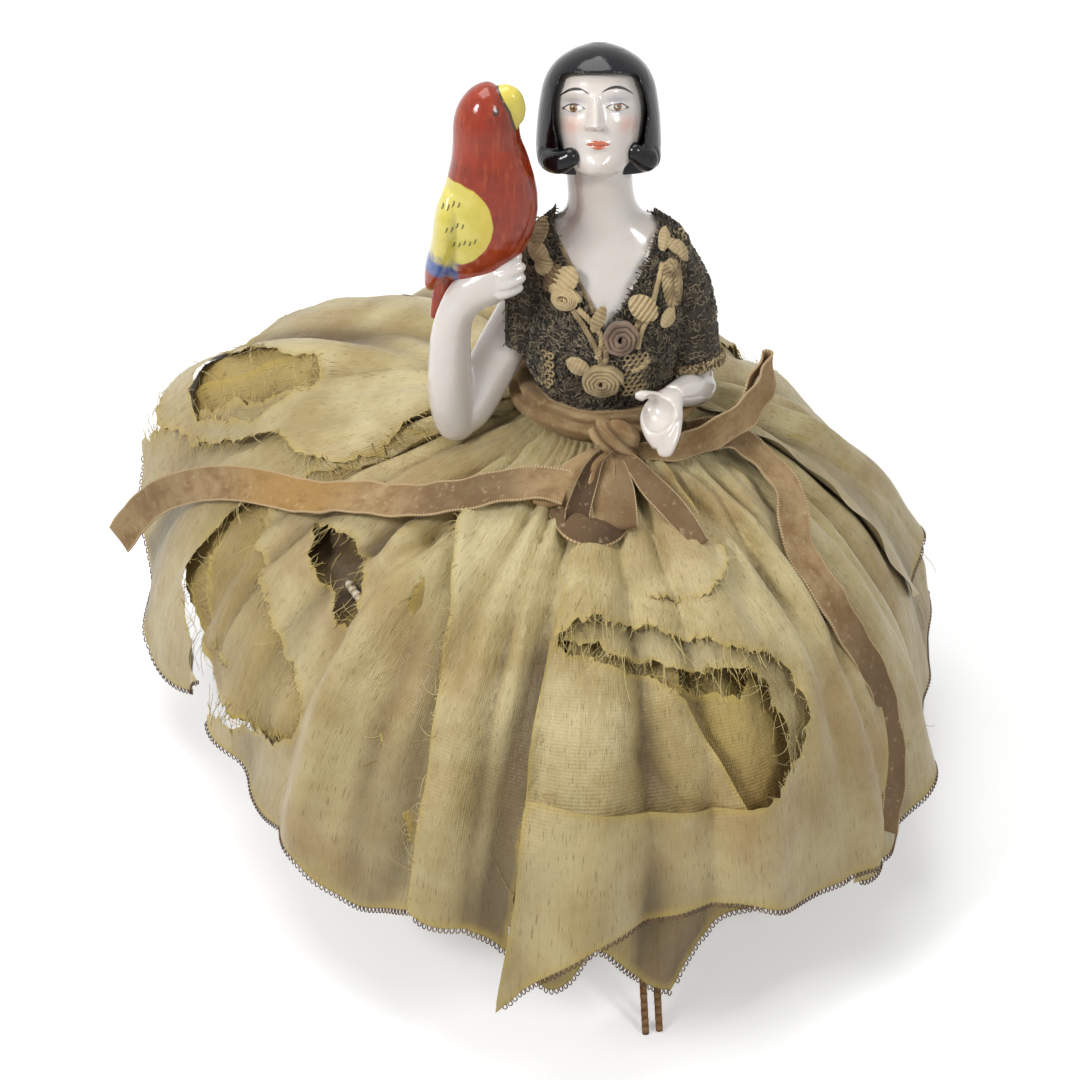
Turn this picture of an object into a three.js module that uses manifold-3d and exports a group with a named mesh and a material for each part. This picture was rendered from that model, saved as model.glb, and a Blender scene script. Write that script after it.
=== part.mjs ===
// A porcelain half doll with a parrot on her hand, sewn to a wire crinoline frame under a torn silk skirt.
// Millimetres, +Z up. The doll faces -Y and the origin is on the table, under the middle of the skirt's outline.
// A bearing is an angle round the doll in degrees, 0 at the front and positive towards +X.
import * as THREE from "three";
import { mergeVertices } from "three/addons/utils/BufferGeometryUtils.js";
import Module from "manifold-3d";

const wasm = await Module();
wasm.setup();

// Stock and clearances
const CLEARANCE = 0.3;
const SILK_THICKNESS = 1;
const RIBBON_THICKNESS = 1;
const KNIT_THICKNESS = 1.6;
const BRAID_THICKNESS = 2;

// Bust: heights are measured along the leaning body, from its own origin
const WAIST_HEIGHT = 131;
const WAIST_RISE = 11;
const BODY_LEAN = 7;
const WALL = 3.2;
const RIM_HOLE_RADIUS = 1;
const RIM_HOLES = 4;
const FIRST_RIM_HOLE = 45;
const CAVITY_TOP = 45;
const BODY_SECTIONS = [
  { up: -2.5, x: 0, y: 0, wide: 15.5, deep: 14.5 },
  { up: 2.5, x: 0, y: 0, wide: 15.5, deep: 14.5 },
  { up: 3.4, x: 0, y: 0, wide: 13.8, deep: 12.8 },
  { up: 11, x: 0, y: 0, wide: 14.4, deep: 13.2 },
  { up: 17, x: 0, y: 0, wide: 15, deep: 13.4 },
  { up: 24, x: 0, y: -0.5, wide: 16.2, deep: 14.2 },
  { up: 31, x: 0, y: -1.2, wide: 17, deep: 15 },
  { up: 38, x: 0, y: -1, wide: 17.2, deep: 14.4 },
  { up: 45, x: 0, y: -0.4, wide: 17.6, deep: 13 },
  { up: 50, x: -0.2, y: 0, wide: 18.2, deep: 11.6 },
  { up: 54, x: -0.4, y: 0.3, wide: 18, deep: 10 },
  { up: 57, x: -0.8, y: 0.8, wide: 16, deep: 8.8 },
  { up: 59.5, x: -1.2, y: 0.8, wide: 12.5, deep: 8 },
  { up: 61.5, x: -1.6, y: 0.6, wide: 9.6, deep: 7.6 },
  { up: 65, x: -2, y: 0.3, wide: 8.2, deep: 7.4 },
  { up: 71, x: -2.6, y: 0, wide: 7.9, deep: 7.5 },
  { up: 78, x: -3, y: 0, wide: 8.3, deep: 8 },
];
const BODY_SIDES = 18;
const OVAL_SQUARENESS = 0.92;

// Head: its own frame sits at the middle of the skull
const HEAD_AT = [-3, 1, 86.5];
const HEAD_TILT = 18;
const HEAD_SIDES = 14;
const HEAD_SECTIONS = [
  { up: -14, x: 0, y: -7.5, wide: 2.4, deep: 2.6 },
  { up: -12.5, x: 0, y: -6.2, wide: 5, deep: 5.4 },
  { up: -9, x: 0, y: -3.2, wide: 8.4, deep: 9 },
  { up: -4, x: 0, y: -1.2, wide: 10.4, deep: 11.2 },
  { up: 3, x: 0, y: -0.4, wide: 11.1, deep: 12 },
  { up: 9, x: 0, y: 0, wide: 9.8, deep: 11 },
  { up: 13, x: 0, y: 0, wide: 6, deep: 7 },
];
const HAIR_SECTIONS = [
  { up: -14.2, x: 0, y: 3.4, wide: 11.5, deep: 7.6 },
  { up: -12.6, x: 0, y: 2.8, wide: 14, deep: 10.6 },
  { up: -9, x: 0, y: 1.8, wide: 14.8, deep: 12.6 },
  { up: -4, x: 0, y: 1, wide: 14.6, deep: 13.8 },
  { up: 2, x: 0, y: 0.4, wide: 13.8, deep: 14.4 },
  { up: 8, x: 0, y: 0, wide: 12.2, deep: 13.4 },
  { up: 12.5, x: 0, y: 0.2, wide: 9.2, deep: 10.4 },
  { up: 15.2, x: 0, y: 0.4, wide: 5.2, deep: 6.2 },
  { up: 16.4, x: 0, y: 0.5, wide: 1.6, deep: 2 },
];
const FACE_WINDOW = { halfTop: 7, halfBottom: 10.4, fringe: 7.6, reach: 30, back: -3.5, chin: -24 };
const CURL = { radius: 2.7, x: 9.3, y: -6.4, up: -10.4 };

// Limbs, in the bust's frame
const LIMB_SIDES = 10;
const RAISED_UPPER_ARM = [
  { at: [-12, 0, 50], wide: 5 },
  { at: [-16.5, -0.2, 45], wide: 5.8 },
  { at: [-20.4, -1.1, 38], wide: 5.9 },
  { at: [-23.4, -1.9, 32.2], wide: 6 },
  { at: [-29, -4, 22], wide: 6.2 },
  { at: [-34.4, -6.6, 11.4], wide: 5.7 },
  { at: [-36.6, -7.8, 7], wide: 3.9 },
];
const RAISED_FOREARM = [
  { at: [-36.8, -7.2, 4.2], wide: 2.8 },
  { at: [-37.6, -7.8, 6.6], wide: 5 },
  { at: [-38.8, -8.8, 12], wide: 5.7 },
  { at: [-39.4, -10.2, 22], wide: 5.7 },
  { at: [-38.8, -12, 34], wide: 5 },
  { at: [-37, -13.4, 42], wide: 4.5 },
  { at: [-34, -14, 46.6], wide: 5, deep: 4.4 },
  { at: [-29.5, -14.6, 49.4], wide: 5.2, deep: 4 },
  { at: [-25, -15, 51.6], wide: 4.4, deep: 3.4 },
  { at: [-21.8, -15.2, 52.8], wide: 2.6, deep: 2.2 },
];
const LOWERED_UPPER_ARM = [
  { at: [12.5, 0, 51], wide: 5 },
  { at: [16, -0.2, 46], wide: 5.8 },
  { at: [19.4, -0.8, 37], wide: 5.6 },
  { at: [21.2, -1.7, 27.6], wide: 5 },
  { at: [21.4, -1.8, 26.8], wide: 5 },
  { at: [22, -2.5, 23], wide: 4.8 },
  { at: [22.8, -4, 17], wide: 4.4 },
  { at: [22.8, -4.6, 13], wide: 2.8 },
];
const LOWERED_FOREARM = [
  { at: [25, -2.4, 15.6], wide: 2.6, deep: 2.6 },
  { at: [23.8, -4.6, 16.4], wide: 4.2, deep: 4.2 },
  { at: [20.6, -10.4, 18.6], wide: 4.3, deep: 4.2 },
  { at: [17.2, -16.4, 20.8], wide: 3.5, deep: 3.4 },
  { at: [15.4, -19.8, 21.4], wide: 3.8, deep: 2.9 },
  { at: [13, -24.4, 19.6], wide: 5.3, deep: 2.8 },
  { at: [12.6, -28, 16.2], wide: 4.5, deep: 2.2 },
  { at: [13.2, -30.6, 13], wide: 2.8, deep: 1.6 },
];
const LOWERED_THUMB = [
  { at: [13, -22.4, 20.6], wide: 2.1 },
  { at: [9.4, -23, 23], wide: 1.7 },
  { at: [6.2, -23.8, 24.2], wide: 1 },
];

// Parrot, in the bust's frame
const PARROT_SIDES = 14;
const PARROT_BODY = [
  { at: [-36.6, -7.5, 47.5], wide: 2.8, deep: 2.2 },
  { at: [-35.4, -9, 51], wide: 6, deep: 5 },
  { at: [-33.4, -10.8, 56], wide: 9.2, deep: 7.2 },
  { at: [-30.6, -12, 63], wide: 11.4, deep: 8.8 },
  { at: [-28.6, -12.6, 71], wide: 11.3, deep: 9.2 },
  { at: [-28.6, -12.6, 79], wide: 9.5, deep: 8.8 },
  { at: [-29.2, -12.6, 85], wide: 8, deep: 8 },
  { at: [-29.2, -12.9, 90.5], wide: 7.5, deep: 7.6 },
  { at: [-28.4, -13, 94.8], wide: 5.8, deep: 6.2 },
  { at: [-27.2, -13, 97.6], wide: 2.4, deep: 2.8 },
];
const PARROT_BEAK = [
  { at: [-26.2, -13.2, 94.4], wide: 3.3, deep: 2.9 },
  { at: [-24.2, -13.6, 95], wide: 3.3, deep: 2.8 },
  { at: [-22.4, -13.9, 93], wide: 2.2, deep: 1.9 },
  { at: [-22, -14, 89.8], wide: 0.8, deep: 0.8 },
];
const PARROT_WING = [
  { at: [-37.4, -15, 74], wide: 2.2, deep: 3.2 },
  { at: [-38.4, -15, 68], wide: 3.2, deep: 6 },
  { at: [-39.6, -13.6, 60], wide: 3.2, deep: 6.2 },
  { at: [-41.6, -12, 53], wide: 2.8, deep: 4.4 },
  { at: [-43.4, -10.4, 46.8], wide: 1, deep: 1.4 },
];
const PARROT_TAIL = [
  { at: [-36.4, -6.6, 53], wide: 3.4, deep: 2.2 },
  { at: [-39.6, -4.8, 45.4], wide: 3, deep: 1.8 },
  { at: [-43.2, -3.6, 35.4], wide: 1.2, deep: 0.8 },
];

// Bodice, in the bust's frame
const BODICE_BOTTOM = 19.2;
const BRAID_BOTTOM = 17.6;
const BODICE_TOP = 63;
const BACK_NECKLINE = { up: 58, half: 12, x: -1 };
const NECKLINE = [
  [-13.6, 70],
  [-13.6, 61],
  [-12.3, 56.7],
  [-1.7, 38],
  [7.3, 52],
  [11.4, 60],
  [11.4, 70],
];
const NECK_EDGE_RADIUS = 0.5;
const NECK_EDGE_INSET = 0.5;
const NECK_EDGE_STEPS = 14;
const LEFT_NECK_EDGE = [[-12.3, 56.4], [-8.8, 51.4], [-5.4, 44.6], [-2.8, 39.6]];
const RIGHT_NECK_EDGE = [[9.6, 56.4], [7.3, 52.2], [3, 45.4], [-0.2, 40.2]];
const SLEEVE_STATIONS = [1, 4];
const RAISED_SLEEVE_STATIONS = [1, 4];
const SLEEVE_HEM_STATIONS = [4, 6];
const SLEEVE_THICKNESS = 1.8;
const SLEEVE_HEM_THICKNESS = 2.2;

// Ribbon work on the bodice: across and up on the body's front
const ROSETTES = [
  { name: "rosette_button", across: -15.2, up: 51.5, radius: 2.6, height: 1.6, stand: 0.5 },
  { name: "rosette_loop_left", across: -10.6, up: 45, radius: 3.5, height: 2, stand: 1.9 },
  { name: "rosette_centre", across: 2.4, up: 36.6, radius: 4.3, height: 2.2, stand: 1.9 },
  { name: "rosette_large", across: -1.6, up: 25.4, radius: 4.9, height: 2.4, stand: 1.9 },
  { name: "rosette_loop_right", across: 15, up: 46.4, radius: 3.2, height: 2, stand: 0.9 },
];
const LEAVES = [
  { name: "leaf_shoulder_left_upper", across: -16.6, up: 57.6, length: 7, width: 3.6, turn: 70 },
  { name: "leaf_shoulder_left_lower", across: -17.4, up: 54, length: 6, width: 3.2, turn: 160 },
  { name: "leaf_fan_left", across: -10.9, up: 49.2, length: 5.4, width: 3.4, turn: -60 },
  { name: "leaf_lower_left", across: -8.4, up: 28, length: 7, width: 3.8, turn: 150 },
  { name: "leaf_fan_right", across: 11.6, up: 42.4, length: 6.4, width: 4, turn: 215 },
  { name: "leaf_shoulder_right_inner", across: 13.6, up: 56.6, length: 5.6, width: 3, turn: 110 },
  { name: "leaf_shoulder_right_outer", across: 17, up: 53.8, length: 5.4, width: 3, turn: 70 },
];
const LEAF_THICKNESS = 0.8;
const LEAF_STAND = 0.55;
const STEMS = [
  { name: "stem_left", route: [[-14, 48.4], [-11, 44.4], [-6.6, 39], [-2.6, 34.4], [-2, 30]] },
  { name: "stem_right", route: [[12.6, 54], [10.2, 50], [7.4, 44.6], [4.6, 39.4]] },
];
const STEM_RADIUS = 0.6;

// Sash
const SASH_WIDTH = 9.6;
const SASH_BAND = { centre: 18.6, half: 2.5, rise: 3.9, halfHeight: 2.1, widening: 1.14 };
const SASH_KNOT = { x: 1.5, wide: 5.2, deep: 3.2, tall: 4.4 };
const BOW_LOOPS = [
  { name: "bow_loop_left", bearing: -20, from: 0.18, tip: 0.29 },
  { name: "bow_loop_centre", bearing: -1, from: 0.19, tip: 0.33 },
];
const BOW_LOOP_RISE = 4.4;
const STREAMER_STEPS = 26;
// A drop from waist to hem is as long as this many degrees round the skirt
const DEGREES_IN_A_DROP = 85;
const RESTING_REACH = 8;
// Each station is a bearing, a drop and how far the ribbon stands off the cloth there
const LEFT_STREAMER = [
  [-29, 0.29, 0.4], [-36, 0.305, 0.4], [-44.5, 0.35, 0.2], [-58, 0.42, 0], [-72.5, 0.49, 0], [-81.5, 0.56, 0.3],
  [-90.5, 0.64, 1], [-96, 0.7, 1.8], [-100, 0.77, 3], [-102.5, 0.83, 5], [-104, 0.88, 7], [-104.5, 0.93, 9],
  [-104.5, 0.98, 10],
];
const RIGHT_STREAMER = [
  [60, 0.27, 0.5], [70, 0.31, 1], [72, 0.36, 1.5], [64, 0.42, 1.5], [54, 0.48, 1], [50.5, 0.56, 1], [50.5, 0.63, 1],
  [53, 0.69, 0.5], [53.5, 0.74, 0], [53.5, 0.81, 0], [49, 0.88, 0], [42, 0.93, 0],
];
const STANDING_LOOP = [
  { at: [7.4, -24.6, 1.8], width: 5 },
  { at: [18, -22.6, 1.4], width: 5.6 },
  { at: [27, -18, 2], width: 6.4 },
  { at: [35, -10.5, 3.4], width: 8 },
  { at: [40.5, -1, 5], width: 9 },
  { at: [42.6, 4, 5.6], width: 9 },
  { at: [40.4, 5.6, 5.4], width: 9 },
  { at: [38, 1, 4.6], width: 8.6 },
  { at: [35.2, -5.5, 3.4], width: 8 },
];

// Skirt outline, by bearing: the pull of the puffed shoulder, out from the shoulder hoop and up from the waist,
// and the hem, out from the base hoop and up from the table
const SKIRT_WAIST = { reach: 20.3, up: 1 };
const SKIRT_SPRING = { reach: 23, up: -9 };
const SKIRT_OUTLINE = [
  { bearing: -180, shoulder: [40, -9], hem: [38, 40] },
  { bearing: -150, shoulder: [54, 0], hem: [60, 55] },
  { bearing: -122, shoulder: [64, -3], hem: [79, 58] },
  { bearing: -104, shoulder: [53, -7], hem: [58, 36] },
  { bearing: -88, shoulder: [46, -9], hem: [34, 24] },
  { bearing: -60, shoulder: [40, -9], hem: [26, 24] },
  { bearing: -30, shoulder: [39, -9], hem: [28, 24] },
  { bearing: -8, shoulder: [40, -9], hem: [34, 24] },
  { bearing: 20, shoulder: [36, -11], hem: [26, 24] },
  { bearing: 45, shoulder: [28, -15], hem: [20, 24] },
  { bearing: 84, shoulder: [19, -19], hem: [11, 24] },
  { bearing: 112, shoulder: [21, -17], hem: [26, 24] },
  { bearing: 145, shoulder: [32, -13], hem: [26, 28] },
  { bearing: 180, shoulder: [40, -9], hem: [38, 40] },
];
const FOLD_DEPTH = 2.6;
const FOLD_WAVES = [
  { count: 16, share: 0.6, phase: 40 },
  { count: 9, share: 0.4, phase: 75 },
];
const FOLD_RISE = 0.7;
const LAYER_PITCH = 1.5;
const LAYER_SPREAD = 0.9;
const COLUMN_STEP = 6;
const ROW_STEP = 0.125;

// Panels: layer counts inwards from the outermost, hems are shares of the full drop from one side to the other
const PANELS = [
  { name: "panel_front_right", layer: 0, from: -12, to: 48, hems: [0.97, 0.9, 0.9, 0.9, 0.93, 0.9] },
  { name: "panel_centre_left", layer: 1, from: -42, to: -6, hems: [0.93, 0.92, 0.91, 0.92] },
  { name: "panel_left_front", layer: 2, from: -84, to: -30, hems: [0.68, 0.72, 0.75, 0.93, 0.95, 0.93] },
  { name: "panel_left", layer: 1, from: -114, to: -78, hems: [0.96, 1, 0.98, 0.93] },
  { name: "panel_back_left", layer: 0, from: -150, to: -102, hems: [0.81, 0.82, 0.84, 0.87, 0.66] },
  { name: "panel_back", layer: 1, from: -204, to: -138, hems: [0.93, 0.9, 0.93, 0.9] },
  { name: "panel_back_right", layer: 2, from: 120, to: 168, hems: [0.95, 0.94, 0.95] },
  { name: "panel_right_back", layer: 1, from: 84, to: 138, hems: [0.78, 0.86, 0.88, 0.9] },
  { name: "panel_right", layer: 2, from: 42, to: 108, hems: [0.95, 0.97, 0.96, 0.95] },
  { name: "lining_front", layer: 3, from: -48, to: 42, hems: [0.88, 0.9, 0.92, 0.92, 0.97, 0.9, 0.9] },
  { name: "lining_left", layer: 3, from: -114, to: -54, hems: [0.92, 0.83, 0.88, 0.88] },
  { name: "lining_back", layer: 3, from: -228, to: -120, hems: [0.88, 0.9, 0.87, 0.86] },
  { name: "lining_right", layer: 3, from: 48, to: 126, hems: [0.9, 0.9, 0.86, 0.88] },
];
const TEARS = [
  { panel: "panel_front_right", from: 12, to: 30, top: 0.5, bottom: 0.75 },
  { panel: "panel_back_left", from: -120, to: -108, top: 0.5, bottom: 0.75 },
];

// Crinoline frame
const HOOP_WIRE_RADIUS = 1.2;
const HOOP_SIDES = 5;
const HOOP_STEPS = 30;
const WAIST_HOOP = { reach: 17.4, up: -2 };
const SHOULDER_HOOP = { reach: 66, x: -7, fall: 40, tilt: 1.5 };
const BASE_HOOP = { reach: 84, x: -7, height: 40 };
const LEG_WIRE_RADIUS = 1;
const LEG_BEARINGS = [7, 127, -113];
const LEG_PRONG_SPACING = 3.6;
const FOOT_REACH = 101.5;
const FOOT_TAPER = 0.8;
const THREAD_RADIUS = 0.35;
const THREAD_INSIDE = 10.2;

// Colours
const finish = (color, roughness, metalness = 0) =>
  new THREE.MeshStandardMaterial({ color, roughness, metalness, side: THREE.DoubleSide });
const PORCELAIN = finish(0xf2ece6, 0.12);
const PARROT_RED = finish(0xb5451f, 0.15);
const KNIT = finish(0x57503f, 0.9);
const TRIM = finish(0xa08a66, 0.85);
const VELVET = finish(0xa07f5a, 0.8);
const SILK = finish(0xb0a578, 0.55);
const LINING = finish(0xb8a655, 0.6);
const WIRE = finish(0x8a6a4c, 0.6, 0.3);
const THREAD = finish(0xd9cfb8, 0.9);

// Geometry helpers

const radians = THREE.MathUtils.degToRad;
const vector = ([x, y, z]) => new THREE.Vector3(x, y, z);

function around(bearing, reach, height) {
  const angle = radians(bearing);
  return new THREE.Vector3(reach * Math.sin(angle), -reach * Math.cos(angle), height);
}

// A closed surface from shared points and triangles, turned to face outwards.
function closedGeometry(points, triangles) {
  const positions = new Float32Array(points.flatMap((p) => [p.x, p.y, p.z]));
  let volume = 0;
  for (const [a, b, c] of triangles) {
    volume += points[a].dot(points[b].clone().cross(points[c]));
  }
  const facing = volume < 0 ? triangles.map(([a, b, c]) => [a, c, b]) : triangles;
  const geometry = new THREE.BufferGeometry();
  geometry.setAttribute("position", new THREE.BufferAttribute(positions, 3));
  geometry.setIndex(facing.flat());
  return geometry;
}

// Joins rings of equal count into a closed skin, with a fan over each end, or end to end when closed.
function skin(rings, closed = false) {
  const count = rings[0].length;
  const points = rings.flat();
  const triangles = [];
  const bands = closed ? rings.length : rings.length - 1;
  for (let i = 0; i < bands; i++) {
    const next = (i + 1) % rings.length;
    for (let k = 0; k < count; k++) {
      const a = i * count + k;
      const b = i * count + ((k + 1) % count);
      const c = next * count + ((k + 1) % count);
      const d = next * count + k;
      triangles.push([a, b, c], [a, c, d]);
    }
  }
  if (!closed) {
    for (const end of [0, rings.length - 1]) {
      const centre = points.length;
      const sum = rings[end].reduce((total, p) => total.add(p), new THREE.Vector3());
      points.push(sum.divideScalar(count));
      for (let k = 0; k < count; k++) {
        const a = end * count + k;
        const b = end * count + ((k + 1) % count);
        triangles.push(end === 0 ? [centre, b, a] : [centre, a, b]);
      }
    }
  }
  return closedGeometry(points, triangles);
}

// An oval ring in a level plane, slightly squared, for the body, head and hair.
function levelRing({ up, x, y, wide, deep }, grow, sides, slope = 0) {
  const ring = [];
  for (let k = 0; k < sides; k++) {
    const angle = (2 * Math.PI * k) / sides;
    const c = Math.cos(angle);
    const s = Math.sin(angle);
    const px = x + (wide + grow) * Math.sign(c) * Math.abs(c) ** OVAL_SQUARENESS;
    const py = y + (deep + grow) * Math.sign(s) * Math.abs(s) ** OVAL_SQUARENESS;
    ring.push(new THREE.Vector3(px, py, up + slope * py));
  }
  return ring;
}

// The body's oval at any height, between the listed sections.
function bodySection(up) {
  const above = BODY_SECTIONS.findIndex((section) => section.up >= up);
  const high = BODY_SECTIONS[Math.max(1, above)];
  const low = BODY_SECTIONS[Math.max(1, above) - 1];
  const share = (up - low.up) / (high.up - low.up);
  const mix = (key) => low[key] + share * (high[key] - low[key]);
  return { up, x: mix("x"), y: mix("y"), wide: mix("wide"), deep: mix("deep") };
}

function bodyLoft(grow, from, to) {
  const inside = BODY_SECTIONS.filter((section) => section.up > from && section.up < to);
  const sections = [bodySection(from), ...inside, bodySection(to)];
  return skin(sections.map((section) => levelRing(section, grow, BODY_SIDES)));
}

// Point and outward direction on the front of the body, grown by the clothes on it.
function onBodyFront(across, up, grow) {
  const depthAt = (x, height) => {
    const { x: middle, y, wide, deep } = bodySection(height);
    const share = Math.min(0.98, Math.abs(x - middle) / (wide + grow));
    return y - (deep + grow) * Math.sqrt(1 - share * share);
  };
  const step = 0.5;
  const slopeX = (depthAt(across + step, up) - depthAt(across - step, up)) / (2 * step);
  const slopeUp = (depthAt(across, up + step) - depthAt(across, up - step)) / (2 * step);
  const outward = new THREE.Vector3(slopeX, -1, slopeUp).normalize();
  return { point: new THREE.Vector3(across, depthAt(across, up), up), outward };
}

// Rings square to a limb's path, one at each station.
function limbRings(stations, grow = 0, across = [0, 1, 0], sides = LIMB_SIDES) {
  const places = stations.map((station) => vector(station.at));
  const last = places.length - 1;
  const headings = places.map((place, i) =>
    places[Math.min(last, i + 1)].clone().sub(places[Math.max(0, i - 1)]).normalize(),
  );
  places[0].addScaledVector(headings[0], -grow);
  places[last].addScaledVector(headings[last], grow);
  return stations.map(({ wide, deep = wide }, i) => {
    const side = headings[i].clone().cross(vector(across)).normalize();
    const front = side.clone().cross(headings[i]);
    return Array.from({ length: sides }, (_, k) => {
      const angle = (2 * Math.PI * k) / sides;
      return places[i]
        .clone()
        .addScaledVector(side, (wide + grow) * Math.cos(angle))
        .addScaledVector(front, (deep + grow) * Math.sin(angle));
    });
  });
}

const limb = (...settings) => skin(limbRings(...settings));

// A round wire or cord along a path, with level ends where asked.
function wire(path, radiusAt, sides, { closed = false, levelEnds = false } = {}) {
  const last = path.length - 1;
  let normal = null;
  const rings = path.map((place, i) => {
    const before = path[closed ? (i + last) % (last + 1) : Math.max(0, i - 1)];
    const after = path[closed ? (i + 1) % (last + 1) : Math.min(last, i + 1)];
    const level = levelEnds && (i === 0 || i === last);
    const heading = after.clone().sub(before).normalize();
    if (level) heading.set(0, 0, Math.sign(heading.z));
    if (!normal) {
      const guide = Math.abs(heading.z) > 0.9 ? new THREE.Vector3(1, 0, 0) : new THREE.Vector3(0, 0, 1);
      normal = guide.cross(heading).normalize();
    }
    normal = normal.clone().addScaledVector(heading, -normal.dot(heading)).normalize();
    const other = heading.clone().cross(normal);
    const radius = radiusAt(i / last);
    return Array.from({ length: sides }, (_, k) => {
      const angle = (2 * Math.PI * k) / sides;
      return place
        .clone()
        .addScaledVector(normal, radius * Math.cos(angle))
        .addScaledVector(other, radius * Math.sin(angle));
    });
  });
  return skin(rings, closed);
}

// A sheet of even thickness over a grid of places; keep(i, j) says which cells are there.
function sheet(grid, thickness, keep = () => true) {
  const columns = grid.length - 1;
  const rows = grid[0].length - 1;
  const kept = (i, j) => i >= 0 && j >= 0 && i < columns && j < rows && keep(i, j);
  const points = [];
  const numbers = new Map();
  const number = (i, j, face) => {
    const key = `${i},${j},${face}`;
    if (!numbers.has(key)) {
      const { place, normal } = grid[i][j];
      numbers.set(key, points.length);
      points.push(place.clone().addScaledVector(normal, (face * thickness) / 2));
    }
    return numbers.get(key);
  };
  const triangles = [];
  const wall = (a, b) => {
    const [i, j] = a;
    const [m, n] = b;
    triangles.push([number(i, j, 1), number(i, j, -1), number(m, n, -1)]);
    triangles.push([number(i, j, 1), number(m, n, -1), number(m, n, 1)]);
  };
  for (let i = 0; i < columns; i++) {
    for (let j = 0; j < rows; j++) {
      if (!kept(i, j)) continue;
      const corners = [[i, j], [i + 1, j], [i + 1, j + 1], [i, j + 1]];
      const [a, b, c, d] = corners.map(([m, n]) => number(m, n, 1));
      const [e, f, g, h] = corners.map(([m, n]) => number(m, n, -1));
      triangles.push([a, b, c], [a, c, d], [e, g, f], [e, h, g]);
      if (!kept(i, j - 1)) wall(corners[0], corners[1]);
      if (!kept(i + 1, j)) wall(corners[1], corners[2]);
      if (!kept(i, j + 1)) wall(corners[2], corners[3]);
      if (!kept(i - 1, j)) wall(corners[3], corners[0]);
    }
  }
  return closedGeometry(points, triangles);
}

// A geometry as a solid for joining and cutting, and back.
function solid(geometry) {
  const bare = geometry.clone();
  bare.deleteAttribute("normal");
  bare.deleteAttribute("uv");
  const merged = mergeVertices(bare, 1e-4);
  return new wasm.Manifold(
    new wasm.Mesh({
      numProp: 3,
      vertProperties: merged.attributes.position.array,
      triVerts: new Uint32Array(merged.index.array),
    }),
  );
}

function geometryOf(made) {
  const { vertProperties, triVerts } = made.getMesh();
  const geometry = new THREE.BufferGeometry();
  geometry.setAttribute("position", new THREE.BufferAttribute(new Float32Array(vertProperties), 3));
  geometry.setIndex(Array.from(triVerts));
  return geometry;
}

function piece(name, geometry, material) {
  const mesh = new THREE.Mesh(geometry, material);
  mesh.name = name;
  return mesh;
}

// A smooth run of places through the given ones.
function smoothPath(places, steps, closed = false) {
  const curve = new THREE.CatmullRomCurve3(places, closed, "centripetal");
  const path = curve.getSpacedPoints(steps);
  return closed ? path.slice(0, -1) : path;
}

// The bust's frame leans back about the waist
const doll = new THREE.Group();
const bustFrame = new THREE.Group();
bustFrame.rotation.x = -radians(BODY_LEAN);
bustFrame.position.set(
  0,
  -WAIST_RISE * Math.sin(radians(BODY_LEAN)),
  WAIST_HEIGHT - WAIST_RISE * Math.cos(radians(BODY_LEAN)),
);
bustFrame.updateMatrix();
doll.add(bustFrame);
const LEVEL_SLOPE = Math.tan(radians(BODY_LEAN));

// Porcelain

function headSolid() {
  const place = new THREE.Matrix4()
    .makeRotationX(-radians(HEAD_TILT))
    .setPosition(vector(HEAD_AT));
  const head = solid(skin(HEAD_SECTIONS.map((section) => levelRing(section, 0, HEAD_SIDES))));
  const { halfTop, halfBottom, fringe, reach, back, chin } = FACE_WINDOW;
  const window = new THREE.Shape([
    new THREE.Vector2(-halfTop, fringe),
    new THREE.Vector2(-halfBottom, 0),
    new THREE.Vector2(-halfBottom, chin),
    new THREE.Vector2(halfBottom, chin),
    new THREE.Vector2(halfBottom, 0),
    new THREE.Vector2(halfTop, fringe),
  ]);
  const opening = new THREE.ExtrudeGeometry(window, { depth: reach, bevelEnabled: false });
  opening.rotateX(Math.PI / 2).translate(0, back, 0);
  let hair = solid(skin(HAIR_SECTIONS.map((section) => levelRing(section, 0, HEAD_SIDES))));
  hair = hair.subtract(solid(opening));
  for (const side of [-1, 1]) {
    const curl = new THREE.SphereGeometry(CURL.radius, 8, 6);
    curl.translate(side * CURL.x, CURL.y, CURL.up);
    hair = hair.add(solid(curl));
  }
  return head.add(hair).transform(place.elements);
}

const rimHoleBearing = (index) => FIRST_RIM_HOLE + (360 / RIM_HOLES) * index;

function rimHole(index) {
  const bearing = rimHoleBearing(index);
  const bore = new THREE.CylinderGeometry(RIM_HOLE_RADIUS, RIM_HOLE_RADIUS, 3 * WALL, 8);
  bore.rotateZ(radians(bearing));
  const middle = around(bearing, BODY_SECTIONS[0].deep - WALL / 2, 0);
  bore.translate(middle.x, middle.y, middle.z);
  return solid(bore);
}

function bustGeometry() {
  const top = BODY_SECTIONS.at(-1).up;
  const bottom = BODY_SECTIONS[0].up;
  let bust = solid(bodyLoft(0, bottom, top)).add(headSolid());
  const hollow = [{ ...bodySection(bottom), up: bottom - 1 }];
  hollow.push(...BODY_SECTIONS.filter((section) => section.up <= CAVITY_TOP));
  bust = bust.subtract(solid(skin(hollow.map((section) => levelRing(section, -WALL, BODY_SIDES)))));
  for (let index = 0; index < RIM_HOLES; index++) bust = bust.subtract(rimHole(index));
  return geometryOf(bust);
}

const bodyGrown = solid(bodyLoft(CLEARANCE, BODY_SECTIONS[0].up, BODY_SECTIONS.at(-1).up));
const UP_THE_BODY = [0, 1, 0];
const ACROSS_THE_HAND = [0, 0, 1];

function raisedArm(grow) {
  return solid(limb(RAISED_UPPER_ARM, grow)).add(solid(limb(RAISED_FOREARM, grow)));
}

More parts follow.
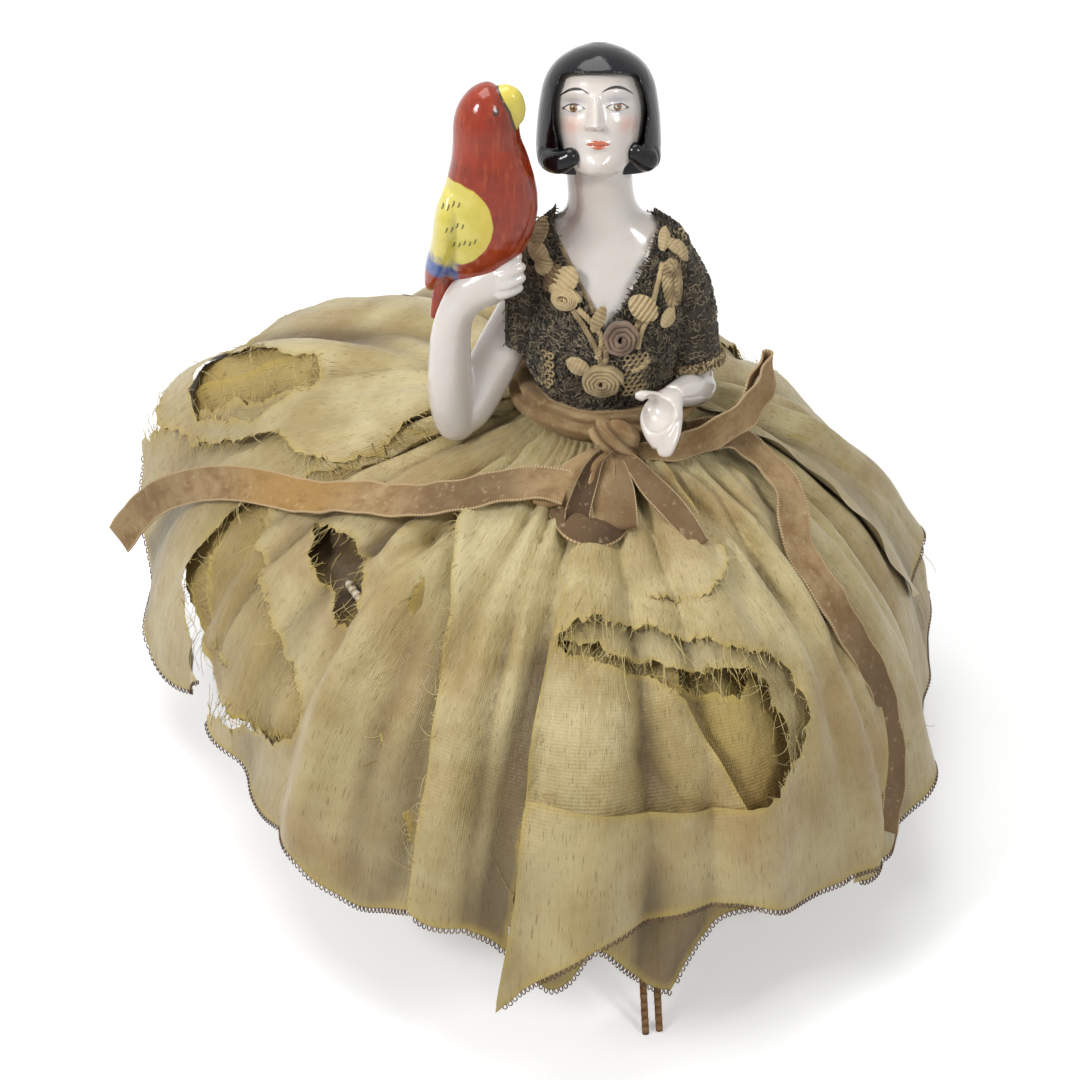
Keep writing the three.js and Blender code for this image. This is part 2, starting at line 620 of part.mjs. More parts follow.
function loweredArm(grow) {
  const forearm = solid(limb(LOWERED_FOREARM, grow, ACROSS_THE_HAND));
  const thumb = solid(limb(LOWERED_THUMB, grow, ACROSS_THE_HAND, 6));
  return solid(limb(LOWERED_UPPER_ARM, grow)).add(forearm).add(thumb);
}

function parrotSolid() {
  const body = solid(limb(PARROT_BODY, 0, UP_THE_BODY, PARROT_SIDES));
  const beak = solid(limb(PARROT_BEAK, 0, UP_THE_BODY, 6));
  const wing = solid(limb(PARROT_WING, 0, UP_THE_BODY, 8));
  const tail = solid(limb(PARROT_TAIL, 0, UP_THE_BODY, 6));
  return body.add(beak).add(wing).add(tail).subtract(raisedArm(CLEARANCE));
}

bustFrame.add(piece("porcelain_bust", bustGeometry(), PORCELAIN));
bustFrame.add(piece("raised_arm", geometryOf(raisedArm(0).subtract(bodyGrown)), PORCELAIN));
bustFrame.add(piece("lowered_arm", geometryOf(loweredArm(0).subtract(bodyGrown)), PORCELAIN));
bustFrame.add(piece("parrot", geometryOf(parrotSolid()), PARROT_RED));

// Bodice

// Cutting blocks are as large as the bust is tall
const CUT_SIZE = HEAD_AT[2] + HAIR_SECTIONS.at(-1).up;

// Everything under a level plane through the leaning body.
function below(height) {
  const box = new THREE.BoxGeometry(CUT_SIZE, CUT_SIZE, CUT_SIZE);
  box.translate(0, 0, height - CUT_SIZE / 2);
  return solid(box.rotateX(Math.atan(LEVEL_SLOPE)));
}

function necklineCut() {
  const outline = new THREE.Shape(NECKLINE.map(([x, up]) => new THREE.Vector2(x, up)));
  const front = new THREE.ExtrudeGeometry(outline, { depth: CUT_SIZE, bevelEnabled: false });
  front.rotateX(Math.PI / 2);
  const back = new THREE.BoxGeometry(2 * BACK_NECKLINE.half, CUT_SIZE, CUT_SIZE);
  back.translate(BACK_NECKLINE.x, 0, BACK_NECKLINE.up + CUT_SIZE / 2);
  return solid(front).add(solid(back));
}

const BODICE_GROWTH = CLEARANCE + KNIT_THICKNESS;
const sleevedArm = solid(limb(LOWERED_UPPER_ARM, CLEARANCE + SLEEVE_THICKNESS + 2 * CLEARANCE));

function bodiceGeometry() {
  const cloth = solid(bodyLoft(BODICE_GROWTH, 4, BODICE_TOP)).subtract(bodyGrown);
  const trimmed = cloth.subtract(below(BODICE_BOTTOM)).subtract(necklineCut());
  const open = trimmed.subtract(raisedArm(2 * CLEARANCE)).subtract(sleevedArm);
  return geometryOf(largest(open));
}

// The largest of the bodies that a cut leaves.
function largest(made) {
  const bodies = made.decompose();
  return bodies.sort((a, b) => b.volume() - a.volume())[0];
}

function braidGeometry() {
  const ringAt = (up, grow) => levelRing({ ...bodySection(up), up }, grow, BODY_SIDES, LEVEL_SLOPE);
  const top = BODICE_BOTTOM - CLEARANCE;
  return skin(
    [
      ringAt(BRAID_BOTTOM, CLEARANCE * 1.5),
      ringAt(BRAID_BOTTOM, BRAID_THICKNESS),
      ringAt(top, BRAID_THICKNESS),
      ringAt(top, CLEARANCE * 1.5),
    ],
    true,
  );
}

// A sleeve round some stations of an arm.
function armBand(arm, [first, end], thickness) {
  const inside = limbRings(arm, CLEARANCE).slice(first, end);
  const outside = limbRings(arm, CLEARANCE + thickness).slice(first, end);
  return skin([...outside, ...inside.reverse()], true);
}

const bodiceGrown = solid(bodyLoft(BODICE_GROWTH + CLEARANCE, 4, BODICE_TOP));

function sleeveGeometry(arm, stations) {
  const tube = solid(armBand(arm, stations, SLEEVE_THICKNESS));
  return geometryOf(largest(tube.subtract(bodiceGrown)));
}

// The hem gives way to the bent forearm where the elbow rises into it.
function sleeveHemGeometry() {
  const forearm = solid(limb(LOWERED_FOREARM, CLEARANCE, ACROSS_THE_HAND));
  const band = solid(armBand(LOWERED_UPPER_ARM, SLEEVE_HEM_STATIONS, SLEEVE_HEM_THICKNESS));
  return geometryOf(largest(band.subtract(forearm).subtract(bodiceGrown)));
}

// A stitched cord on the bust, just inside the neckline.
function neckEdge(line, side) {
  const inset = NECK_EDGE_RADIUS + NECK_EDGE_INSET;
  const grow = 2 * CLEARANCE + NECK_EDGE_RADIUS;
  const places = line.map(([x, up]) => onBodyFront(x + side * inset, up, grow).point);
  return wire(smoothPath(places, NECK_EDGE_STEPS), () => NECK_EDGE_RADIUS, 6);
}

bustFrame.add(piece("bodice", bodiceGeometry(), KNIT));
bustFrame.add(piece("bodice_braid", braidGeometry(), TRIM));
bustFrame.add(piece("sleeve", sleeveGeometry(LOWERED_UPPER_ARM, SLEEVE_STATIONS), KNIT));
bustFrame.add(piece("sleeve_left", sleeveGeometry(RAISED_UPPER_ARM, RAISED_SLEEVE_STATIONS), KNIT));
bustFrame.add(piece("sleeve_hem", sleeveHemGeometry(), TRIM));
bustFrame.add(piece("neck_edge_left", neckEdge(LEFT_NECK_EDGE, 1), TRIM));
bustFrame.add(piece("neck_edge_right", neckEdge(RIGHT_NECK_EDGE, -1), THREAD));

// Ribbon work

const onBodice = (across, up) => onBodyFront(across, up, BODICE_GROWTH);

function seat(mesh, { across, up, stand, turn = 0 }) {
  const { point, outward } = onBodice(across, up);
  mesh.position.copy(point).addScaledVector(outward, stand);
  mesh.quaternion.setFromUnitVectors(new THREE.Vector3(0, 0, 1), outward);
  mesh.rotateZ(radians(turn));
  return mesh;
}

// A coil of ribbon: turns of a flat spiral show as steps rising to the middle.
function rosetteGeometry(radius, height) {
  const turns = 3;
  const profile = [new THREE.Vector2(0, 0), new THREE.Vector2(radius * 0.9, 0)];
  for (let turn = turns; turn > 0; turn--) {
    const outer = (radius * turn) / turns;
    const level = height * (1 - 0.25 * (turn / turns) ** 2);
    profile.push(new THREE.Vector2(outer, level * 0.6));
    profile.push(new THREE.Vector2(outer - radius * 0.14, level));
    profile.push(new THREE.Vector2(outer - radius * 0.26, level * 0.8));
  }
  profile.push(new THREE.Vector2(0, height));
  return new THREE.LatheGeometry(profile, 11).rotateX(Math.PI / 2);
}

function leafGeometry(length, width) {
  const outline = new THREE.Shape();
  outline.moveTo(-length / 2, 0);
  outline.quadraticCurveTo(0, width, length / 2, 0);
  outline.quadraticCurveTo(0, -width, -length / 2, 0);
  return new THREE.ExtrudeGeometry(outline, {
    depth: LEAF_THICKNESS,
    bevelEnabled: false,
    curveSegments: 5,
  });
}

for (const { name, across, up, radius, height, stand } of ROSETTES) {
  const rosette = piece(name, rosetteGeometry(radius, height), TRIM);
  bustFrame.add(seat(rosette, { across, up, stand }));
}
for (const { name, across, up, length, width, turn } of LEAVES) {
  const leaf = piece(name, leafGeometry(length, width), TRIM);
  bustFrame.add(seat(leaf, { across, up, stand: LEAF_STAND, turn }));
}
for (const { name, route } of STEMS) {
  const places = route.map(([across, up]) => {
    const { point, outward } = onBodice(across, up);
    return point.addScaledVector(outward, 1.5 * CLEARANCE + STEM_RADIUS);
  });
  bustFrame.add(piece(name, wire(smoothPath(places, 12), () => STEM_RADIUS, 6), TRIM));
}

// Skirt surface

function outlineAt(bearing) {
  const turn = ((((bearing + 180) % 360) + 360) % 360) - 180;
  const above = SKIRT_OUTLINE.findIndex((key) => key.bearing >= turn);
  const high = SKIRT_OUTLINE[Math.max(1, above)];
  const low = SKIRT_OUTLINE[Math.max(1, above) - 1];
  const share = (turn - low.bearing) / (high.bearing - low.bearing);
  const eased = share * share * (3 - 2 * share);
  const mix = (key, part) => low[key][part] + eased * (high[key][part] - low[key][part]);
  return {
    shoulder: [SHOULDER_HOOP.reach + mix("shoulder", 0), WAIST_HEIGHT + mix("shoulder", 1)],
    hem: [BASE_HOOP.reach + mix("hem", 0), mix("hem", 1)],
  };
}

function foldAt(bearing, drop) {
  const wave = FOLD_WAVES.reduce(
    (sum, { count, share, phase }) => sum + share * Math.cos(radians(count * bearing + phase)),
    0,
  );
  return FOLD_DEPTH * drop ** FOLD_RISE * wave;
}

// Place and outward direction on the skirt: drop runs from 0 at the waist to 1 at the full hem.
function onSkirt(bearing, drop, lift, folded = true) {
  const { shoulder, hem } = outlineAt(bearing);
  const reaches = [SKIRT_WAIST.reach, SKIRT_SPRING.reach, shoulder[0], hem[0]];
  const heights = [WAIST_HEIGHT + SKIRT_WAIST.up, WAIST_HEIGHT + SKIRT_SPRING.up, shoulder[1], hem[1]];
  const rest = 1 - drop;
  const weights = [rest ** 3, 3 * rest ** 2 * drop, 3 * rest * drop ** 2, drop ** 3];
  const slopes = [
    -3 * rest ** 2,
    3 * rest ** 2 - 6 * rest * drop,
    6 * rest * drop - 3 * drop ** 2,
    3 * drop ** 2,
  ];
  const mix = (values, factors) => values.reduce((sum, value, i) => sum + value * factors[i], 0);
  const along = new THREE.Vector2(mix(reaches, slopes), mix(heights, slopes)).normalize();
  const normal = around(bearing, -along.y, along.x);
  const place = around(bearing, mix(reaches, weights), mix(heights, weights));
  place.addScaledVector(normal, lift + (folded ? foldAt(bearing, drop) : 0));
  return { place, normal };
}

const layerInset = (layer, drop) => layer * (LAYER_PITCH + LAYER_SPREAD * drop);

// The layer of the outermost cloth at a bearing.
function outerLayer(bearing) {
  const turns = [bearing - 360, bearing];
  const covering = PANELS.filter(({ from, to }) => turns.some((turn) => turn >= from && turn <= to));
  return Math.min(...covering.map(({ layer }) => layer));
}

// How high a ribbon lies there: on the highest cloth that its width spans.
function restingLift(bearing, drop) {
  let highest = -Infinity;
  for (let turn = bearing - RESTING_REACH; turn <= bearing + RESTING_REACH; turn += 2) {
    highest = Math.max(highest, foldAt(turn, drop) - layerInset(outerLayer(turn), drop));
  }
  return highest + SILK_THICKNESS / 2 + RIBBON_THICKNESS / 2 + CLEARANCE;
}

function panelGeometry({ name, layer, from, to, hems }) {
  const columns = Math.round((to - from) / COLUMN_STEP);
  const hemAt = (i) => {
    const place = (i / columns) * (hems.length - 1);
    const low = Math.min(Math.floor(place), hems.length - 2);
    return hems[low] + (place - low) * (hems[low + 1] - hems[low]);
  };
  const shared = Math.floor((Math.min(...hems) - 0.02) / ROW_STEP);
  const level = shared * ROW_STEP;
  const hemRows = Math.ceil((Math.max(...hems) - level) / ROW_STEP);
  const grid = Array.from({ length: columns + 1 }, (_, i) => {
    const bearing = from + i * COLUMN_STEP;
    const drops = Array.from({ length: shared + 1 }, (_, j) => j * ROW_STEP);
    for (let k = 1; k <= hemRows; k++) drops.push(level + ((hemAt(i) - level) * k) / hemRows);
    return drops.map((drop) => onSkirt(bearing, drop, -layerInset(layer, drop)));
  });
  const holes = TEARS.filter((tear) => tear.panel === name);
  const keep = (i, j) => {
    const bearing = from + (i + 0.5) * COLUMN_STEP;
    const drop = (j + 0.5) * ROW_STEP;
    return !holes.some(
      (tear) =>
        bearing > tear.from && bearing < tear.to && drop > tear.top && drop < tear.bottom,
    );
  };
  return sheet(grid, SILK_THICKNESS, keep);
}

for (const panel of PANELS) {
  const material = panel.name.startsWith("lining") ? LINING : SILK;
  doll.add(piece(panel.name, panelGeometry(panel), material));
}

// Sash

function bandGeometry() {
  const { centre, half, rise, halfHeight, widening } = SASH_BAND;
  const profile = Array.from({ length: 9 }, (_, k) => {
    const angle = (2 * Math.PI * k) / 8;
    return new THREE.Vector2(
      centre + half * Math.cos(angle),
      WAIST_HEIGHT + rise + halfHeight * Math.sin(angle),
    );
  });
  const ring = new THREE.LatheGeometry(profile, 24).rotateX(Math.PI / 2).scale(widening, 1, 1);
  const arm = geometryOf(loweredArm(CLEARANCE)).applyMatrix4(bustFrame.matrix);
  return geometryOf(largest(solid(ring).subtract(solid(arm))));
}

function knotGeometry() {
  const { x, wide, deep, tall } = SASH_KNOT;
  const knot = new THREE.SphereGeometry(1, 12, 8).scale(wide, deep, tall);
  const front = SASH_BAND.centre + SASH_BAND.half + CLEARANCE + deep;
  return knot.translate(x, -front, WAIST_HEIGHT + SASH_BAND.rise);
}

// A ribbon along places with outward directions, its width square to both.
function ribbon(stations, thickness) {
  const last = stations.length - 1;
  const strip = stations.map(({ place, normal, width }, i) => {
    const heading = stations[Math.min(last, i + 1)].place
      .clone()
      .sub(stations[Math.max(0, i - 1)].place)
      .normalize();
    const across = heading.clone().cross(normal).normalize();
    const outward = across.clone().cross(heading).normalize();
    return [-0.5, 0.5].map((share) => ({
      place: place.clone().addScaledVector(across, share * width),
      normal: outward,
    }));
  });
  return sheet(strip, thickness);
}

function streamerGeometry(route) {
  const places = route.map(([bearing, drop, stand]) => vector([bearing, drop * DEGREES_IN_A_DROP, stand]));
  const course = new THREE.CatmullRomCurve3(places);
  const stations = course.getSpacedPoints(STREAMER_STEPS).map(({ x: bearing, y: fall, z: stand }) => {
    const drop = fall / DEGREES_IN_A_DROP;
    return { ...onSkirt(bearing, drop, restingLift(bearing, drop) + stand, false), width: SASH_WIDTH };
  });
  return ribbon(stations, RIBBON_THICKNESS);
}

function bowLoopGeometry({ bearing, from, tip }) {
  const shape = [
    [from, 0],
    [(from + tip) / 2, 0.2],
    [tip - 0.02, 0.6],
    [tip, BOW_LOOP_RISE / 2],
    [tip - 0.02, BOW_LOOP_RISE],
    [(from + tip) / 2, BOW_LOOP_RISE + 0.6],
    [from + 0.01, BOW_LOOP_RISE],
  ];
  const last = shape.length - 1;
  const places = shape.map(([drop, lift]) =>
    onSkirt(bearing, drop, restingLift(bearing, drop) + lift, false).place,
  );
  const across = around(bearing + 90, 1, 0);
  const strip = places.map((place, i) => {
    const heading = places[Math.min(last, i + 1)].clone().sub(places[Math.max(0, i - 1)]);
    const normal = heading.cross(across).normalize();
    return [-0.5, 0.5].map((share) => ({
      place: place.clone().addScaledVector(across, share * SASH_WIDTH * 0.9),
      normal,
    }));
  });
  return sheet(strip, RIBBON_THICKNESS);
}

function standingLoopGeometry() {
  const places = STANDING_LOOP.map(({ at: [x, y, up] }) => new THREE.Vector3(x, y, WAIST_HEIGHT + up));
  const last = places.length - 1;
  const strip = STANDING_LOOP.map(({ width }, i) => {
    const heading = places[Math.min(last, i + 1)].clone().sub(places[Math.max(0, i - 1)]);
    const normal = new THREE.Vector3(heading.y, -heading.x, 0).normalize();
    return [-0.5, 0.5].map((share) => ({
      place: places[i].clone().add(new THREE.Vector3(0, 0, share * width)),
      normal,
    }));
  });
  return sheet(strip, RIBBON_THICKNESS);
}

doll.add(piece("sash_band", bandGeometry(), VELVET));
doll.add(piece("sash_knot", knotGeometry(), VELVET));
for (const loop of BOW_LOOPS) doll.add(piece(loop.name, bowLoopGeometry(loop), VELVET));
doll.add(piece("bow_loop_standing", standingLoopGeometry(), VELVET));
doll.add(piece("streamer_left", streamerGeometry(LEFT_STREAMER), VELVET));
doll.add(piece("streamer_right", streamerGeometry(RIGHT_STREAMER), VELVET));

// Crinoline frame

function hoop(reach, middle, tilt) {
  const path = Array.from({ length: HOOP_STEPS }, (_, k) => {
    const place = around((360 * k) / HOOP_STEPS, reach, 0);
    return place.applyAxisAngle(new THREE.Vector3(0, 1, 0), radians(tilt)).add(middle);
  });
  return wire(path, () => HOOP_WIRE_RADIUS, HOOP_SIDES, { closed: true });
}

const shoulderMiddle = new THREE.Vector3(SHOULDER_HOOP.x, 0, WAIST_HEIGHT - SHOULDER_HOOP.fall);
const baseMiddle = new THREE.Vector3(BASE_HOOP.x, 0, BASE_HOOP.height);
bustFrame.add(
  piece("waist_hoop", hoop(WAIST_HOOP.reach, new THREE.Vector3(0, 0, WAIST_HOOP.up), 0), WIRE),
);
doll.add(piece("shoulder_hoop", hoop(SHOULDER_HOOP.reach, shoulderMiddle, SHOULDER_HOOP.tilt), WIRE));
doll.add(piece("base_hoop", hoop(BASE_HOOP.reach, baseMiddle, 0), WIRE));

// How far out from the doll's axis a hoop that is off centre lies, at a bearing.
function hoopReach(bearing, { reach, x }, inset) {
  const angle = radians(bearing);
  const inner = reach - inset;
  return x * Math.sin(angle) + Math.sqrt(inner ** 2 - (x * Math.cos(angle)) ** 2);
}

// A leg is one wire bent double: its bend hangs on the waist hoop, its two prongs stand on the table.
function legGeometry(bearing) {
  const inset = HOOP_WIRE_RADIUS + LEG_WIRE_RADIUS + CLEARANCE;
  const half = LEG_PRONG_SPACING / 2;
  const sideways = around(bearing + 90, 1, 0);
  const bend = around(bearing, WAIST_HOOP.reach + inset + 0.2, WAIST_HOOP.up).applyMatrix4(bustFrame.matrix);
  const shoulderReach = hoopReach(bearing, SHOULDER_HOOP, inset + 0.5);
  const shoulderDrop = (shoulderReach * Math.sin(radians(bearing)) - SHOULDER_HOOP.x) *
    Math.tan(radians(SHOULDER_HOOP.tilt));
  const shoulder = around(bearing, shoulderReach, shoulderMiddle.z - shoulderDrop);
  const base = around(bearing, hoopReach(bearing, BASE_HOOP, inset + 0.5), BASE_HOOP.height);
  const foot = around(bearing, FOOT_REACH, 0);
  const down = [bend, bend.clone().lerp(shoulder, 0.5).add(new THREE.Vector3(0, 0, 3)), shoulder];
  down.push(shoulder.clone().lerp(base, 0.5).add(around(bearing, 1.5, 0)), base, foot);
  const prong = smoothPath(down, 11);
  const shifted = (side) => prong.map((place) => place.clone().addScaledVector(sideways, side * half));
  const crown = [-0.6, 0, 0.6].map((share) => {
    const rise = Math.sqrt(1 - share * share) * half;
    return bend.clone().addScaledVector(sideways, share * half).add(new THREE.Vector3(0, 0, rise));
  });
  const path = [...shifted(-1).reverse(), ...crown, ...shifted(1)];
  const taper = (share) => {
    const fromEnd = Math.min(share, 1 - share);
    const thin = fromEnd < 0.02 ? FOOT_TAPER : 1;
    return LEG_WIRE_RADIUS * thin;
  };
  return wire(path, taper, 5, { levelEnds: true });
}

LEG_BEARINGS.forEach((bearing, index) => {
  doll.add(piece(`leg_${["front", "right", "left"][index]}`, legGeometry(bearing), WIRE));
});

// A thread goes through its hole in the rim, over the waist hoop, and back under both.
function threadGeometry(index) {
  const bearing = rimHoleBearing(index);
  const hoopOut = WAIST_HOOP.reach + HOOP_WIRE_RADIUS + CLEARANCE + THREAD_RADIUS;
  const over = 0;
  const under = WAIST_HOOP.up - HOOP_WIRE_RADIUS - CLEARANCE - THREAD_RADIUS - 0.4;
  const corners = [
    [THREAD_INSIDE + 0.4, over],
    [hoopOut - 1.6, over],
    [hoopOut - 0.3, over - 0.5],
    [hoopOut, (over + under) / 2],
    [hoopOut - 0.3, under + 0.4],
    [hoopOut - 1.6, under],
    [THREAD_INSIDE + 0.4, under],
    [THREAD_INSIDE, (over + under) / 2],
  ];
  const path = corners.map(([reach, up]) => around(bearing, reach, up));
  return wire(path, () => THREAD_RADIUS, 5, { closed: true });
}

for (let index = 0; index < RIM_HOLES; index++) {
  bustFrame.add(piece(`sewing_thread_${index + 1}`, threadGeometry(index), THREAD));
}

// The origin is under the middle of the outline, on the table
const outline = new THREE.Box3().setFromObject(doll, true);
const middle = outline.getCenter(new THREE.Vector3());
doll.position.set(-middle.x, -middle.y, -outline.min.z);

const part = new THREE.Group();
part.add(doll);
export default part;
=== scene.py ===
"""The looks of a porcelain half doll with a parrot, on a crinoline frame under a torn silk skirt."""

import math

import bpy
import numpy as np
from mathutils import Matrix, Vector, kdtree
from mathutils.geometry import delaunay_2d_cdt

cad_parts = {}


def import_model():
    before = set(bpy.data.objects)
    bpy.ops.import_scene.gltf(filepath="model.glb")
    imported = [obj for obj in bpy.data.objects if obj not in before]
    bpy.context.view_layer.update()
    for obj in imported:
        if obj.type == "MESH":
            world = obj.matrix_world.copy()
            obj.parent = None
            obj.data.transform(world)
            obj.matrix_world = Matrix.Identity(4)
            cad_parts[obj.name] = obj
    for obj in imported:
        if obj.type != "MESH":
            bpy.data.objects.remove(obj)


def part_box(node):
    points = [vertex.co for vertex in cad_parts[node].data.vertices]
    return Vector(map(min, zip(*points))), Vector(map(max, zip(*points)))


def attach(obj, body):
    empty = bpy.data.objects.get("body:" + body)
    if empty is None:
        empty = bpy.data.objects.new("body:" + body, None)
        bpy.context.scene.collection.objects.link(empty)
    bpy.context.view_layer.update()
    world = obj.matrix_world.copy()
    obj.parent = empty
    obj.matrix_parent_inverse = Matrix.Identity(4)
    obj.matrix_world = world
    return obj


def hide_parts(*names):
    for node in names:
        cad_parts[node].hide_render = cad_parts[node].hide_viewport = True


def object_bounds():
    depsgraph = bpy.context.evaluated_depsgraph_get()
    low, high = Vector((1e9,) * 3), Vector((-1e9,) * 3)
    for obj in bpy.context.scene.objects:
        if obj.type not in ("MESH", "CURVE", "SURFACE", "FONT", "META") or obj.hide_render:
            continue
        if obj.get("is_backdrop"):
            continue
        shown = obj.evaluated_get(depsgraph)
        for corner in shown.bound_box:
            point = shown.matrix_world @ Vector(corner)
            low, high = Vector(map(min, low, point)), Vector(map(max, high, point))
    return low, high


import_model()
cad_box = [list(corner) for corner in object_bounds()]

# Doll's frame: millimetres from the spot on the table right below the middle of the waist
WAIST_HEIGHT = 131
KNOT_MIDDLE = np.array([1.5, -24.6, WAIST_HEIGHT + 3.9])
BUST_PLACE, BUST_LEAN = (0, -1.34, 120.08), -7
HEAD_PLACE, HEAD_LEAN = (-3, 1, 86.5), -18

# The middle of the solid knot tells where that spot lies in the shared frame, in metres
knot_low, knot_high = (np.array(corner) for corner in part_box("sash_knot"))
SHIFT = (knot_low + knot_high) / 2 - KNOT_MIDDLE / 1000


def leant(place, degrees):
    """The matrix of a frame that stands at a place and leans about the x axis."""
    return np.array(Matrix.Translation(place) @ Matrix.Rotation(math.radians(degrees), 4, "X"))


BUST_TO_DOLL = leant(BUST_PLACE, BUST_LEAN)
HEAD_TO_BUST = leant(HEAD_PLACE, HEAD_LEAN)
HEAD_TO_DOLL = BUST_TO_DOLL @ HEAD_TO_BUST


def moved(points, matrix):
    """Points taken through a 4 by 4 matrix."""
    return np.asarray(points) @ matrix[:3, :3].T + matrix[:3, 3]


def bust(points):
    """Points of the bust's frame in the doll's frame."""
    return moved(points, BUST_TO_DOLL)


def head(points):
    """Points of the head's frame in the doll's frame."""
    return bust(moved(points, HEAD_TO_BUST))


def world(points):
    """Millimetres in the doll's frame to metres in the shared frame."""
    return np.asarray(points) / 1000 + SHIFT


# Shapes


def unit(vectors):
    """Vectors brought to a length of 1."""
    vectors = np.asarray(vectors, float)
    return vectors / np.maximum(np.linalg.norm(vectors, axis=-1, keepdims=True), 1e-9)


def smooth_path(places, count, closed=False):
    """A Catmull-Rom run of evenly counted places through the given ones, with any number of columns."""
    places = np.asarray(places, float)
    last = len(places) - (0 if closed else 1)
    steps = np.linspace(0, last, count, endpoint=not closed)
    index = np.minimum(steps.astype(int), last - 1)
    share = (steps - index)[:, None]

    def at(offset):
        number = index + offset
        return places[number % len(places)] if closed else places[np.clip(number, 0, len(places) - 1)]

    a, b, c, d = at(-1), at(0), at(1), at(2)
    return 0.5 * (2 * b + (c - a) * share + (2 * a - 5 * b + 4 * c - d) * share**2
                  + (3 * b - a - 3 * c + d) * share**3)


def eased(low, high, value):
    """0 up to low, 1 from high on, and a soft rise between."""
    share = np.clip((np.asarray(value, float) - low) / (high - low), 0, 1)
    return share * share * (3 - 2 * share)


def circle_angles(count):
    """Even steps round a circle, in radians."""
    return 2 * math.pi * np.arange(count) / count


def run_along(path):
    """How far along a path each of its places lies."""
    return np.concatenate([[0], np.cumsum(np.linalg.norm(np.diff(path, axis=0), axis=1))])


class Shape:
    """Points and faces that become one mesh, with named values at each point."""

    def __init__(self):
        self.points, self.faces, self.values, self.size = [], [], {}, 0

    def add(self, points, faces, **values):
        points = np.asarray(points, float)
        self.faces.extend([tuple(self.size + i for i in face) for face in faces])
        for key, value in values.items():
            value = np.asarray(value, float)
            filled = np.broadcast_to(value, (len(points), 3) if value.shape[-1:] == (3,) else (len(points),))
            self.values.setdefault(key, []).append(filled)
        self.points.append(points)
        self.size += len(points)
        return self

    def all_points(self):
        return np.concatenate(self.points)


def band_faces(rows, columns, closed_rows=False):
    """Quads between closed rows of points that each hold the same number of columns."""
    faces = []
    for i in range(rows if closed_rows else rows - 1):
        row, next_row = i * columns, (i + 1) % rows * columns
        for k in range(columns):
            beside = (k + 1) % columns
            faces.append((row + k, row + beside, next_row + beside, next_row + k))
    return faces


def loft(rings):
    """A closed skin over rings of points, with a flat end over the first and the last."""
    rings = np.asarray(rings, float)
    rows, columns = rings.shape[:2]
    faces = band_faces(rows, columns)
    faces.append(tuple(reversed(range(columns))))
    faces.append(tuple(range((rows - 1) * columns, rows * columns)))
    points = rings.reshape(-1, 3)
    centre = points.mean(0)
    corners = points[np.array(faces[:-2])] - centre
    volume = (corners[:, 0] * np.cross(corners[:, 1], corners[:, 2])).sum()
    volume += (corners[:, 0] * np.cross(corners[:, 2], corners[:, 3])).sum()
    return points, [tuple(reversed(face)) for face in faces] if volume < 0 else faces


def frames_along(path, closed=False):
    """Two directions square to a path at each of its places, that turn as little as they can."""
    path = np.asarray(path, float)
    if closed:
        headings = unit(np.roll(path, -1, 0) - np.roll(path, 1, 0))
    else:
        headings = unit(np.gradient(path, axis=0))
    guide = np.array([1.0, 0, 0]) if abs(headings[0][2]) > 0.9 else np.array([0, 0, 1.0])
    normal = unit(np.cross(guide, headings[0]))
    normals = []
    for heading in headings:
        normal = unit(normal - heading * np.dot(normal, heading))
        normals.append(normal)
    normals = np.array(normals)
    return headings, normals, np.cross(headings, normals)


def tube(path, radius, sides, closed=False):
    """A round thread or wire along a path, with a radius for each place or one for all."""
    path = np.asarray(path, float)
    _, normals, others = frames_along(path, closed)
    radius = np.broadcast_to(np.asarray(radius, float), (len(path),))[:, None, None]
    angles = circle_angles(sides)
    circle = normals[:, None] * np.cos(angles)[:, None] + others[:, None] * np.sin(angles)[:, None]
    rings = path[:, None] + radius * circle
    if closed:
        return rings.reshape(-1, 3), band_faces(len(path), sides, closed_rows=True)
    return loft(rings)


def limb(stations, count=24, sides=32, across=(0, 1, 0)):
    """A limb through stations of place, half width and half depth; across is the way its depth lies."""
    stations = smooth_path(stations, count)
    path, wide, deep = stations[:, :3], stations[:, 3], stations[:, 4]
    headings = unit(np.gradient(path, axis=0))
    side = unit(np.cross(headings, np.array(across, float)))
    front = np.cross(side, headings)
    angles = circle_angles(sides)
    rings = (path[:, None] + side[:, None] * (wide[:, None] * np.cos(angles))[..., None]
             + front[:, None] * (deep[:, None] * np.sin(angles))[..., None])
    return loft(rings)


def ball(centre, radii, rings=10, sides=16):
    """A closed oval ball with a small flat at each pole."""
    flat = 0.02
    turns = np.linspace(flat, math.pi - flat, rings)[:, None]
    angles = circle_angles(sides)
    unit_rings = np.stack([np.sin(turns) * np.cos(angles), np.sin(turns) * np.sin(angles),
                           np.cos(turns) * np.ones(sides)], -1)
    return loft(np.array(centre, float) + unit_rings * np.array(radii, float))


def add_object(name, data):
    """A new object in the scene that shows a mesh, a lamp or the camera."""
    made = bpy.data.objects.new(name, data)
    bpy.context.scene.collection.objects.link(made)
    return made


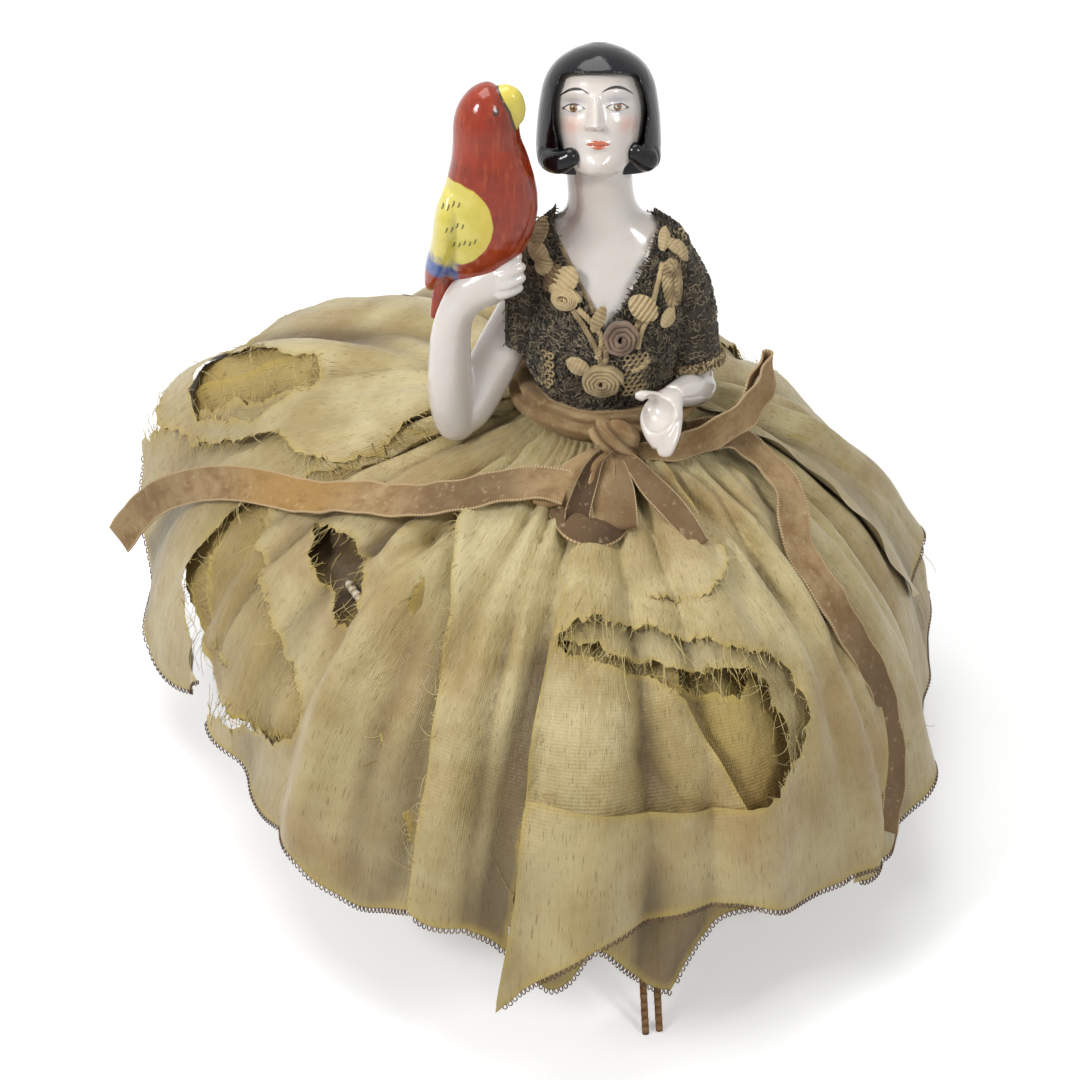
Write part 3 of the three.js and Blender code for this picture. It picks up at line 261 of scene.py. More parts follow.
def make(name, shape, material, slot, replaces=None, to_doll=None):
    """A mesh piece from a shape, painted, riding on the doll and standing for its CAD node, if it has one."""
    points = shape.all_points()
    if to_doll is not None:
        points = to_doll(points)
    mesh = bpy.data.meshes.new(name)
    mesh.from_pydata(world(points).tolist(), [], shape.faces)
    for key, parts in shape.values.items():
        value = np.concatenate(parts)
        kind, field = ("FLOAT_VECTOR", "vector") if value.ndim == 2 else ("FLOAT", "value")
        attribute = mesh.attributes.new(key, kind, "POINT")
        attribute.data.foreach_set(field, value.astype(np.float32).ravel())
    mesh.update()
    mesh.materials.append(material)
    mesh.shade_smooth()
    piece = add_object(name, mesh)
    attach(piece, "root")
    if replaces is not None:
        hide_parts(replaces)
    return piece


def merged(parts, voxel, rounds, cut=None):
    """One skin over overlapping closed parts, softened where they meet; a cut is taken out first."""
    shape = Shape()
    for points, faces in parts:
        shape.add(points, faces)
    made = []
    for label, source in (("skin", shape), ("cut", cut)):
        if source is None:
            continue
        mesh = bpy.data.meshes.new(label)
        mesh.from_pydata(source.all_points().tolist(), [], source.faces)
        made.append(add_object(label, mesh))
    piece = made[0]
    if cut is not None:
        opening = piece.modifiers.new("opening", "BOOLEAN")
        opening.operation = "DIFFERENCE"
        opening.object = made[1]
        opening.solver = "EXACT"
        opening.use_self = True
    remesh = piece.modifiers.new("remesh", "REMESH")
    remesh.mode = "VOXEL"
    remesh.voxel_size = voxel
    soften = piece.modifiers.new("soften", "SMOOTH")
    soften.factor = 0.5
    soften.iterations = rounds
    graph = bpy.context.evaluated_depsgraph_get()
    result = piece.evaluated_get(graph).to_mesh()
    points = np.zeros(len(result.vertices) * 3)
    result.vertices.foreach_get("co", points)
    faces = [tuple(polygon.vertices) for polygon in result.polygons]
    points = points.reshape(-1, 3)
    for used in made:
        bpy.data.objects.remove(used)
    return points, faces


# Materials


def srgb(red, green, blue):
    """A colour as the eye reads it, 0 to 255, for Blender's linear light."""
    shares = [value / 255 for value in (red, green, blue)]
    return (*[s / 12.92 if s <= 0.04045 else ((s + 0.055) / 1.055) ** 2.4 for s in shares], 1)


class Value:
    """A number or colour worked out by a material's nodes, with arithmetic as in plain code."""

    def __init__(self, paint, socket):
        self.paint, self.socket = paint, socket

    def __add__(self, other):
        return self.paint.math("ADD", self, other)

    def __sub__(self, other):
        return self.paint.math("SUBTRACT", self, other)

    def __rsub__(self, other):
        return self.paint.math("SUBTRACT", other, self)

    def __mul__(self, other):
        return self.paint.math("MULTIPLY", self, other)

    def __truediv__(self, other):
        return self.paint.math("DIVIDE", self, other)

    def __pow__(self, other):
        return self.paint.math("POWER", self, other)

    def __abs__(self):
        return self.paint.math("ABSOLUTE", self)

    __radd__, __rmul__ = __add__, __mul__

    def step(self, low, high):
        """0 at low, 1 at high and a soft change between; high may be the lower number."""
        node = self.paint.node("MapRange", interpolation_type="SMOOTHSTEP")
        for socket, value in zip(node.inputs, (self, low, high)):
            self.paint.feed(socket, value)
        return Value(self.paint, node.outputs["Result"])

    def larger(self, other):
        return self.paint.math("MAXIMUM", self, other)


class Paint:
    """A material built on one Principled shader; settings are its sockets' plain numbers."""

    def __init__(self, name, settings):
        self.material = bpy.data.materials.new(name)
        self.material.use_nodes = True
        self.tree = self.material.node_tree
        self.shader = self.tree.nodes["Principled BSDF"]
        for socket, value in settings.items():
            self.shader.inputs[socket].default_value = value

    def node(self, kind, **settings):
        made = self.tree.nodes.new("ShaderNode" + kind)
        for key, value in settings.items():
            setattr(made, key, value)
        return made

    def feed(self, socket, value):
        if isinstance(value, Value):
            self.tree.links.new(value.socket, socket)
        else:
            socket.default_value = value

    def math(self, operation, *values):
        made = self.node("Math", operation=operation)
        for socket, value in zip(made.inputs, values):
            self.feed(socket, value)
        return Value(self, made.outputs[0])

    def split(self, vector):
        node = self.node("SeparateXYZ")
        self.feed(node.inputs[0], vector)
        return [Value(self, output) for output in node.outputs]

    def join(self, x, y, z=0.0):
        node = self.node("CombineXYZ")
        for socket, value in zip(node.inputs, (x, y, z)):
            self.feed(socket, value)
        return Value(self, node.outputs[0])

    def place(self, matrix=None):
        """Where a point is, in millimetres, in the doll's frame or in one that a matrix gives in it."""
        inner = Matrix(matrix) if matrix is not None else Matrix()
        outer = Matrix.Translation(SHIFT) @ Matrix.Scale(0.001, 4) @ inner
        node = self.node("Mapping", vector_type="TEXTURE")
        node.inputs["Location"].default_value = outer.to_translation()
        node.inputs["Rotation"].default_value = outer.to_euler()
        node.inputs["Scale"].default_value = (0.001, 0.001, 0.001)
        self.tree.links.new(self.node("TexCoord").outputs["Object"], node.inputs["Vector"])
        return Value(self, node.outputs[0])

    def attribute(self, name, output="Fac"):
        return Value(self, self.node("Attribute", attribute_name=name).outputs[output])

    def noise(self, vector, scale, detail=2.0, roughness=0.5):
        node = self.node("TexNoise")
        settings = {"Vector": vector, "Scale": scale, "Detail": detail, "Roughness": roughness}
        for name, value in settings.items():
            self.feed(node.inputs[name], value)
        return Value(self, node.outputs[0])

    def mix(self, share, first, second):
        """A colour between two; share 0 gives the first."""
        node = self.node("Mix", data_type="RGBA")
        for number, value in ((0, share), (6, first), (7, second)):
            self.feed(node.inputs[number], value)
        return Value(self, node.outputs[2])

    def spot(self, x, y, at, size):
        """A soft oval spot: 1 in its middle and fading outwards."""
        far = ((x - at[0]) / size[0]) ** 2 + ((y - at[1]) / size[1]) ** 2
        return self.math("EXPONENT", far * -1)

    def bump(self, height, depth):
        """Relief with a height in millimetres per unit of the value, over what was there."""
        node = self.node("Bump")
        node.inputs["Distance"].default_value = depth / 1000
        self.feed(node.inputs["Height"], height)
        before = self.shader.inputs["Normal"].links
        if before:
            self.tree.links.new(before[0].from_socket, node.inputs["Normal"])
        self.tree.links.new(node.outputs[0], self.shader.inputs["Normal"])

    def finish(self, colour, roughness=None):
        self.feed(self.shader.inputs["Base Color"], colour)
        if roughness is not None:
            self.feed(self.shader.inputs["Roughness"], roughness)
        return self.material


PORCELAIN_WHITE = srgb(222, 216, 209)


def cloth_value(paint):
    """A sheet's own measures: across it, along it, and how far from its edge, in millimetres."""
    return paint.split(paint.attribute("cloth", "Vector"))


# Painted face, in the head's frame
FACE_MIDDLE = -1.1
EYE_LEFT, EYE_RIGHT = (-6.1, 1.65), (3.95, 1.95)
EYE_HALF, EYE_RISE, EYE_FALL = 2.45, 1.0, 0.85
BROW_LEFT = [(-9.4, 4.2), (-6.5, 5.95), (-2.6, 4.95)]
BROW_RIGHT = [(0.3, 5.3), (3.85, 6.5), (7.7, 4.8)]
MOUTH = (-0.45, -6.6)
MOUTH_HALF = 2.95


def painted_brow(x, up, places):
    """A thin arch through three places, tapered to its ends."""
    a, b, c = np.polyfit([p[0] for p in places], [p[1] for p in places], 2)
    middle, half = (places[0][0] + places[-1][0]) / 2, (places[-1][0] - places[0][0]) / 2
    arch = x * x * float(a) + x * float(b) + float(c)
    taper = (1 - ((x - middle) / half) ** 2).larger(0) ** 0.6
    thick = taper * 0.3 + 0.01
    inside = abs(x - middle).step(half + 0.05, half - 0.1)
    return abs(up - arch).step(thick + 0.1, thick - 0.05) * inside


def painted_eye(paint, colour, x, up, at, outward):
    """White, iris, pupil, glint, lashes and shadows of an eye; outward is the side of its outer corner."""
    u = (x - at[0]) * outward
    w = up - at[1]
    arch = 1 - (u / EYE_HALF) ** 2
    upper, lower = arch * EYE_RISE, arch * -EYE_FALL
    open_eye = (upper - w).step(-0.05, 0.07) * (w - lower).step(-0.05, 0.07)
    shadow = paint.spot(u, w, (0.2, 1.75), (2.7, 0.75))
    colour = paint.mix(shadow * 0.5, colour, srgb(128, 134, 158))
    below = paint.spot(u, w, (0.2, -1.35), (2.5, 0.5))
    colour = paint.mix(below * 0.35, colour, srgb(150, 150, 168))
    colour = paint.mix(open_eye, colour, srgb(226, 220, 208))
    centre = ((u - 0.05) ** 2 + (w - 0.12) ** 2) ** 0.5
    colour = paint.mix(centre.step(0.98, 0.86) * open_eye, colour, srgb(132, 96, 58))
    colour = paint.mix(centre.step(0.98, 0.88) * centre.step(0.72, 0.88) * open_eye, colour, srgb(84, 62, 44))
    colour = paint.mix(centre.step(0.42, 0.3) * open_eye, colour, srgb(30, 26, 26))
    glint = ((u * outward + 0.3) ** 2 + (w - 0.4) ** 2) ** 0.5
    colour = paint.mix(glint.step(0.2, 0.12) * open_eye, colour, srgb(238, 236, 232))
    near_end = abs(u).step(EYE_HALF + 0.3, EYE_HALF - 0.1)
    lash = abs(w - upper).step(0.24, 0.1) * near_end
    colour = paint.mix(lash, colour, srgb(52, 50, 60))
    under = abs(w - lower).step(0.14, 0.04) * near_end
    colour = paint.mix(under * 0.75, colour, srgb(92, 92, 112))
    corner = paint.spot(u, w, (2.35, -0.1), (0.45, 0.3))
    return paint.mix(corner * 0.9, colour, srgb(48, 46, 56))


def porcelain_paint():
    """White glaze with the painted face and painted shade under the chin; the face paint lies only on the
    front of the head.
    """
    paint = Paint("porcelain", {"Roughness": 0.2, "Coat Weight": 0.6, "Coat Roughness": 0.06,
                                "Subsurface Weight": 0.12, "Subsurface Scale": 0.002})
    spot = paint.place()
    tint = paint.noise(spot, 0.06, 3.0)
    colour = paint.mix(tint.step(0.35, 0.7), PORCELAIN_WHITE, srgb(218, 208, 199))
    specks = paint.noise(spot, 3.2, 1.0).step(0.79, 0.83)
    colour = paint.mix(specks * 0.3, colour, srgb(150, 130, 110))
    x, y, up = paint.split(paint.place(HEAD_TO_DOLL))
    front = y.step(-3.2, -4.2)
    # Painted shade under the chin: a darker beige on the neck
    neck = paint.spot(x, up, (0, -19), (8, 4)) * 0.35
    colour = paint.mix(neck, colour, srgb(196, 176, 160))
    face = colour
    for at in ((-6.6, -2.3), (6.3, -2.0)):
        face = paint.mix(paint.spot(x, up, at, (2.3, 1.9)) * 0.5, face, srgb(226, 160, 142))
    face = painted_eye(paint, face, x, up, EYE_LEFT, -1)
    face = painted_eye(paint, face, x, up, EYE_RIGHT, 1)
    for places in (BROW_LEFT, BROW_RIGHT):
        face = paint.mix(painted_brow(x, up, places), face, srgb(40, 36, 36))
    for at in ((FACE_MIDDLE - 0.2, -3.05), (FACE_MIDDLE + 1.7, -3.05)):
        face = paint.mix(paint.spot(x, up, at, (0.36, 0.24)) * 0.8, face, srgb(176, 92, 66))
    u, w = x - MOUTH[0], up - MOUTH[1]
    arch = (1 - (u / MOUTH_HALF) ** 2).larger(0)
    dip = paint.spot(u, w, (0, 0.9), (0.45, 5))
    upper = arch * 1.15 - dip * 0.28
    lower = (1 - (u / 2.4) ** 2).larger(0) * -1.05
    lips = (upper - w).step(-0.08, 0.1) * (w - lower).step(-0.08, 0.1) * arch.step(0, 0.06)
    face = paint.mix(lips, face, srgb(206, 104, 66))
    line = abs(w - dip * -0.1).step(0.16, 0.04) * arch.step(0, 0.3) * 0.75
    face = paint.mix(line * lips, face, srgb(142, 52, 38))
    colour = paint.mix(front, colour, face)
    paint.bump(paint.noise(spot, 0.35, 2.0), 0.12)
    return paint.finish(colour)


def hair_paint():
    """Glossy black glaze, a little worn."""
    paint = Paint("hair_glaze", {"Roughness": 0.14, "Specular IOR Level": 0.22, "Coat Weight": 0.22,
                                 "Coat Roughness": 0.03})
    spot = paint.place()
    worn = paint.noise(spot, 0.9, 4.0).step(0.66, 0.8)
    colour = paint.mix(worn * 0.25, srgb(13, 14, 18), srgb(48, 50, 56))
    paint.bump(paint.noise(spot, 0.5, 2.0), 0.1)
    return paint.finish(colour)


# Painted parrot, in the bust's frame
WING_MIDDLE, WING_SIZE = (-37.6, 66.5), (9.9, 10.6)
BEAK_EDGE = -24.3


# Each row of marks on the wing: its first mark's place across and up, and how many there are
WING_MARKS = [(-39.4, 71.3, 4), (-38.6, 66.2, 4), (-37.0, 61.9, 5)]


def painted_wing(paint, spot, x, y, up):
    """Where the wing lies, and its colour: a yellow oval, blue towards its tip, with rows of dark marks."""
    across, rise = (x - WING_MIDDLE[0]) / WING_SIZE[0], (up - WING_MIDDLE[1]) / WING_SIZE[1]
    lean = across * 0.24
    oval = ((across + rise * 0.12) ** 2 + (rise - lean) ** 2) ** 0.5
    ragged = paint.noise(spot, 0.5, 2.0) * 0.05
    in_oval = (oval + ragged).step(1.05, 1.01) * y.step(-6.0, -8.0)
    yellow = paint.mix(paint.noise(spot, 0.25, 2.0).step(0.4, 0.7), srgb(222, 208, 110), srgb(208, 196, 84))
    yellow = paint.mix(across.step(0.2, 0.95) * 0.5, yellow, srgb(214, 186, 52))
    tip_line = up + x * 0.52 - 36.0 + (paint.noise(spot, 0.45, 3.0) - 0.5) * 7
    blue = paint.mix(paint.noise(spot, 0.3, 3.0).step(0.4, 0.7), srgb(72, 92, 158), srgb(104, 122, 172))
    tip = (x + 36.5).step(0.6, -0.6) * (up - 60.5).step(1.5, -0.5) * (x * 0.42 + up - 34.6).step(-0.6, 1.2)
    colour = paint.mix(tip_line.step(2.2, -1.6), yellow, blue)
    marks = None
    for left, height, count in WING_MARKS:
        for number in range(count):
            at_x, at_up = left + 1.25 * number, height + 0.35 * number + 0.2 * (-1) ** number
            slant = (x - at_x) - (up - at_up) * 0.35
            mark = abs(slant + ((up - at_up) ** 2) * 0.25).step(0.3, 0.12) * abs(up - at_up).step(0.8, 0.5)
            marks = mark if marks is None else marks.larger(mark)
    return in_oval.larger(tip * y.step(-4.0, -6.0)), paint.mix(marks * 0.85, colour, srgb(66, 64, 44))


def painted_beak(paint, colour, x, y, up):
    """A yellow beak behind a dark line, and an eye in a dark ring."""
    behind = x + (up - 94.0) * 0.42 + abs(up - 93.5) * 0.12
    beak = (behind - BEAK_EDGE).step(0.35, 0.6) * up.step(88.6, 89.4)
    colour = paint.mix(beak, colour, srgb(222, 206, 92))
    edge = abs(behind - BEAK_EDGE - 0.2).step(0.42, 0.2) * up.step(88.2, 89.2) * up.step(99.5, 98.4)
    colour = paint.mix(edge * 0.9, colour, srgb(62, 60, 40))
    eye = ((x + 26.9) ** 2 + ((up - 94.4) * 0.75) ** 2) ** 0.5
    near_side = y.step(-15.0, -16.5)
    colour = paint.mix(eye.step(0.86, 0.6) * near_side, colour, srgb(92, 36, 22))
    return paint.mix(eye.step(0.55, 0.3) * near_side, colour, srgb(40, 34, 26))


def parrot_paint():
    """Brushed red-orange glaze with the painted wing, beak and eye."""
    paint = Paint("parrot_glaze", {"Roughness": 0.16, "Specular IOR Level": 0.3, "Coat Weight": 0.3,
                                   "Coat Roughness": 0.04})
    spot = paint.place()
    x, y, up = paint.split(paint.place(BUST_TO_DOLL))
    cloudy = paint.noise(spot, 0.16, 4.0, 0.6)
    colour = paint.mix(cloudy.step(0.35, 0.68), srgb(160, 54, 22), srgb(132, 42, 18))
    brushed = paint.noise(paint.join(x * 0.9, y * 0.9, up * 0.12), 1.0, 3.0)
    colour = paint.mix(brushed.step(0.5, 0.75) * 0.45, colour, srgb(198, 98, 52))
    crown = paint.spot(x, up, (-30.4, 93.5), (2.2, 4.5))
    colour = paint.mix(crown * 0.6, colour, srgb(150, 40, 14))
    in_wing, wing = painted_wing(paint, spot, x, y, up)
    colour = painted_beak(paint, paint.mix(in_wing, colour, wing), x, y, up)
    paint.bump(paint.noise(spot, 0.4, 2.0), 0.12)
    return paint.finish(colour)


def silk_paint(name, light, middle, deep, yellow):
    """Worn silk satin: slubs and streaks run down the cloth, with stains, a darker torn edge, and painted
    shade towards the hem and in the valleys of the folds.
    """
    paint = Paint(name, {"Specular IOR Level": 0.45, "Sheen Weight": 0.2, "Sheen Roughness": 0.4})
    across, along, edge = cloth_value(paint)
    fold = paint.attribute("fold")
    spot = paint.place()
    patches = paint.noise(spot, 0.035, 4.0, 0.6)
    colour = paint.mix(patches.step(0.36, 0.66), light, middle)
    streaks = paint.noise(paint.join(across, along * 0.045), 1.0, 4.0, 0.65)
    colour = paint.mix(streaks.step(0.5, 0.78) * 0.55, colour, middle)
    colour = paint.mix(streaks.step(0.45, 0.25) * 0.4, colour, light)
    slubs = paint.noise(paint.join(across * 2.4, along * 0.34), 1.0, 1.0)
    colour = paint.mix(slubs.step(0.63, 0.72) * 0.6, colour, deep)
    bright = paint.noise(paint.join(across * 2.0 + 40, along * 0.22), 1.0, 1.0)
    colour = paint.mix(bright.step(0.62, 0.74) * 0.5, colour, light)
    stains = paint.noise(spot, 0.026, 4.0, 0.6)
    # Painted shade: the silk darkens towards the hem, where it hangs down steeply
    colour = paint.mix(along.step(50, 140) * 0.4, colour, srgb(140, 116, 68))
    colour = paint.mix(stains.step(0.5, 0.7) * 0.5, colour, srgb(148, 114, 66))
    # Painted shade: the silk darkens in the valleys of its folds and in sunk hollows, most where the fold
    # value is lowest
    colour = paint.mix(fold.step(0.4, -3.4) * 0.75, colour, deep)
    colour = paint.mix(fold.step(-1.6, -4.4) * 0.75, colour, srgb(92, 70, 40))
    colour = paint.mix(edge.step(1.8, 0.1) * 0.5, colour, yellow)
    warp = paint.math("SINE", across * 12.6)
    weft = paint.math("SINE", along * 9.4)
    grain = paint.noise(paint.join(across * 2.2, along * 0.35), 1.0, 2.0)
    paint.bump(warp * 0.5 + weft * 0.35 + grain * 2, 0.05)
    crush = paint.noise(paint.join(across * 0.22, along * 0.12), 1.0, 4.0, 0.6)
    paint.bump(crush, 0.9)
    rough = streaks.step(0.3, 0.7) * 0.16 + 0.38
    return paint.finish(colour, rough)


def velvet_paint():
    """Short-pile ribbon, worn and faded, with cream selvages that the cloth value's x marks near 1, and
    painted shade where its third value is above 0.
    """
    paint = Paint("velvet", {"Roughness": 0.85, "Specular IOR Level": 0.15, "Sheen Weight": 0.5,
                             "Sheen Roughness": 0.35, "Sheen Tint": srgb(214, 180, 140)})
    across, along, shade_and_tone = cloth_value(paint)
    spot = paint.place()
    nap = paint.noise(spot, 0.12, 4.0, 0.65)
    colour = paint.mix(nap.step(0.35, 0.68), srgb(176, 150, 112), srgb(144, 116, 78))
    # Painted shade: a third cloth value above 0 darkens the velvet, to near black past 1, in folds, hollows
    # and undersides; below 0 it turns a lighter gold
    colour = paint.mix(shade_and_tone.step(0.0, 1.0) * 0.9, colour, srgb(104, 84, 62))
    colour = paint.mix(shade_and_tone.step(0.9, 2.0), colour, srgb(58, 44, 38))
    colour = paint.mix(shade_and_tone.step(0.0, -1.0) * 0.9, colour, srgb(168, 132, 78))
    worn = paint.noise(paint.join(across * 2, along * 0.12), 1.0, 4.0, 0.65)
    colour = paint.mix(worn.step(0.5, 0.7) * 0.45, colour, srgb(120, 88, 58))
    bald = paint.noise(spot, 0.5, 3.0, 0.6).step(0.58, 0.76)
    colour = paint.mix(bald * 0.5, colour, srgb(202, 182, 146))
    pile = paint.noise(spot, 4.5, 2.0, 0.7)
    colour = paint.mix(pile.step(0.45, 0.7) * 0.25, colour, srgb(96, 70, 44))
    selvage = abs(across).step(0.88, 0.94)
    stitches = paint.math("SINE", along * 9.0)
    cream = paint.mix(stitches.step(-0.4, 0.8), srgb(166, 138, 100), srgb(204, 182, 146))
    colour = paint.mix(selvage, colour, cream)
    paint.bump(pile, 0.12)
    paint.bump(stitches * selvage, 0.05)
    return paint.finish(colour)


def fibre_paint(name, dark, light):
    """Dull yarn, ribbon or thread whose shade changes from strand to strand with its shade value."""
    paint = Paint(name, {"Roughness": 0.8, "Specular IOR Level": 0.2, "Sheen Weight": 0.25,
                         "Sheen Roughness": 0.5})
    shade = paint.attribute("shade")
    spot = paint.place()
    soft = paint.noise(spot, 0.4, 3.0, 0.6)
    colour = paint.mix((shade * 0.75 + soft * 0.5 - 0.12).step(0.1, 0.9), dark, light)
    fibres = paint.noise(spot, 4.8, 2.0, 0.7)
    colour = paint.mix(fibres.step(0.5, 0.75) * 0.3, colour, dark)
    paint.bump(fibres, 0.1)
    return paint.finish(colour)


# How often the tape goes round in each millimetre of wire
TAPE_TURNS = 0.45


def tape_paint(name, dark, light):
    """Tape wound round wire, rusted through in places, each turn painted darker where it starts beside the
    raised edge of the last, as painted shade; the shade value is the run along the wire.
    """
    paint = Paint(name, {"Roughness": 0.85, "Specular IOR Level": 0.15})
    along = paint.attribute("shade")
    spot = paint.place()
    turns = paint.math("FRACT", along * TAPE_TURNS)
    # Painted shade: each turn of tape runs from dark, beside the lap of the last, to light
    colour = paint.mix(turns.step(0.0, 0.9), dark, light)
    rust = paint.noise(spot, 0.3, 4.0, 0.65).step(0.5, 0.66)
    colour = paint.mix(rust * 0.8, colour, srgb(120, 62, 30))
    paint.bump(turns.step(0.0, 0.25), 0.15)
    return paint.finish(colour)


PORCELAIN = porcelain_paint()
HAIR = hair_paint()
PARROT = parrot_paint()
SILK = silk_paint("silk", srgb(202, 188, 142), srgb(168, 149, 98), srgb(84, 68, 34), srgb(178, 154, 76))
INNER_SILK = silk_paint("inner_silk", srgb(180, 158, 94), srgb(144, 122, 62), srgb(62, 46, 24),
                        srgb(184, 160, 70))
VELVET = velvet_paint()
KNIT = fibre_paint("knit", srgb(50, 44, 36), srgb(146, 132, 106))
TRIM = fibre_paint("ribbon_trim", srgb(98, 76, 48), srgb(204, 182, 138))
DUSKY = fibre_paint("dusky_ribbon", srgb(98, 78, 64), srgb(170, 146, 122))
THREAD = fibre_paint("thread", srgb(168, 142, 66), srgb(220, 202, 140))
WHITE_THREAD = fibre_paint("white_thread", srgb(196, 190, 176), srgb(236, 232, 222))
PICOT = fibre_paint("picot", srgb(76, 52, 28), srgb(122, 90, 52))
TAPE = tape_paint("tape", srgb(118, 88, 58), srgb(158, 126, 88))
CREAM_TAPE = tape_paint("cream_tape", srgb(176, 160, 128), srgb(226, 218, 196))


# Camera: its place in the doll's frame, its tilt up from straight down, and its focal length in pixels
CAMERA_PLACE, CAMERA_TILT = (-16.9, -416.7, 432.4), 50
FOCAL_PIXELS, PICTURE_PIXELS, SENSOR_WIDTH = 2000, 1080, 36

camera = add_object("camera", bpy.data.cameras.new("camera"))
camera.location = world(CAMERA_PLACE)
camera.rotation_euler = (math.radians(CAMERA_TILT), 0, 0)
camera.data.sensor_width = SENSOR_WIDTH
camera.data.lens = SENSOR_WIDTH * FOCAL_PIXELS / PICTURE_PIXELS
camera.data.clip_start = 0.01
bpy.context.scene.camera = camera
bpy.context.scene.view_settings.view_transform = "Standard"

# Light and floor, in the shared frame's metres
LAMP_AIM = Vector((0, 0, 0.12))
LAMPS = [
    # name, place, size and power in watts
    ("lamp_left", (-0.62, -0.42, 0.78), 0.24, 5.5),
    ("lamp_right", (0.6, -0.5, 0.72), 0.2, 2.2),
    ("lamp_above", (-0.1, 0.2, 1.05), 0.6, 5.0),
]
for name, location, size, power in LAMPS:
    lamp = bpy.data.lights.new(name, "AREA")
    lamp.size = size
    lamp.energy = power
    holder = add_object(name, lamp)
    holder.location = location
    aim = LAMP_AIM - Vector(location)
    holder.rotation_euler = aim.to_track_quat("-Z", "Y").to_euler()

WORLD_LIGHT = 0.26
FLOOR_HALF, FLOOR_GREY = 3.0, 0.86
# The floor's own glow, for the camera alone, at these distances from the doll
GLOW_DISTANCES, GLOW_LEVELS = (0.35, 1.3), (0.35, 0.9)


def seen_by_camera(tree):
    """1 where the camera looks, also by a reflection or through glass, and 0 for the light on the doll."""
    path = tree.nodes.new("ShaderNodeLightPath")
    seen = path.outputs["Is Camera Ray"]
    for other in ("Is Glossy Ray", "Is Transmission Ray"):
        either = tree.nodes.new("ShaderNodeMath")
        either.operation = "MAXIMUM"
        tree.links.new(seen, either.inputs[0])
        tree.links.new(path.outputs[other], either.inputs[1])
        seen = either.outputs[0]
    return seen


def make_world():
    """White for the camera, and a dimmer white light from all round for the doll."""
    studio = bpy.data.worlds.new("studio")
    studio.use_nodes = True
    bpy.context.scene.world = studio
    tree = studio.node_tree
    background = tree.nodes["Background"]
    level = tree.nodes.new("ShaderNodeMapRange")
    tree.links.new(seen_by_camera(tree), level.inputs["Value"])
    level.inputs["To Min"].default_value = WORLD_LIGHT
    level.inputs["To Max"].default_value = 1.0
    background.inputs["Color"].default_value = (1, 1, 1, 1)
    tree.links.new(level.outputs[0], background.inputs["Strength"])


def make_floor():
    """A pale matt floor whose own glow, which lights nothing, makes it white for the camera farther out."""
    mesh = bpy.data.meshes.new("floor")
    corners = [(x * FLOOR_HALF, y * FLOOR_HALF, 0) for x, y in ((-1, -1), (1, -1), (1, 1), (-1, 1))]
    mesh.from_pydata(corners, [], [(0, 1, 2, 3)])
    floor = add_object("floor", mesh)
    material = bpy.data.materials.new("floor")
    material.use_nodes = True
    tree = material.node_tree
    shader = tree.nodes["Principled BSDF"]
    shader.inputs["Base Color"].default_value = (FLOOR_GREY, FLOOR_GREY, FLOOR_GREY, 1)
    shader.inputs["Roughness"].default_value = 0.9
    shader.inputs["Specular IOR Level"].default_value = 0.1
    shader.inputs["Emission Color"].default_value = (1, 1, 1, 1)
    place = tree.nodes.new("ShaderNodeTexCoord")
    away = tree.nodes.new("ShaderNodeVectorMath")
    away.operation = "LENGTH"
    tree.links.new(place.outputs["Object"], away.inputs[0])
    white = tree.nodes.new("ShaderNodeMapRange")
    tree.links.new(away.outputs["Value"], white.inputs["Value"])
    for side, distance, glow in zip(("Min", "Max"), GLOW_DISTANCES, GLOW_LEVELS):
        white.inputs["From " + side].default_value = distance
        white.inputs["To " + side].default_value = glow
    level = tree.nodes.new("ShaderNodeMath")
    level.operation = "MULTIPLY"
    tree.links.new(seen_by_camera(tree), level.inputs[0])
    tree.links.new(white.outputs[0], level.inputs[1])
    tree.links.new(level.outputs[0], shader.inputs["Emission Strength"])
    mesh.materials.append(material)
    floor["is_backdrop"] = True


make_world()
make_floor()


# Porcelain figure, in the bust's frame

BODY_SECTIONS = np.array([
    # up, x, y, half width, half depth
    (-2.5, 0, 0, 15.5, 14.5), (2.5, 0, 0, 15.5, 14.5), (3.6, 0, 0, 13.8, 12.8), (11, 0, 0, 14.4, 13.2),
    (17, 0, 0, 15, 13.4), (24, 0, -0.5, 16.2, 14.2), (31, 0, -1.2, 17, 15), (38, 0, -1, 17.2, 14.4),
    (45, 0, -0.4, 17.6, 13), (50, -0.2, 0, 18.2, 11.6), (54, -0.4, 0.3, 18, 10), (57, -0.8, 0.8, 16, 8.8),
    (59.5, -1.2, 0.8, 12.5, 8), (61.5, -1.6, 0.6, 9.8, 7.6), (65, -2, 0.3, 8.2, 7.4), (71, -2.6, 0, 7.9, 7.5),
    (78, -3, 0, 8.3, 8),
])
HEAD_SECTIONS = np.array([
    (-14.3, 0, -7.6, 2.2, 2.4), (-13.4, 0, -6.9, 4.4, 4.8), (-12, 0, -5.6, 6.2, 6.6), (-9, 0, -3.2, 8.5, 9),
    (-4, 0, -1.2, 10.4, 11.2), (3, 0, -0.4, 11.1, 12), (9, 0, 0, 9.8, 11), (13, 0, 0, 6, 7),
])
HAIR_SECTIONS = np.array([
    (-14.2, 0, 3.4, 10.5, 6.6), (-13.6, 0, 3.2, 12.6, 9), (-12.2, 0, 2.7, 14, 10.8), (-9, 0, 1.8, 14.9, 12.6),
    (-4, 0, 1, 14.8, 13.8), (2, 0, 0.4, 14.2, 14.4), (8, 0, 0, 12.9, 13.4), (12.2, 0, 0.2, 10.2, 10.9),
    (15, 0, 0.4, 6, 7), (16.4, 0, 0.5, 1.6, 2),
])


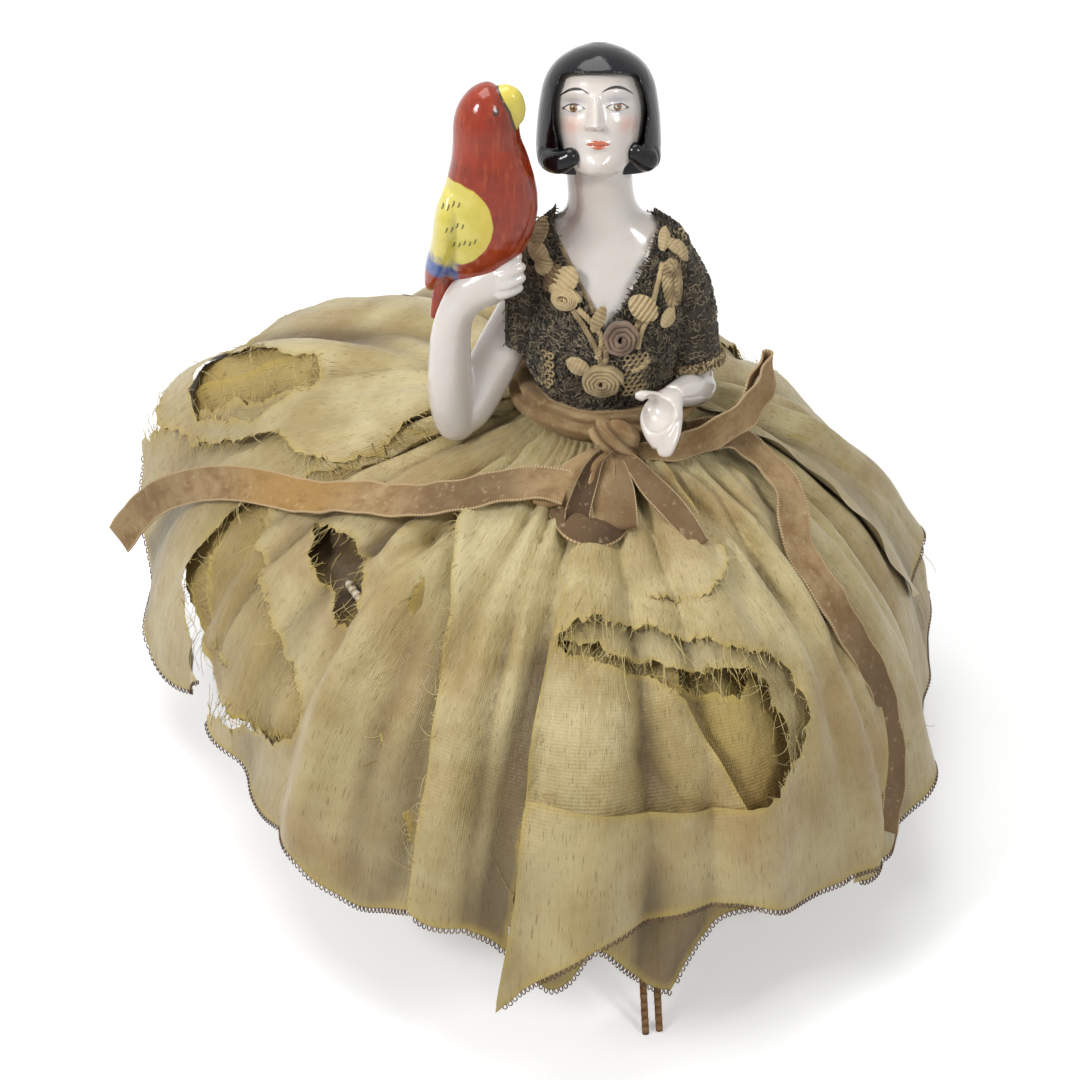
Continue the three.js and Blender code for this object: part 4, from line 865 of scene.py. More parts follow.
SQUARENESS = 0.92
SECTION_COUNT, SECTION_SIDES = 40, 64


def squared(share, power):
    """A cosine or sine for an oval that is slightly squared: the lower the power, the squarer."""
    return np.sign(share) * np.abs(share) ** power


def levels(sections, squareness=SQUARENESS):
    """Slightly squared ovals up a body, head or hair."""
    rows = smooth_path(sections, SECTION_COUNT)
    angles = circle_angles(SECTION_SIDES)
    x = rows[:, 1, None] + rows[:, 3, None] * squared(np.cos(angles), squareness)
    y = rows[:, 2, None] + rows[:, 4, None] * squared(np.sin(angles), squareness)
    up = np.broadcast_to(rows[:, 0, None], x.shape)
    return loft(np.stack([x, y, up], -1))


def bulge(x, up, at, size):
    """A soft oval rise to 1 in the middle of a place."""
    return np.exp(-((x - at[0]) / size[0]) ** 2 - ((up - at[1]) / size[1]) ** 2)


def face_relief(points):
    """Nose, eye hollows, lips and chin, raised on the front of the head; points are in the head's frame."""
    x, y, up = points.T
    u = x - FACE_MIDDLE
    front = eased(-2.5, -6, y)
    raised = np.zeros(len(points))
    for at, side in ((EYE_LEFT, -1), (EYE_RIGHT, 1)):
        raised -= 0.75 * bulge(x, up, (at[0], at[1] + 0.2), (3.0, 1.9))
        raised += 0.55 * bulge(x, up, (at[0], at[1]), (2.0, 0.95))
        raised += 0.35 * bulge(x, up, (at[0], at[1] + 3.6), (3.4, 1.1))
        raised += 0.35 * bulge(x, up, (at[0] + side * 0.6, at[1] - 4.4), (2.8, 2.8))
    along = np.clip((4.6 - up) / 6.9, 0, 1)
    height = 0.55 + 2.35 * along**1.35
    width = 0.95 + 0.5 * along
    bridge = eased(5.6, 4.0, up) * eased(-3.5, -2.35, up)
    raised += height * bridge * np.exp(-(u / width) ** 2)
    for side in (-1, 1):
        raised += 0.8 * bulge(u, up, (side * 1.45, -2.55), (0.75, 0.62))
    raised -= 0.18 * bulge(u, up, (0.4, -4.6), (0.5, 0.8))
    m = x - MOUTH[0]
    raised += 0.75 * bulge(m, up, (0, MOUTH[1] + 0.5), (2.3, 0.55))
    raised += 0.7 * bulge(m, up, (0, MOUTH[1] - 0.6), (1.7, 0.5))
    raised -= 0.35 * bulge(m, up, (0, MOUTH[1]), (2.4, 0.18))
    raised -= 0.35 * bulge(m, up, (0, MOUTH[1] - 1.9), (2.2, 0.7))
    raised += 0.75 * bulge(m, up, (0, -11.2), (2.6, 1.7))
    out = points.copy()
    out[:, 1] -= raised * front
    return out


def make_bust():
    """Torso, neck and head in one form, with the face and the collarbones raised on it."""
    head_points, head_faces = levels(HEAD_SECTIONS, squareness=0.97)
    parts = [levels(BODY_SECTIONS), (moved(head_points, HEAD_TO_BUST), head_faces)]
    points, faces = merged(parts, 0.32, 10)
    inverse = np.linalg.inv(HEAD_TO_BUST)
    local = moved(points, inverse)
    on_head = eased(-15.5, -12.5, local[:, 2])[:, None]
    local = local + (face_relief(local) - local) * on_head
    collarbones = 0.35 * bulge(points[:, 0], points[:, 2], (-2, 54), (9, 2)) * eased(0, -5, points[:, 1])
    points = moved(local, HEAD_TO_BUST)
    points[:, 1] -= collarbones
    make("figure", Shape().add(points, faces), PORCELAIN, "porcelain", "porcelain_bust", to_doll=bust)


def face_opening():
    """The window in the hair that shows the face: an upright opening with round upper corners."""
    side = [(-9.6, -24), (-9.6, -8), (-10.6, -2), (-10.6, 3.4), (-9.6, 7), (-7.4, 9.3)]
    other = [(7.2, 9.3), (9.2, 7.4), (10.4, 4.4), (11.1, 0), (10.4, -6), (9.9, -24)]
    outline = smooth_path(side + other, 60)
    rings = [np.stack([outline[:, 0], np.full(60, depth), outline[:, 1]], -1) for depth in (-2.9, -40.0)]
    points, faces = loft(rings)
    return Shape().add(points, faces)


# The curl at the left and at the right: place and radius
CURLS = [(-6.9, -10.1, -9.5, 2.35), (8.3, -7.6, -8.4, 2.35)]


def make_hair():
    """The glazed bob: a helmet with a fringe, and locks that sweep forward to a round curl."""
    parts = [levels(HAIR_SECTIONS, squareness=0.96)]
    points, faces = merged(parts, 0.3, 3, face_opening())
    locks = [(points, faces)]
    for side, (x, y, up, radius) in zip((-1, 1), CURLS):
        sweep = [(side * 11.6, -1.5, -8.4, 3.1, 3.1), (side * 11.4, -4.4, -10.2, 3.1, 3),
                 ((x + side * 10.6) / 2 + side * 0.4, y + 1.4, up - 1.1, 2.9, 2.7),
                 (x, y, up - 0.2, 2.3, 2.2)]
        locks.append(limb(sweep, 14, 18))
        locks.append(ball((x, y, up), (radius, radius * 0.95, radius)))
    points, faces = merged(locks, 0.27, 10)
    make("hair", Shape().add(points, faces), HAIR, "porcelain", "porcelain_bust", to_doll=head)


# Stations of the limbs: place, half width and half depth

RAISED_UPPER_ARM = [
    (-12, 0, 50, 5, 5), (-16.5, -0.2, 45, 5.8, 5.8), (-22.5, -1.6, 34, 6, 6), (-29, -4, 22, 6.2, 6.2),
    (-34.4, -6.6, 11.4, 5.6, 5.8), (-36.6, -7.8, 7, 3.8, 4),
]
RAISED_FOREARM = [
    (-36.8, -7.2, 4.2, 2.6, 2.6), (-37.6, -7.8, 6.6, 5, 5), (-38.8, -8.8, 12, 5.7, 5.8),
    (-39.4, -10.2, 22, 5.6, 5.8), (-38.8, -12, 34, 5, 5), (-37, -13.4, 42, 4.5, 4.4),
    (-34, -14, 46.6, 5, 4.4), (-29.5, -14.6, 49.4, 5.2, 4), (-25, -15, 51.6, 4.4, 3.4),
    (-22.8, -15.2, 52.8, 3.2, 2.6),
]
RAISED_FINGERS = [
    # root and tip of each finger, stacked under the bird
    ((-27, -16, 54.4), (-22, -15.2, 57.2)), ((-26.6, -17.2, 52.6), (-21.2, -16, 54.8)),
    ((-26.6, -17.6, 50.4), (-21.2, -16.4, 52.2)), ((-27, -17.4, 48.2), (-21.8, -16.4, 49.6)),
]
LOWERED_UPPER_ARM = [
    (12.5, 0, 51, 5, 5), (16, -0.2, 46, 5.8, 5.8), (19.4, -0.8, 37, 5.6, 5.6), (21.4, -1.8, 27, 4.9, 4.9),
    (22.2, -2.8, 21, 4.5, 4.5), (22.8, -4, 16.4, 4.2, 4.2), (22.8, -4.6, 13.4, 2.6, 2.6),
]
LOWERED_FOREARM = [
    (25, -2.4, 15.4, 2.4, 2.4), (23.8, -4.6, 16.2, 4.1, 4.1), (20.6, -10.4, 18.4, 4.3, 4.2),
    (17.2, -16.4, 20.6, 3.4, 3.3), (15.6, -19.4, 21.6, 3.1, 2.7),
]
LOWERED_PALM = [
    # the back of the cupped hand; its hollow is cut out afterwards
    (15.8, -19.2, 21.6, 3.1, 2.6), (13.8, -22.4, 20.8, 4.6, 3), (12.6, -25.4, 18.8, 5.2, 2.8),
    (12.6, -28, 16.2, 4.4, 2.4), (13.2, -30.2, 13.4, 2.8, 1.8),
]
THUMB = [
    (13.6, -21.4, 21.6, 1.9, 1.9), (10.4, -22.6, 23.2, 1.5, 1.5), (7.6, -23.4, 24, 1.35, 1.35),
    (6.2, -23.8, 24, 0.7, 0.7),
]
PALM_HOLLOW, PALM_HOLLOW_SIZE = (11.4, -28.2, 21.4), (4.3, 6.4, 4.4)


def make_raised_arm():
    """The arm that carries the bird, with its fingers round the bird's foot."""
    parts = [limb(RAISED_UPPER_ARM), limb(RAISED_FOREARM)]
    for root, tip in RAISED_FINGERS:
        stations = np.array([(*root, 1.5, 1.5), (*tip, 1.2, 1.2)])
        middle = stations.mean(0) + np.array([0, -0.7, 0, 0.05, 0.05])
        end = stations[1] + np.array([0.8, 0.4, 0.3, -0.7, -0.7])
        parts.append(limb([stations[0], middle, stations[1], end], 10, 14))
    points, faces = merged(parts, 0.35, 5)
    make("arm_raised", Shape().add(points, faces), PORCELAIN, "porcelain", "raised_arm", to_doll=bust)


def make_lowered_arm():
    """The arm with the open, cupped hand."""
    flat = (0, 0, 1)
    parts = [limb(LOWERED_UPPER_ARM), limb(LOWERED_FOREARM, across=flat), limb(LOWERED_PALM, across=flat)]
    parts.append(limb(THUMB, 12, 14))
    for number in range(4):
        side = number - 1.5
        finger = [(14.4 + 1.5 * side, -24.6, 19.4 + 0.5 * abs(side), 1.4, 1.4),
                  (14.2 + 1.3 * side, -28.2, 16.6, 1.3, 1.3), (13.6 + 0.8 * side, -31, 13.6, 1.1, 1.1),
                  (13.4 + 0.6 * side, -32.2, 11.6 + 0.4 * abs(side), 0.6, 0.6)]
        parts.append(limb(finger, 12, 12))
    points, faces = ball(PALM_HOLLOW, PALM_HOLLOW_SIZE, 18, 28)
    centre = np.array(PALM_HOLLOW[:2])
    away = points[:, :2] - centre
    ripple = 1 + 0.09 * np.sin(4 * np.arctan2(away[:, 1], away[:, 0]))
    points[:, :2] = centre + away * ripple[:, None]
    points, faces = merged(parts, 0.3, 5, Shape().add(points, faces))
    make("arm_lowered", Shape().add(points, faces), PORCELAIN, "porcelain", "lowered_arm", to_doll=bust)


PARROT_BODY = [
    (-36.6, -7.5, 47.5, 2.4, 2), (-35.4, -9, 51, 6, 5), (-33.4, -10.8, 56, 9.2, 7.2),
    (-30.6, -12, 63, 11.6, 8.8), (-28.6, -12.6, 71, 11.4, 9.2), (-28.6, -12.6, 79, 9.5, 8.8),
    (-29.2, -12.6, 85, 8, 8), (-29.2, -12.9, 90.5, 7.5, 7.6), (-28.4, -13, 94.6, 6, 6.4),
    (-27.4, -13, 97.2, 3.6, 4.2), (-26.8, -13, 98, 1.2, 1.6),
]
PARROT_BEAK = [
    (-26.2, -13.2, 94.8, 3.6, 3.2), (-24.2, -13.6, 95.4, 3.5, 3), (-22.6, -13.9, 93.8, 2.6, 2.2),
    (-21.9, -14, 91.4, 1.6, 1.4), (-22, -14, 89.6, 0.6, 0.6),
]
PARROT_WING = [
    (-37.4, -15, 74, 2, 3), (-38.4, -15, 68, 3.2, 6), (-39.6, -13.6, 60, 3.2, 6.2),
    (-41.6, -12, 53, 2.9, 4.6), (-43, -10.8, 48.6, 1.9, 2.8), (-43.6, -10, 46.4, 0.8, 1),
]
PARROT_TAIL = [
    (-36.4, -6.6, 53, 3.4, 2.2), (-39.6, -4.8, 45.4, 3, 1.8), (-41.6, -4, 40, 2.2, 1.2),
    (-43.4, -3.4, 35, 0.9, 0.7),
]


def make_parrot():
    """The bird: body, beak, folded wing and tail as one form."""
    parts = [limb(PARROT_BODY, 34, 40), limb(PARROT_BEAK, 14, 20), limb(PARROT_WING, 20, 28),
             limb(PARROT_TAIL, 14, 18)]
    points, faces = merged(parts, 0.36, 8)
    make("bird", Shape().add(points, faces), PARROT, "parrot_glaze", "parrot", to_doll=bust)


# Silk skirt; a place on it is a bearing, in degrees to the right of the front, and a drop from waist to hem

SKIRT_OUTLINE = np.array([
    # bearing, then reach and height of the puffed shoulder and of the hem
    (-180, 106, 122, 122, 40), (-150, 120, 131, 144, 55), (-122, 130, 128, 163, 58), (-104, 119, 124, 142, 36),
    (-88, 112, 122, 118, 24), (-60, 106, 122, 110, 24), (-30, 105, 122, 112, 24), (-8, 106, 122, 118, 24),
    (20, 102, 120, 110, 24), (45, 94, 116, 104, 24), (84, 85, 112, 95, 24), (112, 87, 114, 110, 24),
    (145, 98, 118, 110, 28), (180, 106, 122, 122, 40),
])
# Reach and height of the waist edge, and of the place that it leaves the waist towards
WAIST_PULL, SPRING_PULL = (20.3, 132), (23, 122)
# Millimetres of flat cloth for each degree of bearing and for the whole drop
ACROSS, ALONG = 1.75, 150.0
FLAT_SCALE = np.array([ACROSS, ALONG])


def on_skirt(bearing, drop, lift=0.0):
    """Places on the smooth skirt, stood off it by a lift in millimetres, and the ways out from it."""
    bearing, drop, lift = np.broadcast_arrays(np.asarray(bearing, float), drop, lift)
    turn = (bearing + 180) % 360 - 180
    above = np.clip(np.searchsorted(SKIRT_OUTLINE[:, 0], turn), 1, len(SKIRT_OUTLINE) - 1)
    low, high = SKIRT_OUTLINE[above - 1], SKIRT_OUTLINE[above]
    share = eased(0, 1, (turn - low[..., 0]) / (high[..., 0] - low[..., 0]))[..., None]
    outline = low[..., 1:] + share * (high[..., 1:] - low[..., 1:])
    rest = 1 - drop
    weights = (rest**3, 3 * rest**2 * drop, 3 * rest * drop**2, drop**3)
    slopes = (-3 * rest**2, 3 * rest**2 - 6 * rest * drop, 6 * rest * drop - 3 * drop**2, 3 * drop**2)
    pulls = [(WAIST_PULL[k], SPRING_PULL[k], outline[..., k], outline[..., k + 2]) for k in (0, 1)]
    reach, height = [sum(pull * weight for pull, weight in zip(axis, weights)) for axis in pulls]
    run, rise = [sum(pull * slope for pull, slope in zip(axis, slopes)) for axis in pulls]
    length = np.hypot(run, rise)
    out, up = -rise / length, run / length
    turned = np.radians(bearing)
    ways = np.stack([out * np.sin(turned), -out * np.cos(turned), up], -1)
    places = np.stack([reach * np.sin(turned), -reach * np.cos(turned), height], -1)
    return places + ways * lift[..., None], ways


def main_fold(bearing, drop):
    """The broad folds that the solid skirt has too."""
    waves = 0.6 * np.cos(np.radians(16 * bearing + 40)) + 0.4 * np.cos(np.radians(9 * bearing + 75))
    return 2.6 * np.maximum(drop, 0) ** 0.7 * waves


def pleat(phase):
    """A run of round ridges with narrow valleys between, from -1 to 1."""
    return 2 * np.abs(np.cos(phase / 2)) ** 0.8 - 1


def relief(bearing, drop):
    """Gathers from the waist stitching, pleats that open out below them, and soft creases over all."""
    wander = (np.sin(np.radians(5 * bearing) + 1.1) + 0.7 * np.sin(np.radians(11 * bearing) + 4.0)
              + 0.5 * np.sin(np.radians(3 * bearing) + 6 * drop))
    fine = 0.75 * pleat(np.radians(66 * bearing) + 1.4 * wander)
    fine = fine * (1 - eased(0.1, 0.4, drop)) * eased(0, 0.06, drop)
    open_out = 2.3 * pleat(np.radians(27 * bearing) + 2.2 * wander + 1.2 * drop)
    open_out = open_out * eased(0.06, 0.3, drop) * (1 - 0.6 * eased(0.45, 0.95, drop))
    u, v = bearing * ACROSS, drop * ALONG
    creases = (np.sin(0.31 * u + 0.08 * v + 2 * np.sin(0.03 * v + 0.5))
               + 0.8 * np.sin(0.19 * u - 0.06 * v + 4.4)
               + 0.6 * np.sin(0.12 * u + 0.21 * v + 1.9 * np.sin(0.05 * u))
               + 0.35 * np.sin(0.52 * u + 0.19 * v))
    return 1.25 * main_fold(bearing, drop) + fine + open_out + 0.4 * creases * eased(0.05, 0.3, drop)


def inside(points, loops):
    """Which points lie inside the loops, by the even-odd rule."""
    found = np.zeros(len(points), bool)
    for loop in loops:
        for (ax, ay), (bx, by) in zip(loop, np.roll(loop, -1, 0)):
            if ay == by:
                continue
            crosses = (points[:, 1] < ay) != (points[:, 1] < by)
            found ^= crosses & (points[:, 0] < ax + (points[:, 1] - ay) * (bx - ax) / (by - ay))
    return found


def evenly(path, step):
    """Places along a path at even steps, its last place left out."""
    lengths = run_along(path)
    wanted = np.linspace(0, lengths[-1], max(2, round(lengths[-1] / step)) + 1)[:-1]
    return np.stack([np.interp(wanted, lengths, path[:, k]) for k in range(path.shape[1])], -1)


def square_to(ways):
    """The ways square to the given ones on a flat sheet."""
    return ways[:, ::-1] * np.array([1, -1])


def strands(shape, paths, radius, shade, sides=3):
    """Many thin threads at once: paths counts threads, then places, then x, y and z."""
    paths = np.asarray(paths, float)
    count, steps = paths.shape[:2]
    headings = unit(np.gradient(paths, axis=1))
    guide = np.where(np.abs(headings[..., 2:3]) > 0.9, np.array([1.0, 0, 0]), np.array([0, 0, 1.0]))
    normals = unit(np.cross(headings, guide))
    others = np.cross(headings, normals)
    angles = circle_angles(sides)
    radius = np.broadcast_to(np.asarray(radius, float), (count, steps))[..., None, None]
    rings = paths[:, :, None] + radius * (normals[:, :, None] * np.cos(angles)[:, None]
                                          + others[:, :, None] * np.sin(angles)[:, None])
    pattern = band_faces(steps, sides)
    pattern += [tuple(range(sides)), tuple(reversed(range((steps - 1) * sides, steps * sides)))]
    faces = [tuple(number * steps * sides + i for i in face) for number in range(count) for face in pattern]
    shade = np.broadcast_to(np.asarray(shade, float), (count,))
    return shape.add(rings.reshape(-1, 3), faces, shade=np.repeat(shade, steps * sides))


# Steps between places on a sheet, on its edges and along its hem's loops, and between the threads of a tear
CLOTH_STEP, EDGE_STEP, PICOT_STEP, FRAY_STEP = 1.7, 1.25, 1.15, 0.8
FRAY_SHORTEST, FRAY_LONGEST = 0.8, 8.0


class Cloth:
    """A sheet of skirt silk: an outline of torn, hemmed and plain edges, laid on the skirt in its folds."""

    def __init__(self, layer, seed, edges, holes=(), bulge=None):
        self.layer, self.bulge = layer, bulge
        self.random = np.random.default_rng(seed)
        self.loops, self.runs = [], []
        outline, start = [], 0
        for kind, places in edges:
            run = self.ragged(kind, np.array(places, float) * FLAT_SCALE)
            self.runs.append((kind, 0, start, start + len(run)))
            outline.append(run)
            start += len(run)
        self.loops.append(np.concatenate(outline))
        for number, places in enumerate(holes):
            ring = np.array([*places, places[0]], float) * FLAT_SCALE
            run = self.ragged("torn", ring)
            self.runs.append(("torn", number + 1, 0, len(run)))
            self.loops.append(run)
        self.triangulate(CLOTH_STEP)

    def ragged(self, kind, path):
        """An edge at even steps, straight where it is sewn and notched where it is torn."""
        if len(path) > 2:
            path = smooth_path(path, 12 * len(path))
        run = evenly(path, EDGE_STEP)
        sideways = square_to(unit(np.gradient(run, axis=0)))
        along = np.arange(len(run))
        if kind == "torn":
            waves = 0.55 * np.sin(along * 0.37 + self.random.uniform(0, 6))
            waves = waves + 0.35 * np.sin(along * 0.83 + 1.3)
            offset = waves + self.random.normal(0, 0.36, len(run))
        else:
            offset = 0.35 * np.sin(along * 0.21 + self.random.uniform(0, 6))
        offset[:2] = 0
        offset[-2:] = 0
        return run + sideways * offset[:, None]

    def triangulate(self, spacing):
        """Triangles between the edges and a slightly shaken grid of places inside them."""
        outline = np.concatenate(self.loops)
        low, high = outline.min(0), outline.max(0)
        grid = np.stack(np.meshgrid(*[np.arange(low[k], high[k], spacing) for k in (0, 1)]), -1)
        grid[1::2, :, 0] += spacing / 2
        grid = grid.reshape(-1, 2) + self.random.uniform(-0.22, 0.22, (grid.size // 2, 2)) * spacing
        grid = grid[inside(grid, self.loops)]
        tree = kdtree.KDTree(len(outline))
        for number, place in enumerate(outline):
            tree.insert((*place, 0), number)
        tree.balance()
        gaps = np.array([tree.find((*place, 0))[2] for place in grid])
        grid = grid[gaps > spacing * 0.55]
        edges, start = [], 0
        for loop in self.loops:
            edges += [(start + i, start + (i + 1) % len(loop)) for i in range(len(loop))]
            start += len(loop)
        places = [Vector(place) for place in np.concatenate([outline, grid])]
        made = delaunay_2d_cdt(places, edges, [], 0, 1e-5)
        points, triangles = np.array([tuple(place) for place in made[0]]), np.array(made[2])
        middles = points[triangles].mean(1)
        self.faces = triangles[inside(middles, self.loops)]
        used = np.unique(self.faces)
        renumbered = np.full(len(points), -1)
        renumbered[used] = np.arange(len(used))
        self.faces = renumbered[self.faces]
        self.flat = points[used]
        self.edge_gap = np.array([tree.find((*place, 0))[2] for place in self.flat])

    def lift(self, flat, edge_gap):
        """How far places stand off the smooth skirt, with a curl near the edges, and their folds alone."""
        bearing, drop = flat[:, 0] / ACROSS, flat[:, 1] / ALONG
        raised = relief(bearing, drop)
        if self.bulge is not None:
            raised = raised + self.bulge(bearing, drop)
        lift = raised - self.layer * (1.15 + 0.75 * drop)
        curl = 0.7 * np.sin(flat[:, 0] * 0.23 + flat[:, 1] * 0.31) + 0.9
        return lift + curl * np.exp(-edge_gap / 3.5) * eased(0.05, 0.2, drop), raised

    def placed(self, flat, edge_gap, extra=0.0):
        """Places of the flat sheet on the skirt, and their folds."""
        lift, raised = self.lift(flat, edge_gap)
        places, _ = on_skirt(flat[:, 0] / ACROSS, flat[:, 1] / ALONG, lift + extra)
        return places, raised

    def shape(self):
        """The hung sheet with its flat places and folds; notes its area, in square millimetres."""
        points, raised = self.placed(self.flat, self.edge_gap)
        cloth = np.stack([self.flat[:, 0], self.flat[:, 1], self.edge_gap], -1)
        triangles = points[self.faces]
        crosses = np.cross(triangles[:, 1] - triangles[:, 0], triangles[:, 2] - triangles[:, 0])
        self.area = np.linalg.norm(crosses, axis=1).sum() / 2
        return Shape().add(points, self.faces.tolist(), cloth=cloth, fold=raised)

    def run_places(self, kinds):
        """Edge places of the given kinds with the flat direction out of the cloth there."""
        for kind, loop_number, start, end in self.runs:
            if kind not in kinds:
                continue
            loop = self.loops[loop_number]
            run = loop[start:end]
            sideways = square_to(unit(np.gradient(run, axis=0)))
            probe = inside(run + sideways * 0.6, self.loops)
            yield run, np.where(probe[:, None], -sideways, sideways)

    def fray(self, shape):
        """Loose threads along torn edges: short ones nearly everywhere, a few long."""
        for run, outwards in self.run_places(("torn", "ladder")):
            count = max(3, int(len(run) * EDGE_STEP / FRAY_STEP))
            at = np.sort(self.random.uniform(1, len(run) - 2, count))
            low = at.astype(int)
            share = (at - low)[:, None]
            start = run[low] * (1 - share) + run[low + 1] * share
            length = FRAY_SHORTEST + FRAY_LONGEST * self.random.uniform(0, 1, count) ** 4
            away = unit(outwards[low] + self.random.normal(0, 0.45, (count, 2)))
            turn = self.random.normal(0, 0.5, count)[:, None]
            steps = np.linspace(-0.25, 1, 6)
            way = away[:, None] * steps[:, None] + square_to(away)[:, None] * (turn * steps**2)[..., None]
            flat = start[:, None] + way * length[:, None, None]
            rise = (self.random.normal(0.25, 0.5, count)[:, None] * steps * length[:, None] * 0.6
                    - 0.04 * (steps * length[:, None]) ** 2)
            rise = np.maximum(rise, -0.6).ravel()
            places, _ = self.placed(flat.reshape(-1, 2), np.zeros(flat.size // 2), rise)
            shades = self.random.uniform(0, 1, count)
            strands(shape, places.reshape(count, 6, 3), np.linspace(0.11, 0.06, 6), shades)

    def picots(self, shape):
        """The little loops of the sewn hem."""
        for run, outwards in self.run_places(("hem",)):
            path = evenly(run, PICOT_STEP)
            number = np.clip(np.round(np.linspace(0, len(run) - 1, len(path))).astype(int), 0, len(run) - 1)
            out = outwards[number]
            along = square_to(out)
            angles = np.linspace(-0.5, math.pi + 0.5, 6)
            ring = (path[:, None] + out[:, None] * (0.15 + 0.5 * np.sin(angles))[:, None]
                    + along[:, None] * (0.42 * np.cos(angles))[:, None])
            lift = 0.12 + 0.16 * np.sin(angles)
            places, _ = self.placed(ring.reshape(-1, 2), np.zeros(ring.size // 2), np.tile(lift, len(path)))
            shades = self.random.uniform(0, 1, len(path))
            strands(shape, places.reshape(len(path), 6, 3), 0.17, shades, 4)


def over_then_under(bearing, drop):
    """The cloth that lies over the front cloth above the great tear and slips under its edge below."""
    over = 1.3 * (1 - eased(0.47, 0.56, drop))
    under = -2.4 * eased(-20, -13, bearing) * eased(0.5, 0.58, drop)
    return over + under


def ridge(bearing, drop, places, width, height):
    """A crease line through places on the skirt, raised or sunk."""
    path = smooth_path(places, 40) * FLAT_SCALE
    flat = np.stack([bearing * ACROSS, drop * ALONG], -1)
    nearest = np.full(len(flat), np.inf)
    for place in path:
        nearest = np.minimum(nearest, ((flat - place) ** 2).sum(-1))
    return height * np.exp(-nearest / width**2)


def ridges(bearing, drop, lines):
    """Several crease lines at once, each with its places, width and height."""
    return sum(ridge(bearing, drop, places, width, height) for places, width, height in lines)


def front_bulge(bearing, drop):
    """Lip and lower roll of the great tear, a valley and crest to its right, and the flap at its left."""
    return ridges(bearing, drop, [
        ([(-8, 0.48), (4, 0.475), (16, 0.51), (30, 0.57), (37, 0.66), (32, 0.76)], 7, 2.6),
        ([(-8, 0.78), (8, 0.8), (22, 0.82)], 9, 1.6),
        ([(24, 0.2), (36, 0.36), (40, 0.5), (43, 0.6), (42, 0.7)], 3.2, -2.6),
        ([(30, 0.2), (43, 0.36), (47, 0.5), (48, 0.62)], 4, 1.8),
        ([(-12, 0.5), (-12, 0.76), (-13.5, 0.97)], 5, 2.2),
    ])


def pocket_bulge(bearing, drop):
    """A crest and a sunk seam, with the right end tucked in."""
    return ridges(bearing, drop, [
        ([(9, 0.62), (13, 0.69), (18, 0.78)], 4.5, 2.2),
        ([(-4.5, 0.57), (0, 0.64), (8, 0.73), (10, 0.77)], 1.6, -1.0),
    ]) - 1.2 * eased(16, 22, bearing)


def centre_bulge(bearing, drop):
    """A raised left edge, and two valleys that run down from the sash."""
    return over_then_under(bearing, drop) + ridges(bearing, drop, [
        ([(-41, 0.4), (-34, 0.5), (-28, 0.69), (-26, 0.9)], 4, 2.0),
        ([(-24, 0.42), (-21.5, 0.6), (-19.5, 0.9)], 3.5, -1.2),
        ([(-15, 0.5), (-15, 0.7), (-16, 0.9)], 3, -1.6),
    ])


def left_bulge(bearing, drop):
    """A roll with a valley and a shallower one to its right, and the right edge tucked in."""
    return ridges(bearing, drop, [
        ([(-58, 0.46), (-50, 0.56), (-47, 0.72), (-46, 0.9)], 5, 2.6),
        ([(-50, 0.44), (-41, 0.56), (-39, 0.72), (-38, 0.92)], 3.5, -1.5),
        ([(-38, 0.46), (-32, 0.6), (-29, 0.9)], 4, -1.6),
    ]) - 2 * eased(-27, -23, bearing)


def back_left_bulge(bearing, drop):
    """A crest beside the farther tear and a deep valley behind it."""
    return ridges(bearing, drop, [
        ([(-103, 0.3), (-106, 0.5), (-108, 0.62)], 5, 2.2),
        ([(-112, 0.2), (-122, 0.4), (-127, 0.62), (-128, 0.8)], 5, -3),
    ])


def sunk_lining(bearing, drop):
    """Hollows under the two tears at the left, which the silk's fold value also darkens with painted shade;
    past the farther one the lining lies close to the cloth.
    """
    return ridges(bearing, drop, [
        ([(-113, 0.64), (-110, 0.69), (-108, 0.75)], 4, -4),
        ([(-117, 0.52), (-119.5, 0.6), (-121, 0.68), (-120.5, 0.78)], 5, 3.6),
        ([(-72, 0.58), (-60, 0.59)], 10, -6),
    ])


